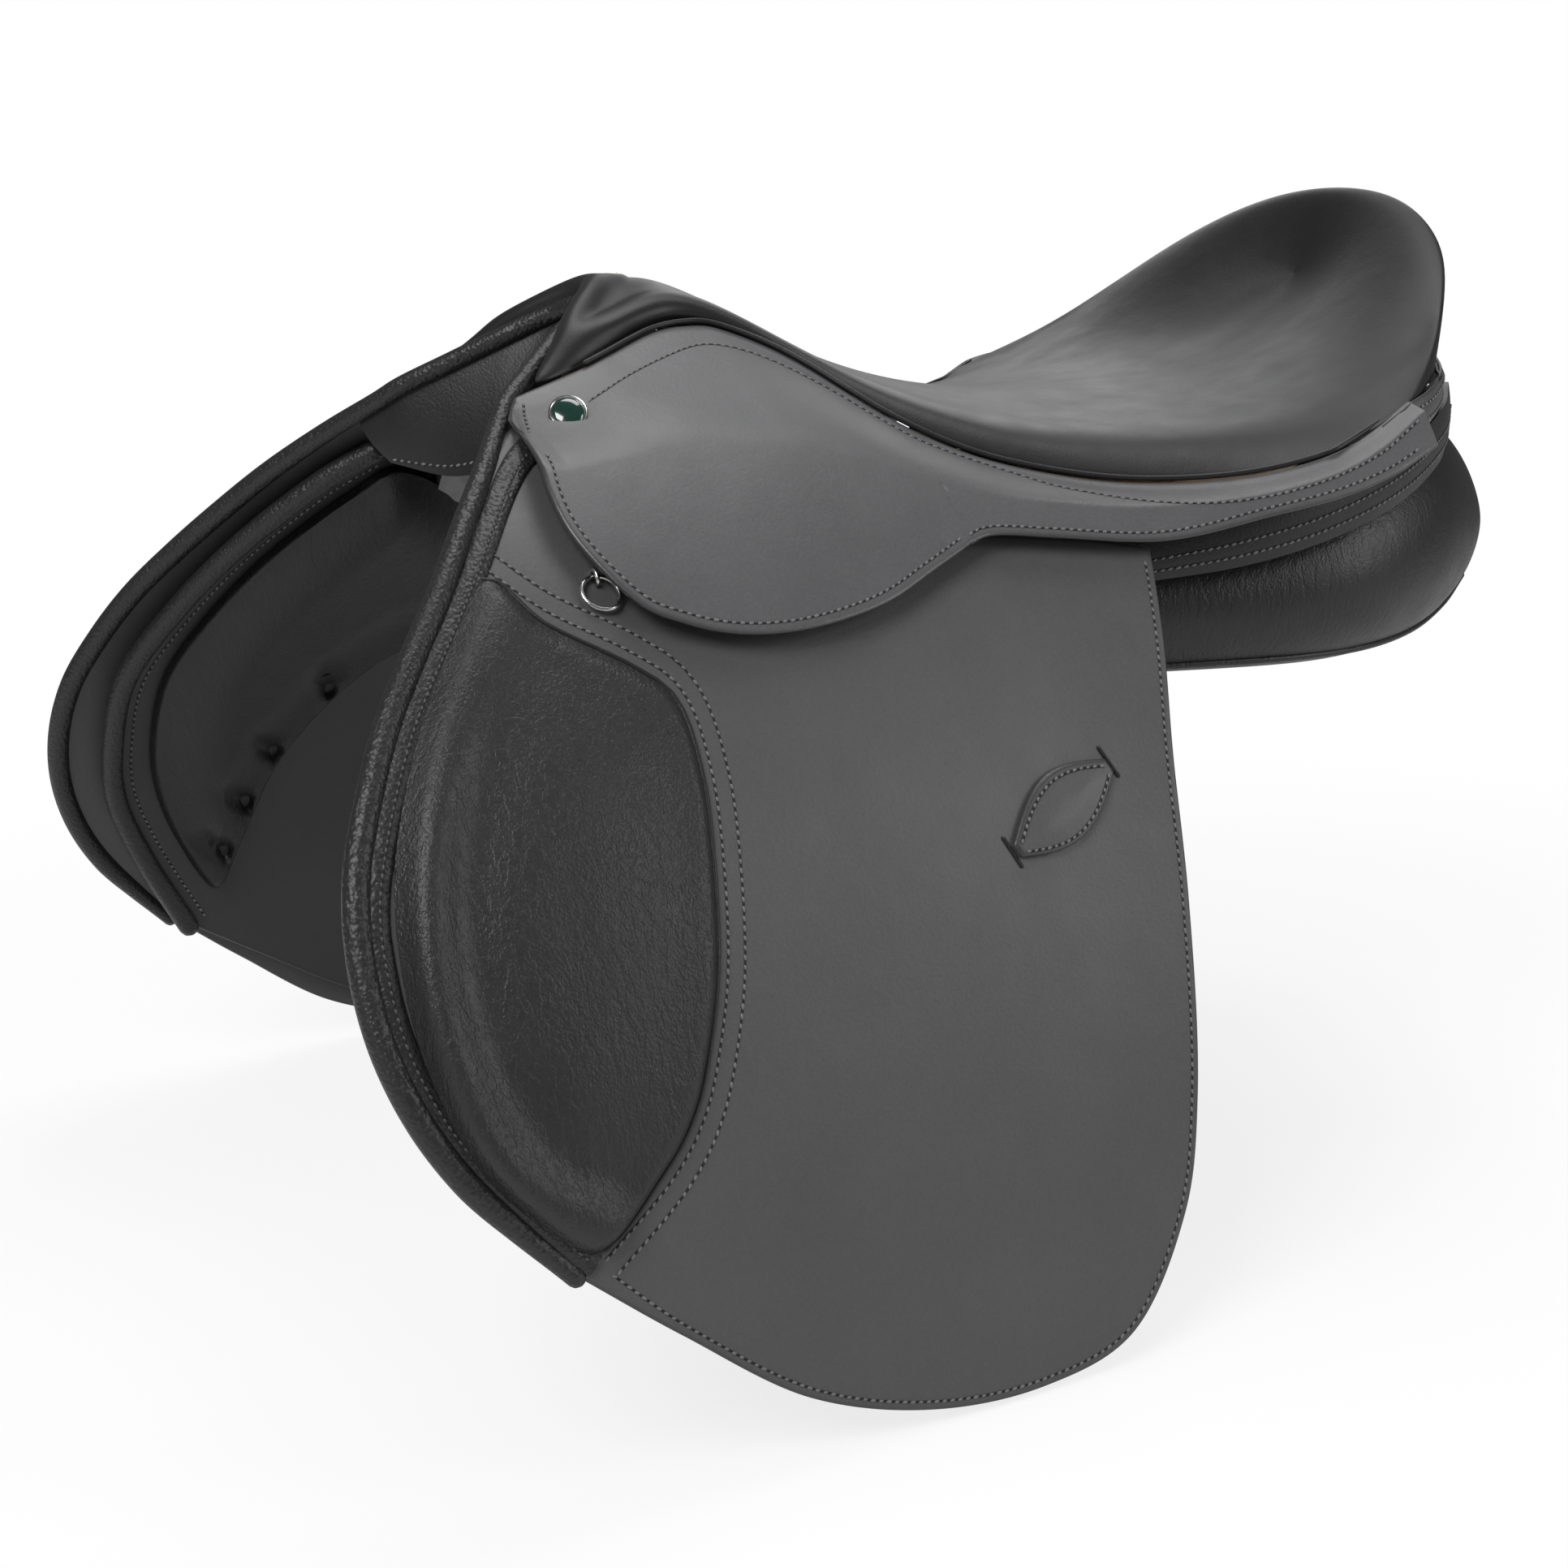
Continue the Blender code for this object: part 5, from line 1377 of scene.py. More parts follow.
@dataclass
class Skirts:
    """Skirt leather from the seat down to its lobe, in two pieces that meet at the lifting line."""

    kit: Kit
    top_points: tuple = (
        (0.181, 0.1095), (0.148, 0.1190), (0.113, 0.1295), (0.094, 0.1315), (0.081, 0.1295),
        (0.060, 0.1185), (0.033, 0.0960), (0.007, 0.0815), (-0.021, 0.0732), (-0.050, 0.0690),
        (-0.085, 0.0695), (-0.121, 0.0752), (-0.145, 0.0834), (-0.168, 0.0955),
    )
    lobe_points: tuple = (
        (0.1885, 0.0990), (0.1920, 0.0800), (0.1885, 0.0640), (0.1750, 0.0450), (0.1590, 0.0370),
        (0.1420, 0.0325), (0.1220, 0.0310), (0.1000, 0.0325), (0.0760, 0.0370), (0.0530, 0.0450),
        (0.0345, 0.0515),
    )
    strip_points: tuple = (
        (0.0320, 0.0524), (0.0200, 0.0545), (-0.006, 0.0520), (-0.037, 0.0490), (-0.060, 0.0503),
        (-0.090, 0.0560), (-0.120, 0.0615), (-0.145, 0.0685), (-0.168, 0.0785),
    )
    fall_points: tuple = (
        (-0.168, 0.0032), (-0.120, 0.0050), (-0.050, 0.0078), (0.000, 0.0130), (0.033, 0.0215),
        (0.060, 0.0350), (0.094, 0.0410), (0.130, 0.0290), (0.150, 0.0270), (0.168, 0.0230),
        (0.190, 0.0200),
    )
    ornament_points: tuple = (
        (0.155, 0.1085), (0.134, 0.1160), (0.112, 0.1220), (0.095, 0.1250), (0.081, 0.1230),
        (0.067, 0.1170), (0.052, 0.1070), (0.038, 0.0960), (0.023, 0.0860), (-0.007, 0.0735),
        (-0.021, 0.0685), (-0.050, 0.0630), (-0.081, 0.0625), (-0.114, 0.0680), (-0.142, 0.0770),
        (-0.163, 0.0885),
    )
    slit: float = 0.00003
    tip: tuple = (0.1806, 0.1095)
    tip_lean: float = 0.0075
    tip_drop: float = 0.0045
    rear_drop: float = 0.0045
    lobe_margin: float = 0.0040
    strip_margin: float = 0.0036
    rows_along: int = 150

    def __post_init__(self) -> None:
        """Work out the lines that several pieces share."""
        self.top_line = spline(self.top_points, 240)[::-1]
        self.fall_line = spline(self.fall_points, 120)
        self.free_edge = np.vstack([[self.tip], spline([*self.lobe_points, *self.strip_points], 260)])

    def top_height(self, x: Array) -> Array:
        """Height of the skirt's upper edge."""
        return np.interp(x, self.top_line[:, 0], self.top_line[:, 1])

    def outer(self, x: Array, z: Array) -> Array:
        """Layer of the outer face.

        Args:
            x: Lengthwise places.
            z: Heights.

        Returns:
            One value for each place.
        """
        top = SKIRT_TOP_LAYER + SKIRT_REAR_RISE * ease(0.010, -0.110, x)
        fall = np.interp(x, self.fall_line[:, 0], self.fall_line[:, 1])
        share = np.clip((self.top_height(x) - z) / fall, 0.0, 1.0)
        tip = self.tip_drop * ease(0.140, 0.186, x) * (1.0 - share)
        rear = self.rear_drop * ease(-0.090, -0.168, x)
        return top + (SKIRT_LOW_LAYER - top) * share * share * (3.0 - 2.0 * share) - (tip + rear)

    def half_thickness(self, x: Array, z: Array) -> Array:
        """Half of the leather's thickness, skived at the upper edge.

        Args:
            x: Lengthwise places.
            z: Heights.

        Returns:
            One value for each place.
        """
        fall = np.interp(x, self.fall_line[:, 0], self.fall_line[:, 1])
        share = ease(0.0, 0.55, (self.top_height(x) - z) / fall)
        return 0.5 * (SKIRT_SKIVED + (SKIRT_LEATHER - SKIRT_SKIVED) * share)

    def sheet(self, tops: Array, lows: Array, rows: int) -> Shell:
        """Leather between two lines, with its rows gathered near the lower one.

        Args:
            tops: Plan points of the upper line.
            lows: Plan points of the lower line.
            rows: Rows above the gathered ones.

        Returns:
            The closed shell.
        """
        insets = np.array([0.0, 0.0003, 0.0008, 0.0016, 0.0026, 0.0042, 0.0066])
        length = np.linalg.norm(lows - tops, axis=1)
        shrink = np.minimum(1.0, 0.5 * length / insets[-1])
        low_shares = 1.0 - insets[None, ::-1] * shrink[:, None] / length[:, None]
        first = low_shares[:, :1]
        high_shares = first * np.linspace(0.0, 1.0, rows, endpoint=False)[None, :]
        shares = np.concatenate([high_shares, low_shares], axis=1)
        plan = tops[:, None, :] + (lows - tops)[:, None, :] * shares[..., None]
        flat = plan.reshape(-1, 2)
        distance = distance_to(flat, self.free_edge)
        x, z = flat.T
        half = self.half_thickness(x, z)
        middle = self.outer(x, z) - half
        left = half * cut_edge(distance, 0.5 * SKIRT_LEATHER)
        outer = FLANK.place(x, z, middle + left).reshape(*plan.shape[:2], 3)
        inner = FLANK.place(x, z, middle - left).reshape(*plan.shape[:2], 3)
        near = (1.0 - ease(0.0, 0.0030, distance)).reshape(plan.shape[:2])
        return closed_grid(outer, inner, near)

    def facing_way(self, x: Array, z: Array) -> Array:
        """Outward direction of the skirt's outer face.

        Args:
            x: Lengthwise places.
            z: Heights.

        Returns:
            One direction for each place.
        """
        step = 0.0004

        def face(shift_x: float, shift_z: float) -> Array:
            """Points of the outer face, a step away."""
            return FLANK.place(x + shift_x, z + shift_z, self.outer(x + shift_x, z + shift_z))

        ahead = face(step, 0.0) - face(-step, 0.0)
        rise = face(0.0, step) - face(0.0, -step)
        return unit(np.cross(rise, ahead))

    def hide_seam(self, piece: bpy.types.Object, side: Side) -> None:
        """Give both pieces the same surface direction along the lifting line.

        Args:
            piece: Band or lobe.
            side: Side to build.
        """
        mesh = piece.data
        flip = np.array([1.0, side.value, 1.0])
        points = np.array([vertex.co[:] for vertex in mesh.vertices]) * flip
        on_line = np.abs(points[:, 2] - hinge_height(points[:, 0])) < 2e-5
        ways = self.facing_way(points[:, 0], points[:, 2]) * flip
        chosen = np.zeros((len(mesh.loops), 3))
        for face in mesh.polygons:
            normal = np.array(face.normal[:])
            for loop in face.loop_indices:
                vertex = mesh.loops[loop].vertex_index
                if on_line[vertex] and ways[vertex] @ normal > 0.9:
                    chosen[loop] = ways[vertex]
        mesh.normals_split_custom_set(chosen.tolist())

    def upper(self) -> Shell:
        """Band along the seat and the strip behind the lobe.

        Returns:
            The closed shell.
        """
        front = np.linspace(HINGE_FRONT[0] - 0.0006, HINGE_REAR[0] + self.slit, self.rows_along)
        strip = spline(self.strip_points, 110)
        strip[0, 0] = HINGE_REAR[0] - self.slit
        lows = np.vstack([np.stack([front, hinge_height(front)], axis=1), strip])
        top_x = lows[:, 0] - self.tip_lean * ease(0.155, HINGE_FRONT[0], lows[:, 0])
        tops = np.stack([top_x, self.top_height(top_x)], axis=1)
        tops[:, 1] = np.maximum(tops[:, 1], lows[:, 1] + 0.0012)
        return self.sheet(tops, lows, 22)

    def lobe(self) -> Shell:
        """Lobe below the lifting line.

        Returns:
            The closed shell.
        """
        lows = spline(self.lobe_points, self.rows_along)
        lows[-1] = (HINGE_REAR[0] + self.slit, 0.0520)
        x = np.linspace(HINGE_FRONT[0] - 0.0006, HINGE_REAR[0] + self.slit, len(lows))
        return self.sheet(np.stack([x, hinge_height(x)], axis=1), lows, 30)

    def build(self, side: Side) -> None:
        """Make one side's skirt and its stitching.

        Args:
            side: Side to build.
        """
        halves = (
            ("skirt_upper", self.upper(), UPPER_BEND, "skirt_band"),
            ("skirt_lobe", self.lobe(), LOBE_BEND, "skirt"),
        )
        for name, shell, bend, node in halves:
            piece = make_piece(side.named(name), shell.mirrored(side), self.kit.finishes["skirt"])
            self.hide_seam(piece, side)
            bend_over_hinge(piece, side, *bend)
            fit(piece, "", side.named(node))
        self.build_stitches(side)

    def build_stitches(self, side: Side) -> None:
        """Make the rows along the free edge and the ornamental row under the seat.

        Args:
            side: Side to build.
        """
        lobe = spline(self.lobe_points, 160)
        rows = self.kit.rows(side.named("skirt_edge_stitches"))
        rows.on_flank(inset(lobe, -self.lobe_margin)[4:-1], self.outer)
        piece = rows.build(side)
        bend_over_hinge(piece, side, *LOBE_BEND)
        fit(piece)
        strip = inset(spline(self.strip_points, 90), -self.strip_margin)
        rows = self.kit.rows(side.named("skirt_strip_stitches"))
        rows.on_flank(strip[1:-4], self.outer)
        rows.on_flank(spline(self.ornament_points, 160), self.outer)
        rows.on_flank(np.linspace((0.1846, 0.1000), (0.1785, 0.1078), 8), self.outer)
        piece = rows.build(side)
        bend_over_hinge(piece, side, *UPPER_BEND)
        fit(piece)


@dataclass
class Flap:
    """Flap with its knee pad, keeper, front roll, binding and stitching."""

    kit: Kit
    rear_points: tuple = (
        (-0.037, 0.0120), (-0.026, -0.0290), (-0.018, -0.0790), (-0.008, -0.1460), (0.004, -0.1880),
        (0.031, -0.2250), (0.072, -0.2350), (0.120, -0.2310), (0.168, -0.2140), (0.212, -0.1820),
    )
    front_points: tuple = (
        (0.1985, 0.0932), (0.2150, 0.0790), (0.2400, 0.0530), (0.2730, 0.0160), (0.2950, -0.0240),
        (0.3000, -0.0530), (0.2960, -0.0840), (0.2800, -0.1170), (0.2460, -0.1560),
    )
    pad_points: tuple = (
        (0.2250, 0.0560), (0.2080, 0.0410), (0.1810, 0.0250), (0.1690, 0.0130), (0.1680, -0.0100),
        (0.1720, -0.0350), (0.1790, -0.0670), (0.1870, -0.0900), (0.1970, -0.1110),
        (0.2120, -0.1280), (0.2400, -0.1480), (0.2640, -0.1300), (0.2805, -0.1050),
        (0.2880, -0.0700), (0.2860, -0.0350), (0.2750, -0.0040), (0.2540, 0.0280),
    )
    arch_points: tuple = (
        (0.1270, 0.0000, 0.1400), (0.1330, 0.0120, 0.1365), (0.1490, 0.0245, 0.1275),
        (0.1660, 0.0385, 0.1175), (0.1820, 0.0525, 0.1080), (0.1900, 0.0625, 0.1010),
    )
    top_x: float = -0.046
    rear_end: tuple = (0.2400, -0.1560)
    rear_margin: float = 0.0034
    pad_margins: tuple = (0.0042, 0.0105)
    pad_side: float = 0.0034
    pad_crown: float = 0.0030
    pad_ridge: float = 0.0050
    pad_valley: float = 0.0010
    pad_edge: float = 0.0011
    pad_seam: float = 0.0009
    top_front: tuple = ((0.1862, 0.1006), (0.1915, 0.0978))
    middle: tuple = (0.130, -0.070)
    pad_middle: tuple = (0.228, -0.050)
    roll_top: float = 0.0038
    roll_low: float = 0.0047
    roll_end: float = 0.0034
    binding_width: float = 0.0078
    binding_swell: float = 0.0016
    keeper_from: tuple = (0.003, -0.0265)
    keeper_to: tuple = (0.052, -0.0500)
    keeper_width: float = 0.0240
    keeper_thickness: float = 0.0022
    keeper_swell: float = 0.0016
    keeper_margin: float = 0.0024
    slit_length: float = 0.0112
    slit_radius: float = 0.0008
    notch_points: tuple = ((0.0520, 0.0480), (0.1500, 0.0620), (0.1520, 0.1150), (0.0500, 0.1150))

    def __post_init__(self) -> None:
        """Work out the lines that several pieces share."""
        self.pad_line = spline(self.pad_points, 260, closed=True)
        self.pad_front = spline(self.pad_points[10:] + self.pad_points[:1], 90)

    def top_height(self, x: Array) -> Array:
        """Height of the flap's upper edge under the skirt."""
        drop = 0.0097 * ease(-0.047, 0.060, x) * (1.0 - ease(0.160, 0.182, x))
        return hinge_height(x) - 0.0018 - drop

    def rear_top(self) -> tuple:
        """Rear corner of the upper edge."""
        return self.top_x, float(self.top_height(self.top_x))

    def inner(self, x: Array, z: Array) -> Array:
        """Layer of the flap's inner face."""
        return FLAP_LAYER - FLAP_TOP_TUCK * ease(0.055, 0.100, z) * ease(0.150, 0.190, x)

    def face(self, x: Array, z: Array) -> Array:
        """Layer of the flap's outer face."""
        return self.inner(x, z) + FLAP_LEATHER

    def outline(self) -> Array:
        """Closed outline inside the front roll.

        Returns:
            Closed line of plan points.
        """
        front = inset(spline(self.front_points, 90), -0.0008)
        front = front[front[:, 1] < self.top_height(front[:, 0]) - 0.0010]
        front = np.vstack([self.top_front, front])
        rear = spline([self.rear_top(), *self.rear_points, tuple(front[-1])], 190)
        x = np.linspace(self.top_x, front[0][0], 60)[1:-1]
        top = np.stack([x, self.top_height(x)], axis=1)
        return np.vstack([front[:-1], rear[::-1][:-1], rear[:1], top])

    def notch(self, side: Side) -> bpy.types.Object:
        """Cutter for the opening that lets the stirrup bar through.

        Args:
            side: Side to build.

        Returns:
            Solid to cut out of the flap.
        """
        x, z = np.array(self.notch_points).T
        low = FLANK.place(x, z, -0.005)
        high = FLANK.place(x, z, 0.040)
        count = len(x)
        faces = [tuple(range(count)), tuple(reversed(range(count, 2 * count)))]
        for index in range(count):
            after = (index + 1) % count
            faces.append((index, after, after + count, index + count))
        shell = Shell(np.vstack([low, high]), faces, np.zeros(2 * count))
        return make_piece("notch_cutter", shell.mirrored(side), self.kit.finishes["smooth"])

    def cut(self, piece: bpy.types.Object, cutter: bpy.types.Object) -> None:
        """Cut a solid out of a piece for good.

        Args:
            piece: Piece that is cut.
            cutter: Solid to cut out, which is removed.
        """
        modifier = piece.modifiers.new("notch", "BOOLEAN")
        modifier.operation = "DIFFERENCE"
        modifier.solver = "EXACT"
        modifier.object = cutter
        bpy.context.view_layer.update()
        solid = plain_mesh(piece)
        piece.modifiers.remove(modifier)
        piece.data = solid
        solid.set_sharp_from_angle(angle=math.radians(SHARP))
        bpy.data.objects.remove(cutter, do_unlink=True)

    def build_sheet(self, side: Side) -> None:
        """Make the flap leather.

        Args:
            side: Side to build.
        """
        half = FLAP_LEATHER / 2

        def outer(x: Array, z: Array, distance: Array) -> Array:
            """Layer of the outer face."""
            return self.face(x, z) - half + half * cut_edge(distance, half)

        def inner(x: Array, z: Array, distance: Array) -> Array:
            """Layer of the inner face."""
            return self.inner(x, z) + half - half * cut_edge(distance, half)

        shell = Patch(self.outline(), self.middle, spans=22).shell(outer, inner)
        piece = make_piece(side.named("flap_leather"), shell.mirrored(side), self.kit.finishes["smooth"])
        self.cut(piece, self.notch(side))
        fit(piece, side.named("flap"), side.named("flap"))

    def pad_height(self, x: Array, z: Array, distance: Array) -> Array:
        """Height of the knee pad over the flap: a firm front ridge, a valley and a gentle crown.

        Args:
            x: Lengthwise places.
            z: Heights.
            distance: Distances from the outline.

        Returns:
            One value for each place.
        """
        front = distance_to(np.stack([x, z], axis=1), self.pad_front)
        lower = ease(0.045, -0.030, z)
        low_end = ease(-0.155, -0.110, z)
        body = self.pad_side * ease(0.0, 0.0050, distance) + self.pad_crown * ease(0.004, 0.050, distance)
        ridge = self.pad_ridge * bump(front, 0.0085, 0.0085) * (0.30 + 0.70 * lower) * (0.4 + 0.6 * low_end)
        valley = self.pad_valley * bump(front, 0.0240, 0.0080) * lower
        edge = self.pad_edge * ease(-0.0002, 0.0012, distance)
        return body + ridge * ease(0.0, 0.006, distance) - valley * ease(0.0, 0.012, distance) + edge

    def build_pad(self, side: Side) -> None:
        """Make the knee pad.

        Args:
            side: Side to build.
        """
        base = FLAP_LAYER + FLAP_LEATHER + GAP

        def outer(x: Array, z: Array, distance: Array) -> Array:
            """Layer of the outer face."""
            return base + self.pad_height(x, z, distance)

        def inner(x: Array, z: Array, distance: Array) -> Array:
            """Layer of the inner face."""
            return np.full_like(x, base)

        insets = (0.0, 0.0003, 0.0008, 0.0015, 0.0025, 0.0040, 0.0060, 0.0085, 0.0115, 0.0150)
        shell = Patch(self.pad_line, self.pad_middle, insets, 26).shell(outer, inner)
        piece = self.kit.on_side(side, "knee_pad_cover", shell, "pad", Slot.GRAINED, "flap", "knee_pad")
        path = FLANK.place(*self.pad_line[:150:3].T, base + 0.0004)
        seam = tube(path[:48], self.pad_seam, 10)
        self.kit.on_side(side, "knee_pad_seam", seam, "facing", Slot.SMOOTH, "flap")

    def keeper_outline(self, shrink: float = 0.0) -> Array:
        """Leaf shape of the keeper.

        Args:
            shrink: Distance inside the leaf's edge.

        Returns:
            Closed line of plan points.
        """
        start, end = np.array(self.keeper_from), np.array(self.keeper_to)
        along = end - start
        length = np.linalg.norm(along)
        across = np.array([-along[1], along[0]]) / length
        shares = np.linspace(shrink / length, 1.0 - shrink / length, 40)
        width = (0.20 + 0.80 * np.sin(np.pi * shares)) * self.keeper_width / 2 - shrink
        upper = start + along * shares[:, None] + across * width[:, None]
        lower = start + along * shares[:, None] - across * width[:, None]
        return np.vstack([upper, lower[::-1]])

    def build_keeper(self, side: Side) -> None:
        """Make the keeper, near-black tubes painted as the shade in the slits that it passes through, and its
        stitching.

        Args:
            side: Side to build.
        """
        base = FLAP_LAYER + FLAP_LEATHER + GAP
        half = self.keeper_thickness / 2
        centre = (np.array(self.keeper_from) + np.array(self.keeper_to)) / 2

        def outer(x: Array, z: Array, distance: Array) -> Array:
            """Layer of the outer face."""
            swell = self.keeper_swell * ease(0.0, 0.011, distance)
            return base + half + half * cut_edge(distance, half) + swell

        def inner(x: Array, z: Array, distance: Array) -> Array:
            """Layer of the inner face."""
            return base + half - half * cut_edge(distance, half)

        insets = (0.0, 0.0003, 0.0008, 0.0014, 0.0022, 0.0032)
        shell = Patch(self.keeper_outline(), tuple(centre), insets, 6).shell(outer, inner)
        self.kit.on_side(side, "keeper_leather", shell, "smooth", Slot.SMOOTH, "flap", "stirrup_keeper")
        border = self.keeper_outline(self.keeper_margin)
        rows = self.kit.rows(side.named("keeper_stitches"), pitch=0.0030, length=0.0020)
        for half_border in (border[1:39], border[41:79]):
            rows.on_flank(half_border, lambda x, z: base + self.keeper_thickness + 0.0004)
        fit(rows.build(side), side.named("flap"))
        along = unit(np.array(self.keeper_to) - np.array(self.keeper_from))
        across = np.array([-along[1], along[0]])
        # Near-black tubes at both ends of the keeper: painted shade of the slits, which are not cut into the
        # flap
        slit_shades = []
        for end, way in ((self.keeper_from, -1.0), (self.keeper_to, 1.0)):
            middle = np.array(end) + along * way * 0.0012
            line = middle + np.linspace(-self.slit_length / 2, self.slit_length / 2, 12)[:, None] * across
            slit_shades.append(tube(FLANK.place(*line.T, base - 0.0002), self.slit_radius, 8))
        self.kit.on_side(side, "keeper_slit_shades", joined(slit_shades), "panel", Slot.SMOOTH, "flap")

    def roll_path(self) -> tuple:
        """Centre line and radius of the rolled edge, from the middle of the pommel down the flap.

        Returns:
            Points of the centre line, and the radius at each.
        """
        plan = spline(self.front_points, 150)
        side_path = FLANK.place(*plan.T, self.inner(*plan.T) + FLAP_LEATHER / 2)
        path = spline(np.vstack([self.arch_points, side_path[4::12]]), 320)
        run = np.concatenate([[0.0], np.cumsum(np.linalg.norm(np.diff(path, axis=0), axis=1))])
        radius = self.roll_top + (self.roll_low - self.roll_top) * ease(0.08, 0.20, run)
        radius = radius - (self.roll_low - self.roll_end) * ease(run[-1] - 0.05, run[-1], run)
        return path, radius

    def build_rolls(self) -> None:
        """Make the arch's roll and each flap's roll, cut from one line."""
        path, radius = self.roll_path()
        above = path[:, 2] > hinge_height(path[:, 0]) + 0.0160
        split = int(np.argmin(above))
        arch = path[: split + 1]
        both = np.vstack([arch[:0:-1] * MIRROR, arch])
        sizes = np.concatenate([radius[:split][::-1], radius[: split + 1]])
        self.kit.piece("pommel_roll", tube(both, sizes, 20), "roll", Slot.GRAINED, "pommel_arch_roll")
        for side in Side:
            shell = tube(path[split:], radius[split:], 20).mirrored(side)
            piece = make_piece(side.named("flap_roll"), shell, self.kit.finishes["roll"])
            bend_over_hinge(piece, side, *ROLL_BEND)
            fit(piece, "", side.named("flap_front_roll"))

    def build_binding(self, side: Side) -> None:
        """Make the flat binding that lies beside the roll, with its stitches.

        Args:
            side: Side to build.
        """
        line = spline([self.top_front[0], *self.front_points], 220)
        offsets = self.roll_low * 0.6 + self.binding_width * np.linspace(0.0, 1.0, 13)
        plan = np.stack([inset(line, -offset) for offset in offsets], axis=1)
        x, z = plan.reshape(-1, 2).T
        share = np.tile(np.linspace(0.0, 1.0, len(offsets)), len(line))
        swell = self.binding_swell * np.sin(np.pi * np.clip(share * 0.94 + 0.06, 0.0, 1.0)) ** 0.55
        outer = FLANK.place(x, z, self.face(x, z) + 0.0001 + swell).reshape(*plan.shape[:2], 3)
        inner = FLANK.place(x, z, self.face(x, z) - 0.0004).reshape(*plan.shape[:2], 3)
        shell = closed_grid(outer, inner, np.zeros(plan.shape[:2]))
        self.kit.on_side(side, "flap_binding", shell, "roll", Slot.GRAINED, "flap")
        rows = self.kit.rows(side.named("binding_stitches"), "dark_thread", pitch=0.0029, length=0.0020)
        middle = plan[:, 6]
        rows.on_flank(middle[4:-3], lambda x, z: self.face(x, z) + self.binding_swell)
        fit(rows.build(side), side.named("flap"))

    def build_stitches(self, side: Side) -> None:
        """Make the rows round the flap and behind the knee pad.

        Args:
            side: Side to build.
        """
        rear = spline([self.rear_top(), *self.rear_points, self.rear_end], 240)
        rows = self.kit.rows(side.named("flap_stitches"))
        rows.on_flank(inset(rear, self.rear_margin)[3:-2], self.face)
        back = spline(self.pad_points[:11], 150)
        for distance in self.pad_margins:
            rows.on_flank(inset(back, -distance)[1:-1], self.face)
        fit(rows.build(side), side.named("flap"))

    def build(self) -> None:
        """Make both flaps and the roll that joins them over the pommel."""
        for side in Side:
            self.build_sheet(side)
            self.build_pad(side)
            self.build_keeper(side)
            self.build_binding(side)
            self.build_stitches(side)
        self.build_rolls()


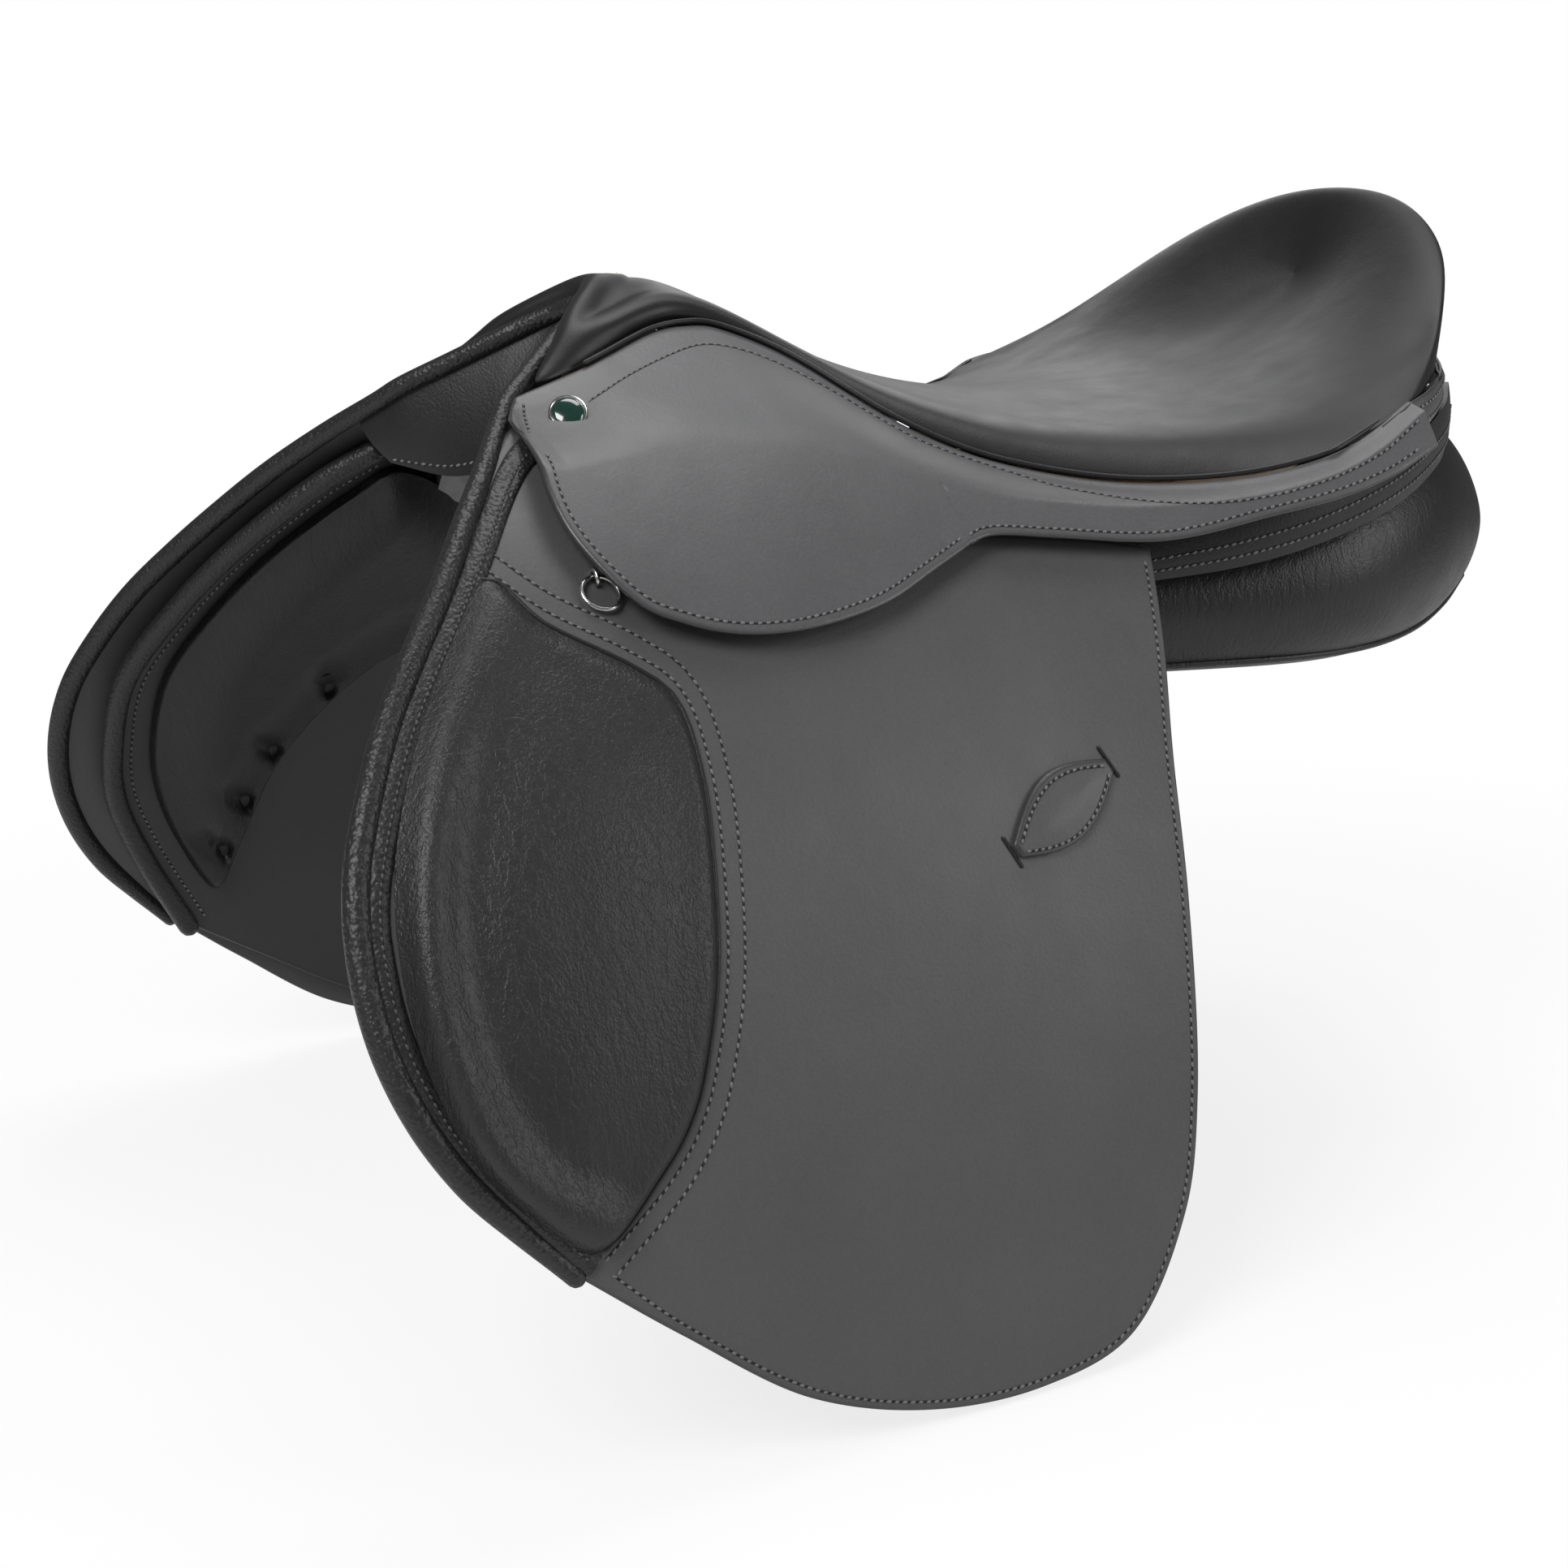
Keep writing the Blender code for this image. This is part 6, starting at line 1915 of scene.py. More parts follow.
@dataclass
class SweatFlap:
    """Sweat flap with its rolled edge and the padded bolster on its inner side."""

    kit: Kit
    front_points: tuple = (
        (0.1860, 0.0790), (0.2050, 0.0660), (0.2350, 0.0370), (0.2590, 0.0060), (0.2750, -0.0220),
        (0.2790, -0.0520), (0.2770, -0.0820), (0.2640, -0.1150), (0.2420, -0.1560),
    )
    rest_points: tuple = (
        (0.2060, -0.1780), (0.1600, -0.2060), (0.1200, -0.2200), (0.0750, -0.2230),
        (0.0380, -0.2110), (0.0160, -0.1750), (0.0060, -0.1000), (-0.0080, -0.0300),
        (-0.0200, 0.0080), (0.0300, 0.0160), (0.1000, 0.0300), (0.1400, 0.0520), (0.1660, 0.0700),
    )
    bolster_points: tuple = (
        (0.1700, 0.0700), (0.1900, 0.0600), (0.2200, 0.0330), (0.2430, 0.0040), (0.2580, -0.0230),
        (0.2620, -0.0530), (0.2590, -0.0800), (0.2480, -0.1090), (0.2290, -0.1380),
        (0.2170, -0.1150), (0.2020, -0.0780), (0.1800, -0.0490), (0.1550, -0.0280),
        (0.1250, -0.0150), (0.1120, 0.0150), (0.1300, 0.0480),
    )
    puckers: tuple = (
        (0.1990, -0.0720, 0.62), (0.2120, -0.0960, 0.60), (0.2230, -0.1200, 0.66),
        (0.1760, -0.0440, 0.95),
    )
    middle: tuple = (0.135, -0.060)
    bolster_middle: tuple = (0.216, -0.036)
    roll_radius: float = 0.0048
    roll_margin: float = 0.0042
    tail_margin: float = 0.0036
    bolster_gap: float = 0.0009
    bolster_side: float = 0.0030
    bolster_crown: float = 0.0150
    pucker_depth: float = 0.0090
    pucker_width: float = 0.0052

    def build_sheet(self, side: Side) -> None:
        """Make the leather and its roll.

        Args:
            side: Side to build.
        """
        front = spline(self.front_points, 90)
        edge = inset(front, -0.0008)
        rest = spline([tuple(edge[-1]), *self.rest_points, tuple(edge[0])], 220)[1:-1]
        half = SWEAT_LEATHER / 2

        def outer(x: Array, z: Array, distance: Array) -> Array:
            """Layer of the outer face."""
            return half + half * cut_edge(distance, half)

        def inner(x: Array, z: Array, distance: Array) -> Array:
            """Layer of the inner face."""
            return half - half * cut_edge(distance, half)

        shell = Patch(np.vstack([edge, rest]), self.middle, spans=16).shell(outer, inner)
        self.kit.on_side(side, "sweat_flap_leather", shell, "sweat", Slot.SMOOTH, "saddle", "sweat_flap")
        path = FLANK.place(*spline(self.front_points, 160).T, SWEAT_LEATHER - self.roll_radius + 0.001)
        roll = tube(path, self.roll_radius, 20)
        self.kit.on_side(side, "sweat_flap_edge", roll, "roll", Slot.GRAINED, "saddle", "sweat_flap_roll")
        inside = inset(spline(self.front_points, 200), -(self.roll_radius + self.roll_margin))
        rows = self.kit.rows(side.named("sweat_flap_stitches"))
        x, z = inside.T
        rows.add(FLANK.place(x, z, np.full_like(x, -0.0001)), -FLANK.normal(x, z))
        tail = spline([(0.2390, -0.1580), *self.rest_points[:9]], 200)
        rows.on_flank(inset(tail, -self.tail_margin)[2:], lambda x, z: np.full_like(x, SWEAT_LEATHER))
        fit(rows.build(side), "saddle")

    def build_bolster(self, side: Side) -> None:
        """Make the padded bolster with the puckers along its lower edge.

        Args:
            side: Side to build.
        """
        line = spline(self.bolster_points, 260, closed=True)

        def hollow(x: Array, z: Array, distance: Array) -> Array:
            """Layer of the padded face, which points inward.

            Args:
                x: Lengthwise places.
                z: Heights.
                distance: Distances from the outline.

            Returns:
                One value for each place.
            """
            crown = self.bolster_side * ease(-0.0002, 0.0020, distance)
            crown = crown + self.bolster_crown * ease(-0.004, 0.032, distance) ** 0.8
            for at_x, at_z, heading in self.puckers:
                run_x, run_z = math.cos(heading), math.sin(heading)
                along = (x - at_x) * run_x + (z - at_z) * run_z
                across = -(x - at_x) * run_z + (z - at_z) * run_x
                depth = self.pucker_depth * ease(0.034, 0.004, along) * ease(-0.02, 0.0, along)
                crown = crown - depth * bump(across, 0.0, self.pucker_width) * ease(0.0, 0.006, distance)
            return -self.bolster_gap - crown

        def back(x: Array, z: Array, distance: Array) -> Array:
            """Layer of the face that lies on the leather."""
            return np.full_like(x, -self.bolster_gap)

        insets = (0.0, 0.0004, 0.0010, 0.0018, 0.0030, 0.0048, 0.0072, 0.0100, 0.0135)
        shell = Patch(line, self.bolster_middle, insets, 24).shell(back, hollow)
        names = ("saddle", "front_bolster")
        self.kit.on_side(side, "bolster_cover", shell, "panel", Slot.PADDED, *names)

    def build(self) -> None:
        """Make both sides."""
        for side in Side:
            self.build_sheet(side)
            self.build_bolster(side)


@dataclass
class Panels:
    """Wool-filled panels with their gussets and piping."""

    kit: Kit
    stations: tuple = (
        (0.148, 0.034, 0.066, 0.0780, 0.0720, 0.0480, 0.0380),
        (0.120, 0.030, 0.082, 0.0740, 0.0670, 0.0280, 0.0060),
        (0.070, 0.028, 0.098, 0.0670, 0.0610, 0.0080, -0.0100),
        (0.010, 0.028, 0.112, 0.0620, 0.0600, -0.0020, -0.0140),
        (-0.050, 0.028, 0.126, 0.0520, 0.0480, -0.0060, -0.0160),
        (-0.110, 0.030, 0.140, 0.0520, 0.0480, -0.0100, -0.0180),
        (-0.165, 0.033, 0.146, 0.0650, 0.0620, -0.0130, -0.0200),
        (-0.215, 0.037, 0.134, 0.0780, 0.0770, -0.0130, -0.0170),
        (-0.255, 0.044, 0.112, 0.0890, 0.0740, -0.0070, -0.0080),
        (-0.281, 0.056, 0.094, 0.0600, 0.0520, 0.0080, 0.0080),
    )
    even_rounds: int = 60
    piping_radius: float = 0.0015
    gusset_swell: float = 0.0012
    gusset_leather: float = 0.002
    gusset_rows: tuple = (0.45, 0.75)
    gusset_top: tuple = (
        (-0.048, 0.1360, 0.0450), (-0.090, 0.1490, 0.0530), (-0.130, 0.1560, 0.0630),
        (-0.170, 0.1535, 0.0765), (-0.210, 0.1340, 0.0890), (-0.243, 0.1035, 0.0960),
    )
    gusset_low: tuple = (
        (-0.048, 0.1360, 0.0300), (-0.090, 0.1490, 0.0345), (-0.130, 0.1540, 0.0420),
        (-0.170, 0.1510, 0.0530), (-0.212, 0.1310, 0.0650), (-0.246, 0.1010, 0.0730),
    )

    def ring(self, station: Array) -> Array:
        """Cross-section of a panel at a station.

        Args:
            station: Place, inner and outer width, then the heights of top and underside.

        Returns:
            Ring of points.
        """
        x, inner_y, outer_y, top_in, top_out, low_in, low_out = station
        width = outer_y - inner_y
        corners = [
            (inner_y, (top_in + low_in) / 2),
            (inner_y + 0.006, top_in * 0.85 + low_in * 0.15),
            (inner_y + 0.30 * width, top_in),
            (inner_y + 0.70 * width, top_out),
            (outer_y - 0.008, top_out * 0.85 + low_out * 0.15),
            (outer_y, (top_out + low_out) / 2),
            (outer_y - 0.006, top_out * 0.18 + low_out * 0.82),
            (inner_y + 0.78 * width, low_out),
            (inner_y + 0.25 * width, low_in),
            (inner_y + 0.006, top_in * 0.15 + low_in * 0.85),
        ]
        return spline([(x, y, z) for y, z in corners], 72, closed=True)

    def rings(self) -> list:
        """Cross-sections from the front of the panel to its rear."""
        return [self.ring(station) for station in spline(self.stations, 110)]

    def even(self, rings: Array) -> list:
        """Smooth the panel along and around, with its ends held.

        Args:
            rings: Rings by points by 3.

        Returns:
            The evened rings.
        """
        for _ in range(self.even_rounds):
            around = (np.roll(rings, 1, axis=1) + np.roll(rings, -1, axis=1)) / 2
            along = rings.copy()
            along[1:-1] = (rings[:-2] + rings[2:]) / 2
            rings = 0.5 * rings + 0.25 * around + 0.25 * along
        return list(rings)

    def shell(self) -> Shell:
        """Whole panel with rounded ends.

        Returns:
            The closed shell.
        """
        rings = self.rings()
        caps = []
        for end, way in ((rings[0], 1.0), (rings[-1], -1.0)):
            centre = end.mean(axis=0)
            cap = []
            for angle in np.radians([18.0, 36.0, 54.0, 70.0, 84.0]):
                ring = centre + (end - centre) * math.cos(angle)
                cap.append(ring + np.array([way * 0.008 * math.sin(angle), 0.0, 0.0]))
            caps.append(cap)
        rings = caps[0][::-1] + rings + caps[1]
        return capped(self.even(np.array(rings)))

    def piping_path(self) -> Array:
        """Line of the seam along the lower outer edge of the panel.

        Returns:
            Points along the seam.
        """
        rings = self.even(np.array(self.rings()))
        path = []
        for ring in rings[42:-1]:
            lean = 0.75 * ring[:, 1] - ring[:, 2]
            weight = np.exp((lean - lean.max()) / 0.0006)[:, None]
            best = (ring * weight).sum(axis=0) / weight.sum()
            path.append(best + (best - ring.mean(axis=0)) * 0.010)
        return spline(path[::9], 150)

    def build(self) -> None:
        """Make both panels, gussets and their stitching."""
        top = spline(self.gusset_top, 120)
        low = spline(self.gusset_low, 120)
        along = np.gradient((top + low) / 2, axis=0)
        ways = unit(np.cross(along, low - top))
        ways *= np.sign((ways * ((top + low) / 2 - np.array([-0.05, 0.0, 0.06]))).sum(axis=1))[:, None]
        shares = np.linspace(0.0, 1.0, 14)[None, :, None]
        outer = top[:, None, :] + (low - top)[:, None, :] * shares
        outer = outer + ways[:, None, :] * (self.gusset_swell * np.sin(np.pi * shares))
        inner = outer - ways[:, None, :] * self.gusset_leather
        strip = closed_grid(outer, inner, np.zeros(outer.shape[:2]))
        shell = self.shell()
        piping = tube(self.piping_path(), self.piping_radius, 12)
        for side in Side:
            piece = self.kit.on_side(side, "panel_cover", shell, "panel", Slot.PADDED, "saddle", "panel")
            self.kit.on_side(side, "panel_piping", piping, "panel", Slot.PADDED, "saddle")
            self.kit.on_side(side, "gusset_leather", strip, "facing", Slot.SMOOTH, "saddle", "panel_gusset")
            rows = self.kit.rows(side.named("gusset_stitches"))
            for share in self.gusset_rows:
                rise = self.gusset_swell * math.sin(math.pi * share) + 0.0001
                line = top + (low - top) * share + ways * rise
                rows.add(line, ways)
            fit(rows.build(side), "saddle")


@dataclass
class Pommel:
    """Leather facing inside the arch, the piping of the seat and the cantle's binding."""

    kit: Kit
    skirts: Skirts
    seat: Seat
    arch_top: tuple = (*Flap.arch_points, (0.1960, 0.0705, 0.0960))
    facing_low: tuple = (
        (0.1560, 0.000, 0.0760), (0.1600, 0.018, 0.0745), (0.1700, 0.038, 0.0715),
        (0.1860, 0.060, 0.0760),
    )
    facing_drop: tuple = (-0.0008, 0.0, -0.0030)
    facing_leather: float = 0.0022
    facing_swell: float = 0.0016
    facing_row: float = 0.90
    welt_radius: float = 0.0011
    band_start: tuple = ((-0.152, 0.0868), (-0.160, 0.0910), (-0.168, 0.0953))
    band_from: float = -0.186
    band_reach: float = 0.0026
    band_fall: float = -0.0008
    band_height: float = 0.0140
    band_leather: float = 0.0026
    band_swell: float = 0.0014
    band_rows: tuple = (0.28, 0.74)

    def mirrored_line(self, points: Sequence, count: int) -> Array:
        """Line from the far side over the middle to the near side."""
        near = spline(points, count)
        return np.vstack([near[:0:-1] * MIRROR, near])

    def build_facing(self) -> None:
        """Make the facing and a row of stitches near its lower edge."""
        top = self.mirrored_line(self.arch_top, 70) + np.array(self.facing_drop)
        low = self.mirrored_line(self.facing_low, 70)
        shares = np.linspace(0.0, 1.0, 26)[None, :, None]
        outer = top[:, None, :] + (low - top)[:, None, :] * shares
        swell = self.facing_swell * np.sin(np.pi * shares[..., 0])
        outer = outer + np.stack([swell, 0 * swell, 0 * swell], axis=-1)
        inner = outer - np.array([self.facing_leather, 0.0, 0.0])
        shell = closed_grid(outer, inner, np.zeros(outer.shape[:2]))
        self.kit.piece("pommel_facing_leather", shell, "facing", Slot.SMOOTH, "pommel_facing")
        rows = self.kit.rows("facing_stitches")
        ways = np.tile([1.0, 0.0, 0.25], (len(top), 1))
        line = top + (low - top) * self.facing_row + np.array([0.0004, 0.0, 0.0])
        rows.add(line[4:-4], unit(ways)[4:-4])
        fit(rows.build(Side.LEFT), "saddle")

    def build_welts(self) -> None:
        """Make the piping between seat and skirt, and the binding under the cantle."""
        x, z = spline(self.skirts.top_points[1:-1], 150).T
        shift = np.array([0.0, -self.welt_radius, self.welt_radius + 0.0008])
        near = FLANK.place(x, z, self.skirts.outer(x, z)) + shift
        edge, outward = self.cantle_edge()
        rear = edge + outward * 0.0009 - np.array([0.0, 0.0, self.welt_radius * 0.6])
        path = spline([*near[::6], *rear[rear[:, 0] < self.band_from][::3], rear[-1]], 260)
        for side in Side:
            piping = tube(path, self.welt_radius, 12)
            self.kit.on_side(side, "seat_piping", piping, "seat", Slot.SMOOTH, "saddle", "seat_welt")
        self.build_cantle_band()

    def cantle_edge(self) -> tuple:
        """Lower edge of the seat at the rear, near side, with its outward directions in plan.

        Returns:
            Points of the edge, and the direction at each.
        """
        skin, _ = self.seat.skin()
        edge = skin[65:, 0]
        along = np.gradient(edge, axis=0)
        outward = unit(np.stack([along[:, 1], -along[:, 0], 0.0 * along[:, 0]], axis=1))
        outward[-1] = (-1.0, 0.0, 0.0)
        return edge, outward

    def build_cantle_band(self) -> None:
        """Make the band of leather that carries the skirts on round the cantle."""
        edge, outward = self.cantle_edge()
        rear = edge + outward * self.band_reach - np.array([0.0, 0.0, self.band_fall])
        x, z = np.array(self.band_start).T
        on_skirt = FLANK.place(x, z, self.skirts.outer(x, z) + 0.0002)
        top = spline([*on_skirt, *rear[rear[:, 0] < self.band_from][::4], rear[-1]], 110)[::-1]
        top[0, 1] = 0.0
        along = np.gradient(top, axis=0)
        outward = unit(np.stack([-along[:, 1], along[:, 0], 0.0 * along[:, 0]], axis=1))
        outward *= np.sign(outward @ np.array([-0.4, 1.0, 0.0]))[:, None]
        outward[0] = (-1.0, 0.0, 0.0)
        low = top - np.array([0.0, 0.0, self.band_height])
        shares = np.linspace(0.0, 1.0, 22)
        grid = top[:, None, :] + (low - top)[:, None, :] * shares[None, :, None]
        swell = self.band_swell * np.sin(np.pi * shares) ** 0.6
        grid = grid + outward[:, None, :] * swell[None, :, None]
        grid = np.concatenate([grid[:0:-1] * MIRROR, grid])
        ways = np.concatenate([outward[:0:-1] * MIRROR, outward])[:, None, :]
        thick = (self.band_leather * np.clip(np.sin(np.pi * shares) * 4.0, 0.15, 1.0))[None, :, None]
        near = np.tile(1.0 - ease(0.0, 0.16, np.minimum(shares, 1.0 - shares)), (len(grid), 1))
        shell = closed_grid(grid, grid - ways * thick, near)
        self.kit.piece("cantle_band", shell, "skirt", Slot.SMOOTH, "cantle_binding")
        rows = self.kit.rows("cantle_stitches")
        for share in self.band_rows:
            column = int(share * len(shares))
            rows.add(grid[3:-3, column] + ways[3:-3, 0] * 0.0001, ways[3:-3, 0])
        fit(rows.build(Side.LEFT), "saddle")

    def build(self) -> None:
        """Make the facing, the welts and the cantle's band."""
        self.build_facing()
        self.build_welts()


@dataclass
class Fittings:
    """Head nails, dee rings, staples, and the bare steel and wood of the frame."""

    kit: Kit
    skirts: Skirts
    flap: Flap
    nail: tuple = (0.1665, 0.1050)
    nail_rise: float = 0.0010
    nail_radius: float = 0.0073
    nail_way: tuple = (0.30, 0.74, 0.60)
    rim: tuple = (
        (0.60, -0.0030), (0.90, -0.0026), (1.0, 0.0004), (0.985, 0.0010),
        (0.94, 0.0014), (0.88, 0.0013), (0.84, 0.0008), (0.60, 0.0006),
    )
    dome: tuple = (
        (0.70, 0.0002), (0.83, 0.0008), (0.80, 0.0012), (0.66, 0.0017),
        (0.45, 0.00205), (0.22, 0.00222), (0.04, 0.0023),
    )
    dee: tuple = (0.1840, 0.0525)
    dee_width: float = 0.0140
    wire_radius: float = 0.0009
    staple_radius: float = 0.0008
    staple_arch: tuple = (
        (-0.0029, 0.0003), (-0.0029, 0.0018), (-0.0018, 0.0031), (0.0, 0.0035), (0.0018, 0.0031),
        (0.0029, 0.0018), (0.0029, 0.0003),
    )

    def build_nails(self) -> None:
        """Make the bright rim and the green dome of each head nail."""
        x, z = (np.array([value]) for value in self.nail)
        axis = unit(np.array(self.nail_way))
        place = FLANK.place(x, z, self.skirts.outer(x, z) + self.nail_rise)[0]
        rim, dome = (
            lathe([(self.nail_radius * share, height) for share, height in profile], place, axis)
            for profile in (self.rim, self.dome)
        )
        for side in Side:
            self.kit.on_side(side, "nail_rim", rim, "bright", Slot.BRIGHT, "saddle", "head_nail")
            self.kit.on_side(side, "nail_dome", dome, "enamel", Slot.BRIGHT, "saddle")

    def build_dees(self) -> None:
        """Make each dee ring and the staple that holds it."""
        x, z = np.array(self.dee)
        place = FLANK.place(x, z, self.flap.face(x, z))
        outward = FLANK.normal(x, z)
        upward = unit(FLANK.place(x, z + 0.0005, 0.0) - FLANK.place(x, z, 0.0))
        forward = np.cross(outward, upward)
        arch = np.array([place + upward * across + outward * height for across, height in self.staple_arch])
        wire = place + outward * (self.wire_radius + 2 * GAP)
        angles = 2 * np.pi * np.arange(64) / 64
        radius = self.dee_width / 2
        sideways = np.outer(np.sin(angles), forward) * radius
        ring = wire + sideways + np.outer(np.cos(angles) - 1, upward) * radius
        sides = 12
        turns = 2 * np.pi * np.arange(sides) / sides
        points = []
        for point, angle in zip(ring, angles):
            out = forward * math.sin(angle) + upward * math.cos(angle)
            circle = np.cos(turns)[:, None] * out + np.sin(turns)[:, None] * outward
            points.append(point + self.wire_radius * circle)
        points = np.vstack(points)
        faces = []
        for row in range(len(ring)):
            after = (row + 1) % len(ring)
            for step in range(sides):
                turn = (step + 1) % sides
                corners = ((row, step), (row, turn), (after, turn), (after, step))
                faces.append(tuple(around * sides + step_on for around, step_on in corners))
        dee = Shell(points, faces, np.zeros(len(points)))
        staple = tube(spline(arch, 30), self.staple_radius, 12)
        for side in Side:
            self.kit.on_side(side, "dee_wire", dee, "bright", Slot.BRIGHT, "dee", "dee_ring")
            self.kit.on_side(side, "dee_holder", staple, "bright", Slot.BRIGHT, "flap", "dee_staple")

    def dress_frame(self) -> None:
        """Give the rigid nodes that stay their own finishes."""
        finishes = {
            "tree_frame": "beech",
            "head_plate": "forged",
            "spring_steel": "forged",
            "stirrup_bar": "forged",
            "tree_point": "forged",
            "bar_catch": "bright",
        }
        for name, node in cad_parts.items():
            for start, finish in finishes.items():
                if name.startswith(start):
                    node.data.materials.clear()
                    node.data.materials.append(self.kit.finishes[finish])

    def build(self) -> None:
        """Make the fittings."""
        self.build_nails()
        self.build_dees()
        self.dress_frame()


@dataclass
class Straps:
    """Girth straps and the webs that carry them."""

    kit: Kit
    width: float = 0.0250
    places: tuple = (("front", 0.118), ("middle", 0.080), ("rear", 0.048))
    top: float = 0.0400
    end: float = -0.1720
    hole_from: float = -0.150
    hole_pitch: float = 0.012
    holes: int = 9
    # Profile of each near-black disc that paints the shade in a strap hole: radius and height
    eye: tuple = ((0.0003, 0.0), (0.0021, 0.0), (0.0021, 0.0003), (0.0015, 0.0003), (0.0003, 0.00022))

    def strap(self, x: float) -> Shell:
        """Flat strap with rounded edges and a tapered end.

        Args:
            x: Place of its middle line.

        Returns:
            The closed shell.
        """
        heights = np.linspace(self.top, self.end, 120)
        taper = 1.0 - 0.42 * ease(self.end + 0.020, self.end, heights)
        across = np.array([-1.0, -0.97, -0.90, -0.75, -0.40, 0.0, 0.40, 0.75, 0.90, 0.97, 1.0])
        wide = x + taper[:, None] * across[None, :] * self.width / 2
        tall = np.broadcast_to(heights[:, None], wide.shape)
        half = STRAP_LEATHER / 2
        edge = self.width / 2 * (1.0 - np.abs(across))[None, :] * np.ones_like(wide)
        left = half * cut_edge(edge, half)
        middle = STRAP_LAYER + half
        outer = FLANK.place(wide, tall, middle + left)
        inner = FLANK.place(wide, tall, middle - left)
        return closed_grid(outer, inner, 1.0 - ease(0.0, 0.0022, edge))

    def hole_shades(self, x: float) -> Shell:
        """Near-black discs over the holes in the strap at a lengthwise place, painted shade of each hole,
        which is not cut.

        Args:
            x: Place of the strap's middle line.

        Returns:
            All painted hole shades of the strap.
        """
        heights = [self.hole_from + self.hole_pitch * index for index in range(self.holes)]
        hole_shade_discs = []
        for z in heights:
            axis = FLANK.normal(np.array(x), np.array(z))
            place = FLANK.place(x, z, STRAP_LAYER + STRAP_LEATHER) - axis * 0.0002
            hole_shade_discs.append(lathe(self.eye, place, axis, 16))
        return joined(hole_shade_discs)

    def build(self) -> None:
        """Make the straps, the near-black discs painted as shade in their holes, and the webs."""
        for name, x in self.places:
            shell = self.strap(x)
            hole_shades = self.hole_shades(x)
            for side in Side:
                body, node = f"strap_{name}", f"girth_strap_{name}"
                self.kit.on_side(side, f"girth_strap_leather_{name}", shell, "strap", Slot.SMOOTH, body, node)
                # Near-black discs: painted shade in the strap holes
                self.kit.on_side(side, f"strap_holes_{name}", hole_shades, "panel", Slot.SMOOTH, body)
        for name in ("girth_web_front", "girth_web_rear", "seat_web"):
            self.build_web(name)

    def build_web(self, name: str) -> None:
        """Make a copy of a web in woven linen.

        Args:
            name: Node that it replaces.
        """
        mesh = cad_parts[name].data.copy()
        mesh.name = f"{name}_linen"
        mesh.materials.clear()
        mesh.materials.append(self.kit.finishes["web"])
        piece = bpy.data.objects.new(mesh.name, mesh)
        bpy.context.scene.collection.objects.link(piece)
        fit(piece, "saddle", name)


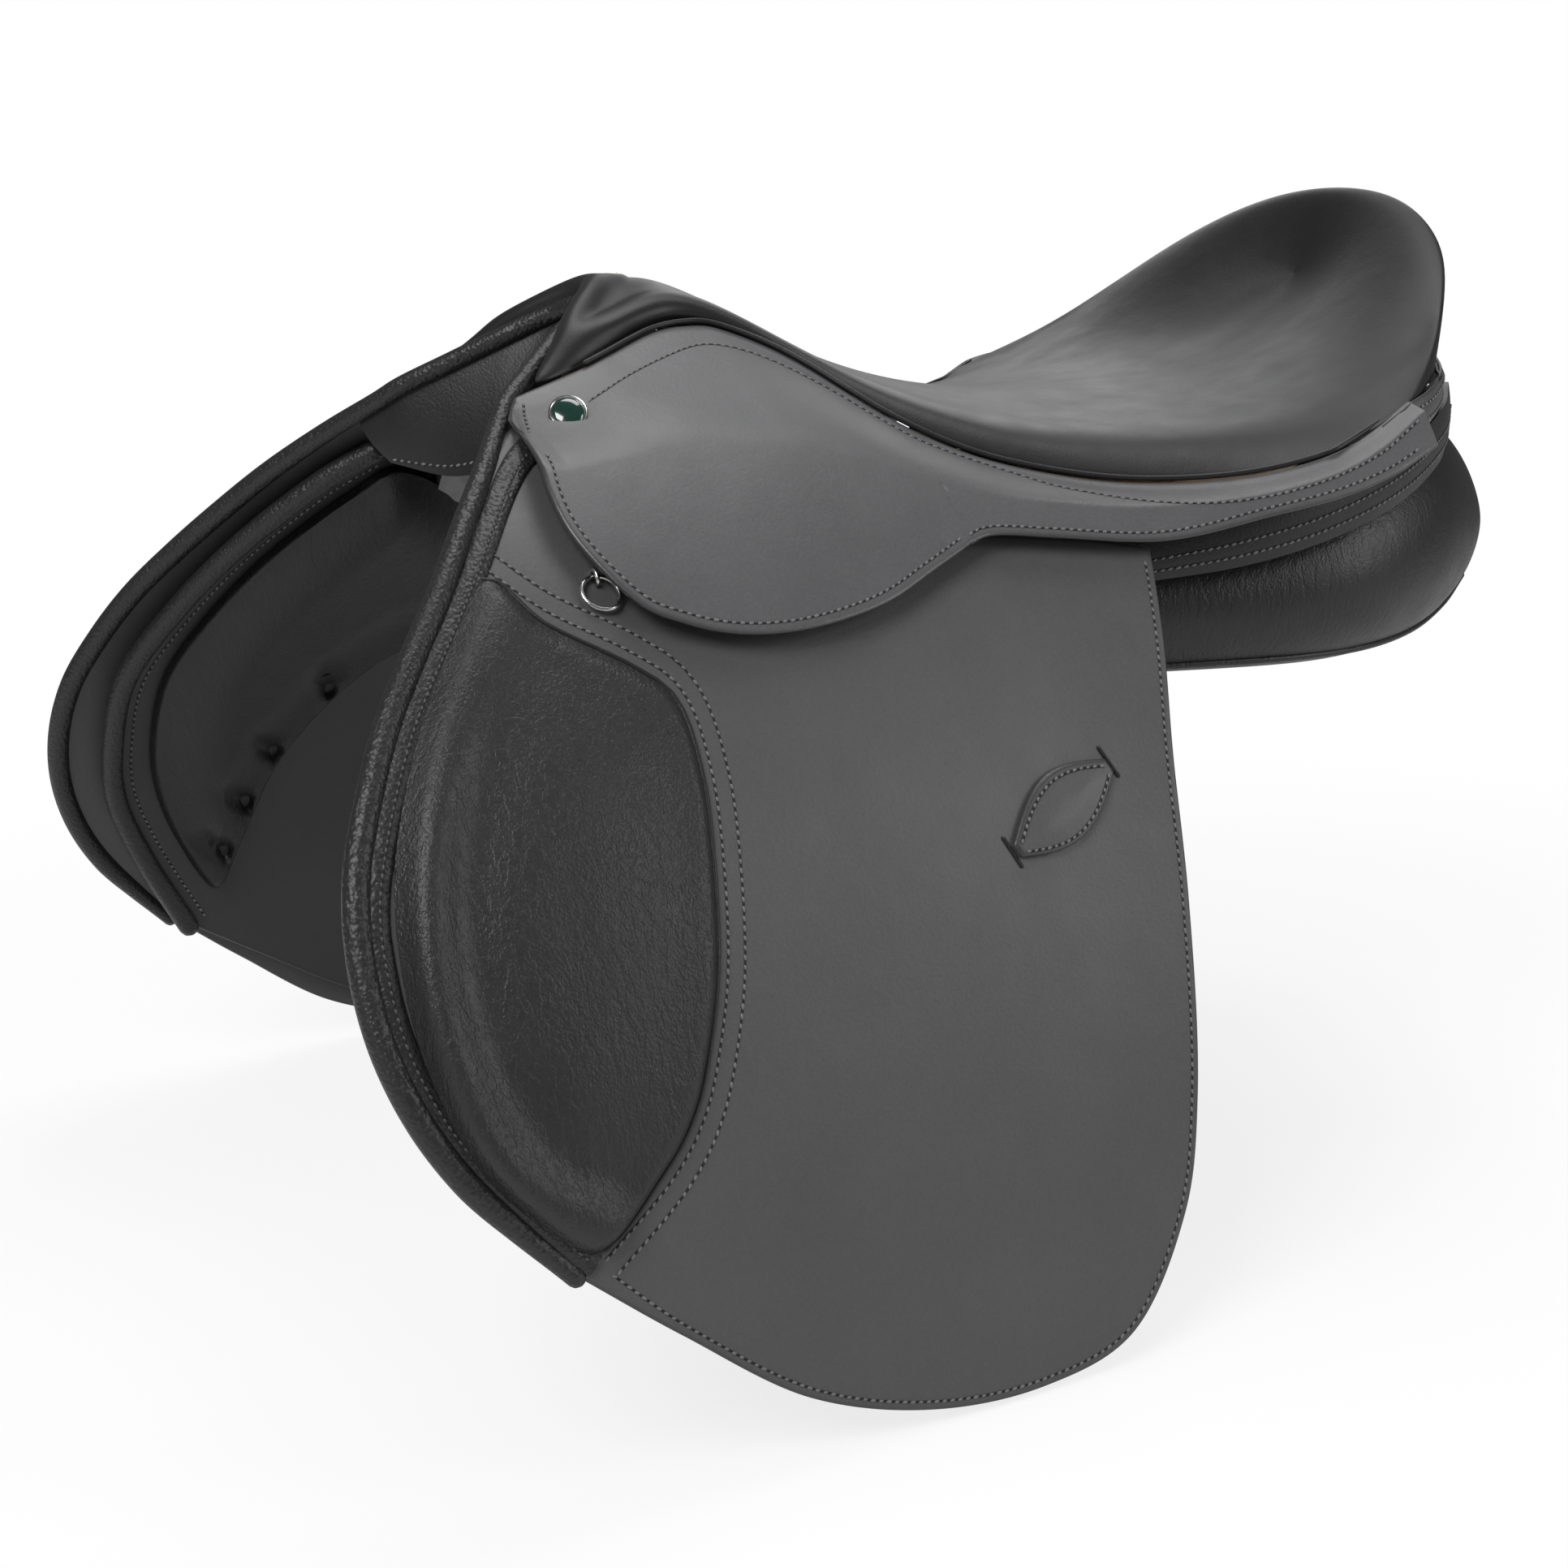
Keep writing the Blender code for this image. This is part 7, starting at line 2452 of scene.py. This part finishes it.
@dataclass(frozen=True)
class Studio:
    """Pale floor, soft lamps and the camera of the photograph."""

    turn: float = math.radians(29.72)
    rise: float = math.radians(14.18)
    roll: float = math.radians(-0.92)
    distance: float = 1.05
    lens: float = 55.23
    aim: tuple = (0.035, -0.0024, -0.0693)
    floor: float = -0.2375
    floor_reach: float = 6.0
    floor_tone: tuple = (0.86, 0.86, 0.86)
    shadow_reach: float = 0.30
    white_from: float = 0.95
    near_share: float = 0.80
    fill: float = 0.16

    def build_camera(self) -> None:
        """Place the camera at the photograph's viewing angle."""
        level = math.cos(self.rise)
        back = Vector((math.sin(self.turn) * level, math.cos(self.turn) * level, math.sin(self.rise)))
        right = Vector((-math.cos(self.turn), math.sin(self.turn), 0.0))
        up = back.cross(right)
        turned_right = right * math.cos(self.roll) + up * math.sin(self.roll)
        turned_up = up * math.cos(self.roll) - right * math.sin(self.roll)
        data = bpy.data.cameras.new("camera")
        data.sensor_width = 36.0
        data.lens = self.lens
        camera = bpy.data.objects.new("camera", data)
        bpy.context.scene.collection.objects.link(camera)
        matrix = Matrix((turned_right, turned_up, back)).transposed().to_4x4()
        matrix.translation = Vector(self.aim) + back * self.distance
        camera.matrix_world = matrix
        bpy.context.scene.camera = camera

    def add_lamp(self, name: str, place: tuple, size: tuple, power: float) -> None:
        """Add one soft lamp that faces the saddle.

        Args:
            name: Name of the lamp.
            place: Where it stands.
            size: Its width and height.
            power: Its power in watts.
        """
        data = bpy.data.lights.new(name, "AREA")
        data.shape = "RECTANGLE"
        data.size, data.size_y = size
        data.energy = power
        lamp = bpy.data.objects.new(name, data)
        bpy.context.scene.collection.objects.link(lamp)
        lamp.location = place
        lamp.rotation_euler = (Vector((0.03, 0.0, 0.0)) - Vector(place)).to_track_quat("-Z", "Y").to_euler()

    def build_world(self) -> None:
        """Make even pale light all round, white where the camera sees it."""
        world = bpy.data.worlds.new("studio")
        bpy.context.scene.world = world
        world.use_nodes = True
        tree = world.node_tree
        white = colour((1.0, 1.0, 1.0))
        light = tree.nodes["Background"]
        light.inputs["Color"].default_value = white
        light.inputs["Strength"].default_value = self.fill
        seen = add_node(tree, "ShaderNodeBackground", None, {"Color": white, "Strength": 1.0})
        rays = add_node(tree, "ShaderNodeLightPath").outputs["Is Camera Ray"]
        mix = add_node(tree, "ShaderNodeMixShader", None, {0: rays, 1: light.outputs[0], 2: seen.outputs[0]})
        tree.links.new(mix.outputs[0], tree.nodes["World Output"].inputs[0])

    def build_floor(self) -> None:
        """Make the pale floor, which keeps a soft shadow."""
        mesh = bpy.data.meshes.new("floor")
        reach = self.floor_reach
        corners = [(-reach, -reach), (reach, -reach), (reach, reach), (-reach, reach)]
        mesh.from_pydata([(x, y, self.floor) for x, y in corners], [], [(0, 1, 2, 3)])
        graph = Graph("floor")
        graph.fix(base_color=colour(self.floor_tone), roughness=0.9)
        away = graph.node("ShaderNodeVectorMath", {"operation": "LENGTH"}, {0: graph.coordinates()})
        inputs = {"Value": Field(graph, away.outputs["Value"])}
        inputs |= {"From Min": self.shadow_reach, "From Max": self.white_from}
        inputs |= {"To Min": self.near_share, "To Max": 1.0}
        fade = graph.node("ShaderNodeMapRange", {"interpolation_type": "SMOOTHSTEP"}, inputs)
        seen = Field(graph, graph.node("ShaderNodeLightPath").outputs["Is Camera Ray"])
        share = seen * Field(graph, fade.outputs["Result"])
        glow = graph.node("ShaderNodeEmission", None, {"Strength": 1.0})
        shaders = {0: share, 1: graph.shader.outputs[0], 2: glow.outputs[0]}
        mix = graph.node("ShaderNodeMixShader", None, shaders)
        graph.tree.links.new(mix.outputs[0], graph.tree.nodes["Material Output"].inputs["Surface"])
        mesh.materials.append(graph.material)
        floor = bpy.data.objects.new("floor", mesh)
        bpy.context.scene.collection.objects.link(floor)

    def build(self) -> None:
        """Make the whole studio."""
        bpy.context.scene.view_settings.view_transform = "Standard"
        self.build_camera()
        self.build_world()
        self.build_floor()
        self.add_lamp("key lamp", (1.30, 0.75, 1.25), (0.9, 0.9), 30.0)
        self.add_lamp("top lamp", (-0.25, -0.20, 1.50), (1.0, 0.7), 12.0)
        self.add_lamp("side lamp", (-1.10, 1.15, 0.55), (0.5, 0.9), 9.0)
        self.add_lamp("rear lamp", (-0.90, -1.00, 0.80), (0.9, 0.9), 4.0)


def main() -> None:
    """Build the saddle's looks in order."""
    logging.basicConfig(level=logging.INFO, format="%(message)s")
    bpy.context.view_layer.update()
    Studio().build()
    finishes = Finishes()
    finishes.build()
    kit = Kit(finishes, StitchTree())
    seat = Seat(kit)
    skirts = Skirts(kit)
    flap = Flap(kit)
    LOG.info("seat")
    seat.build()
    LOG.info("skirts")
    for side in Side:
        skirts.build(side)
    LOG.info("flaps")
    flap.build()
    LOG.info("sweat flaps")
    SweatFlap(kit).build()
    LOG.info("panels")
    Panels(kit).build()
    LOG.info("pommel and fittings")
    Pommel(kit, skirts, seat).build()
    Fittings(kit, skirts, flap).build()
    Straps(kit).build()


if __name__ == "__main__":
    main()
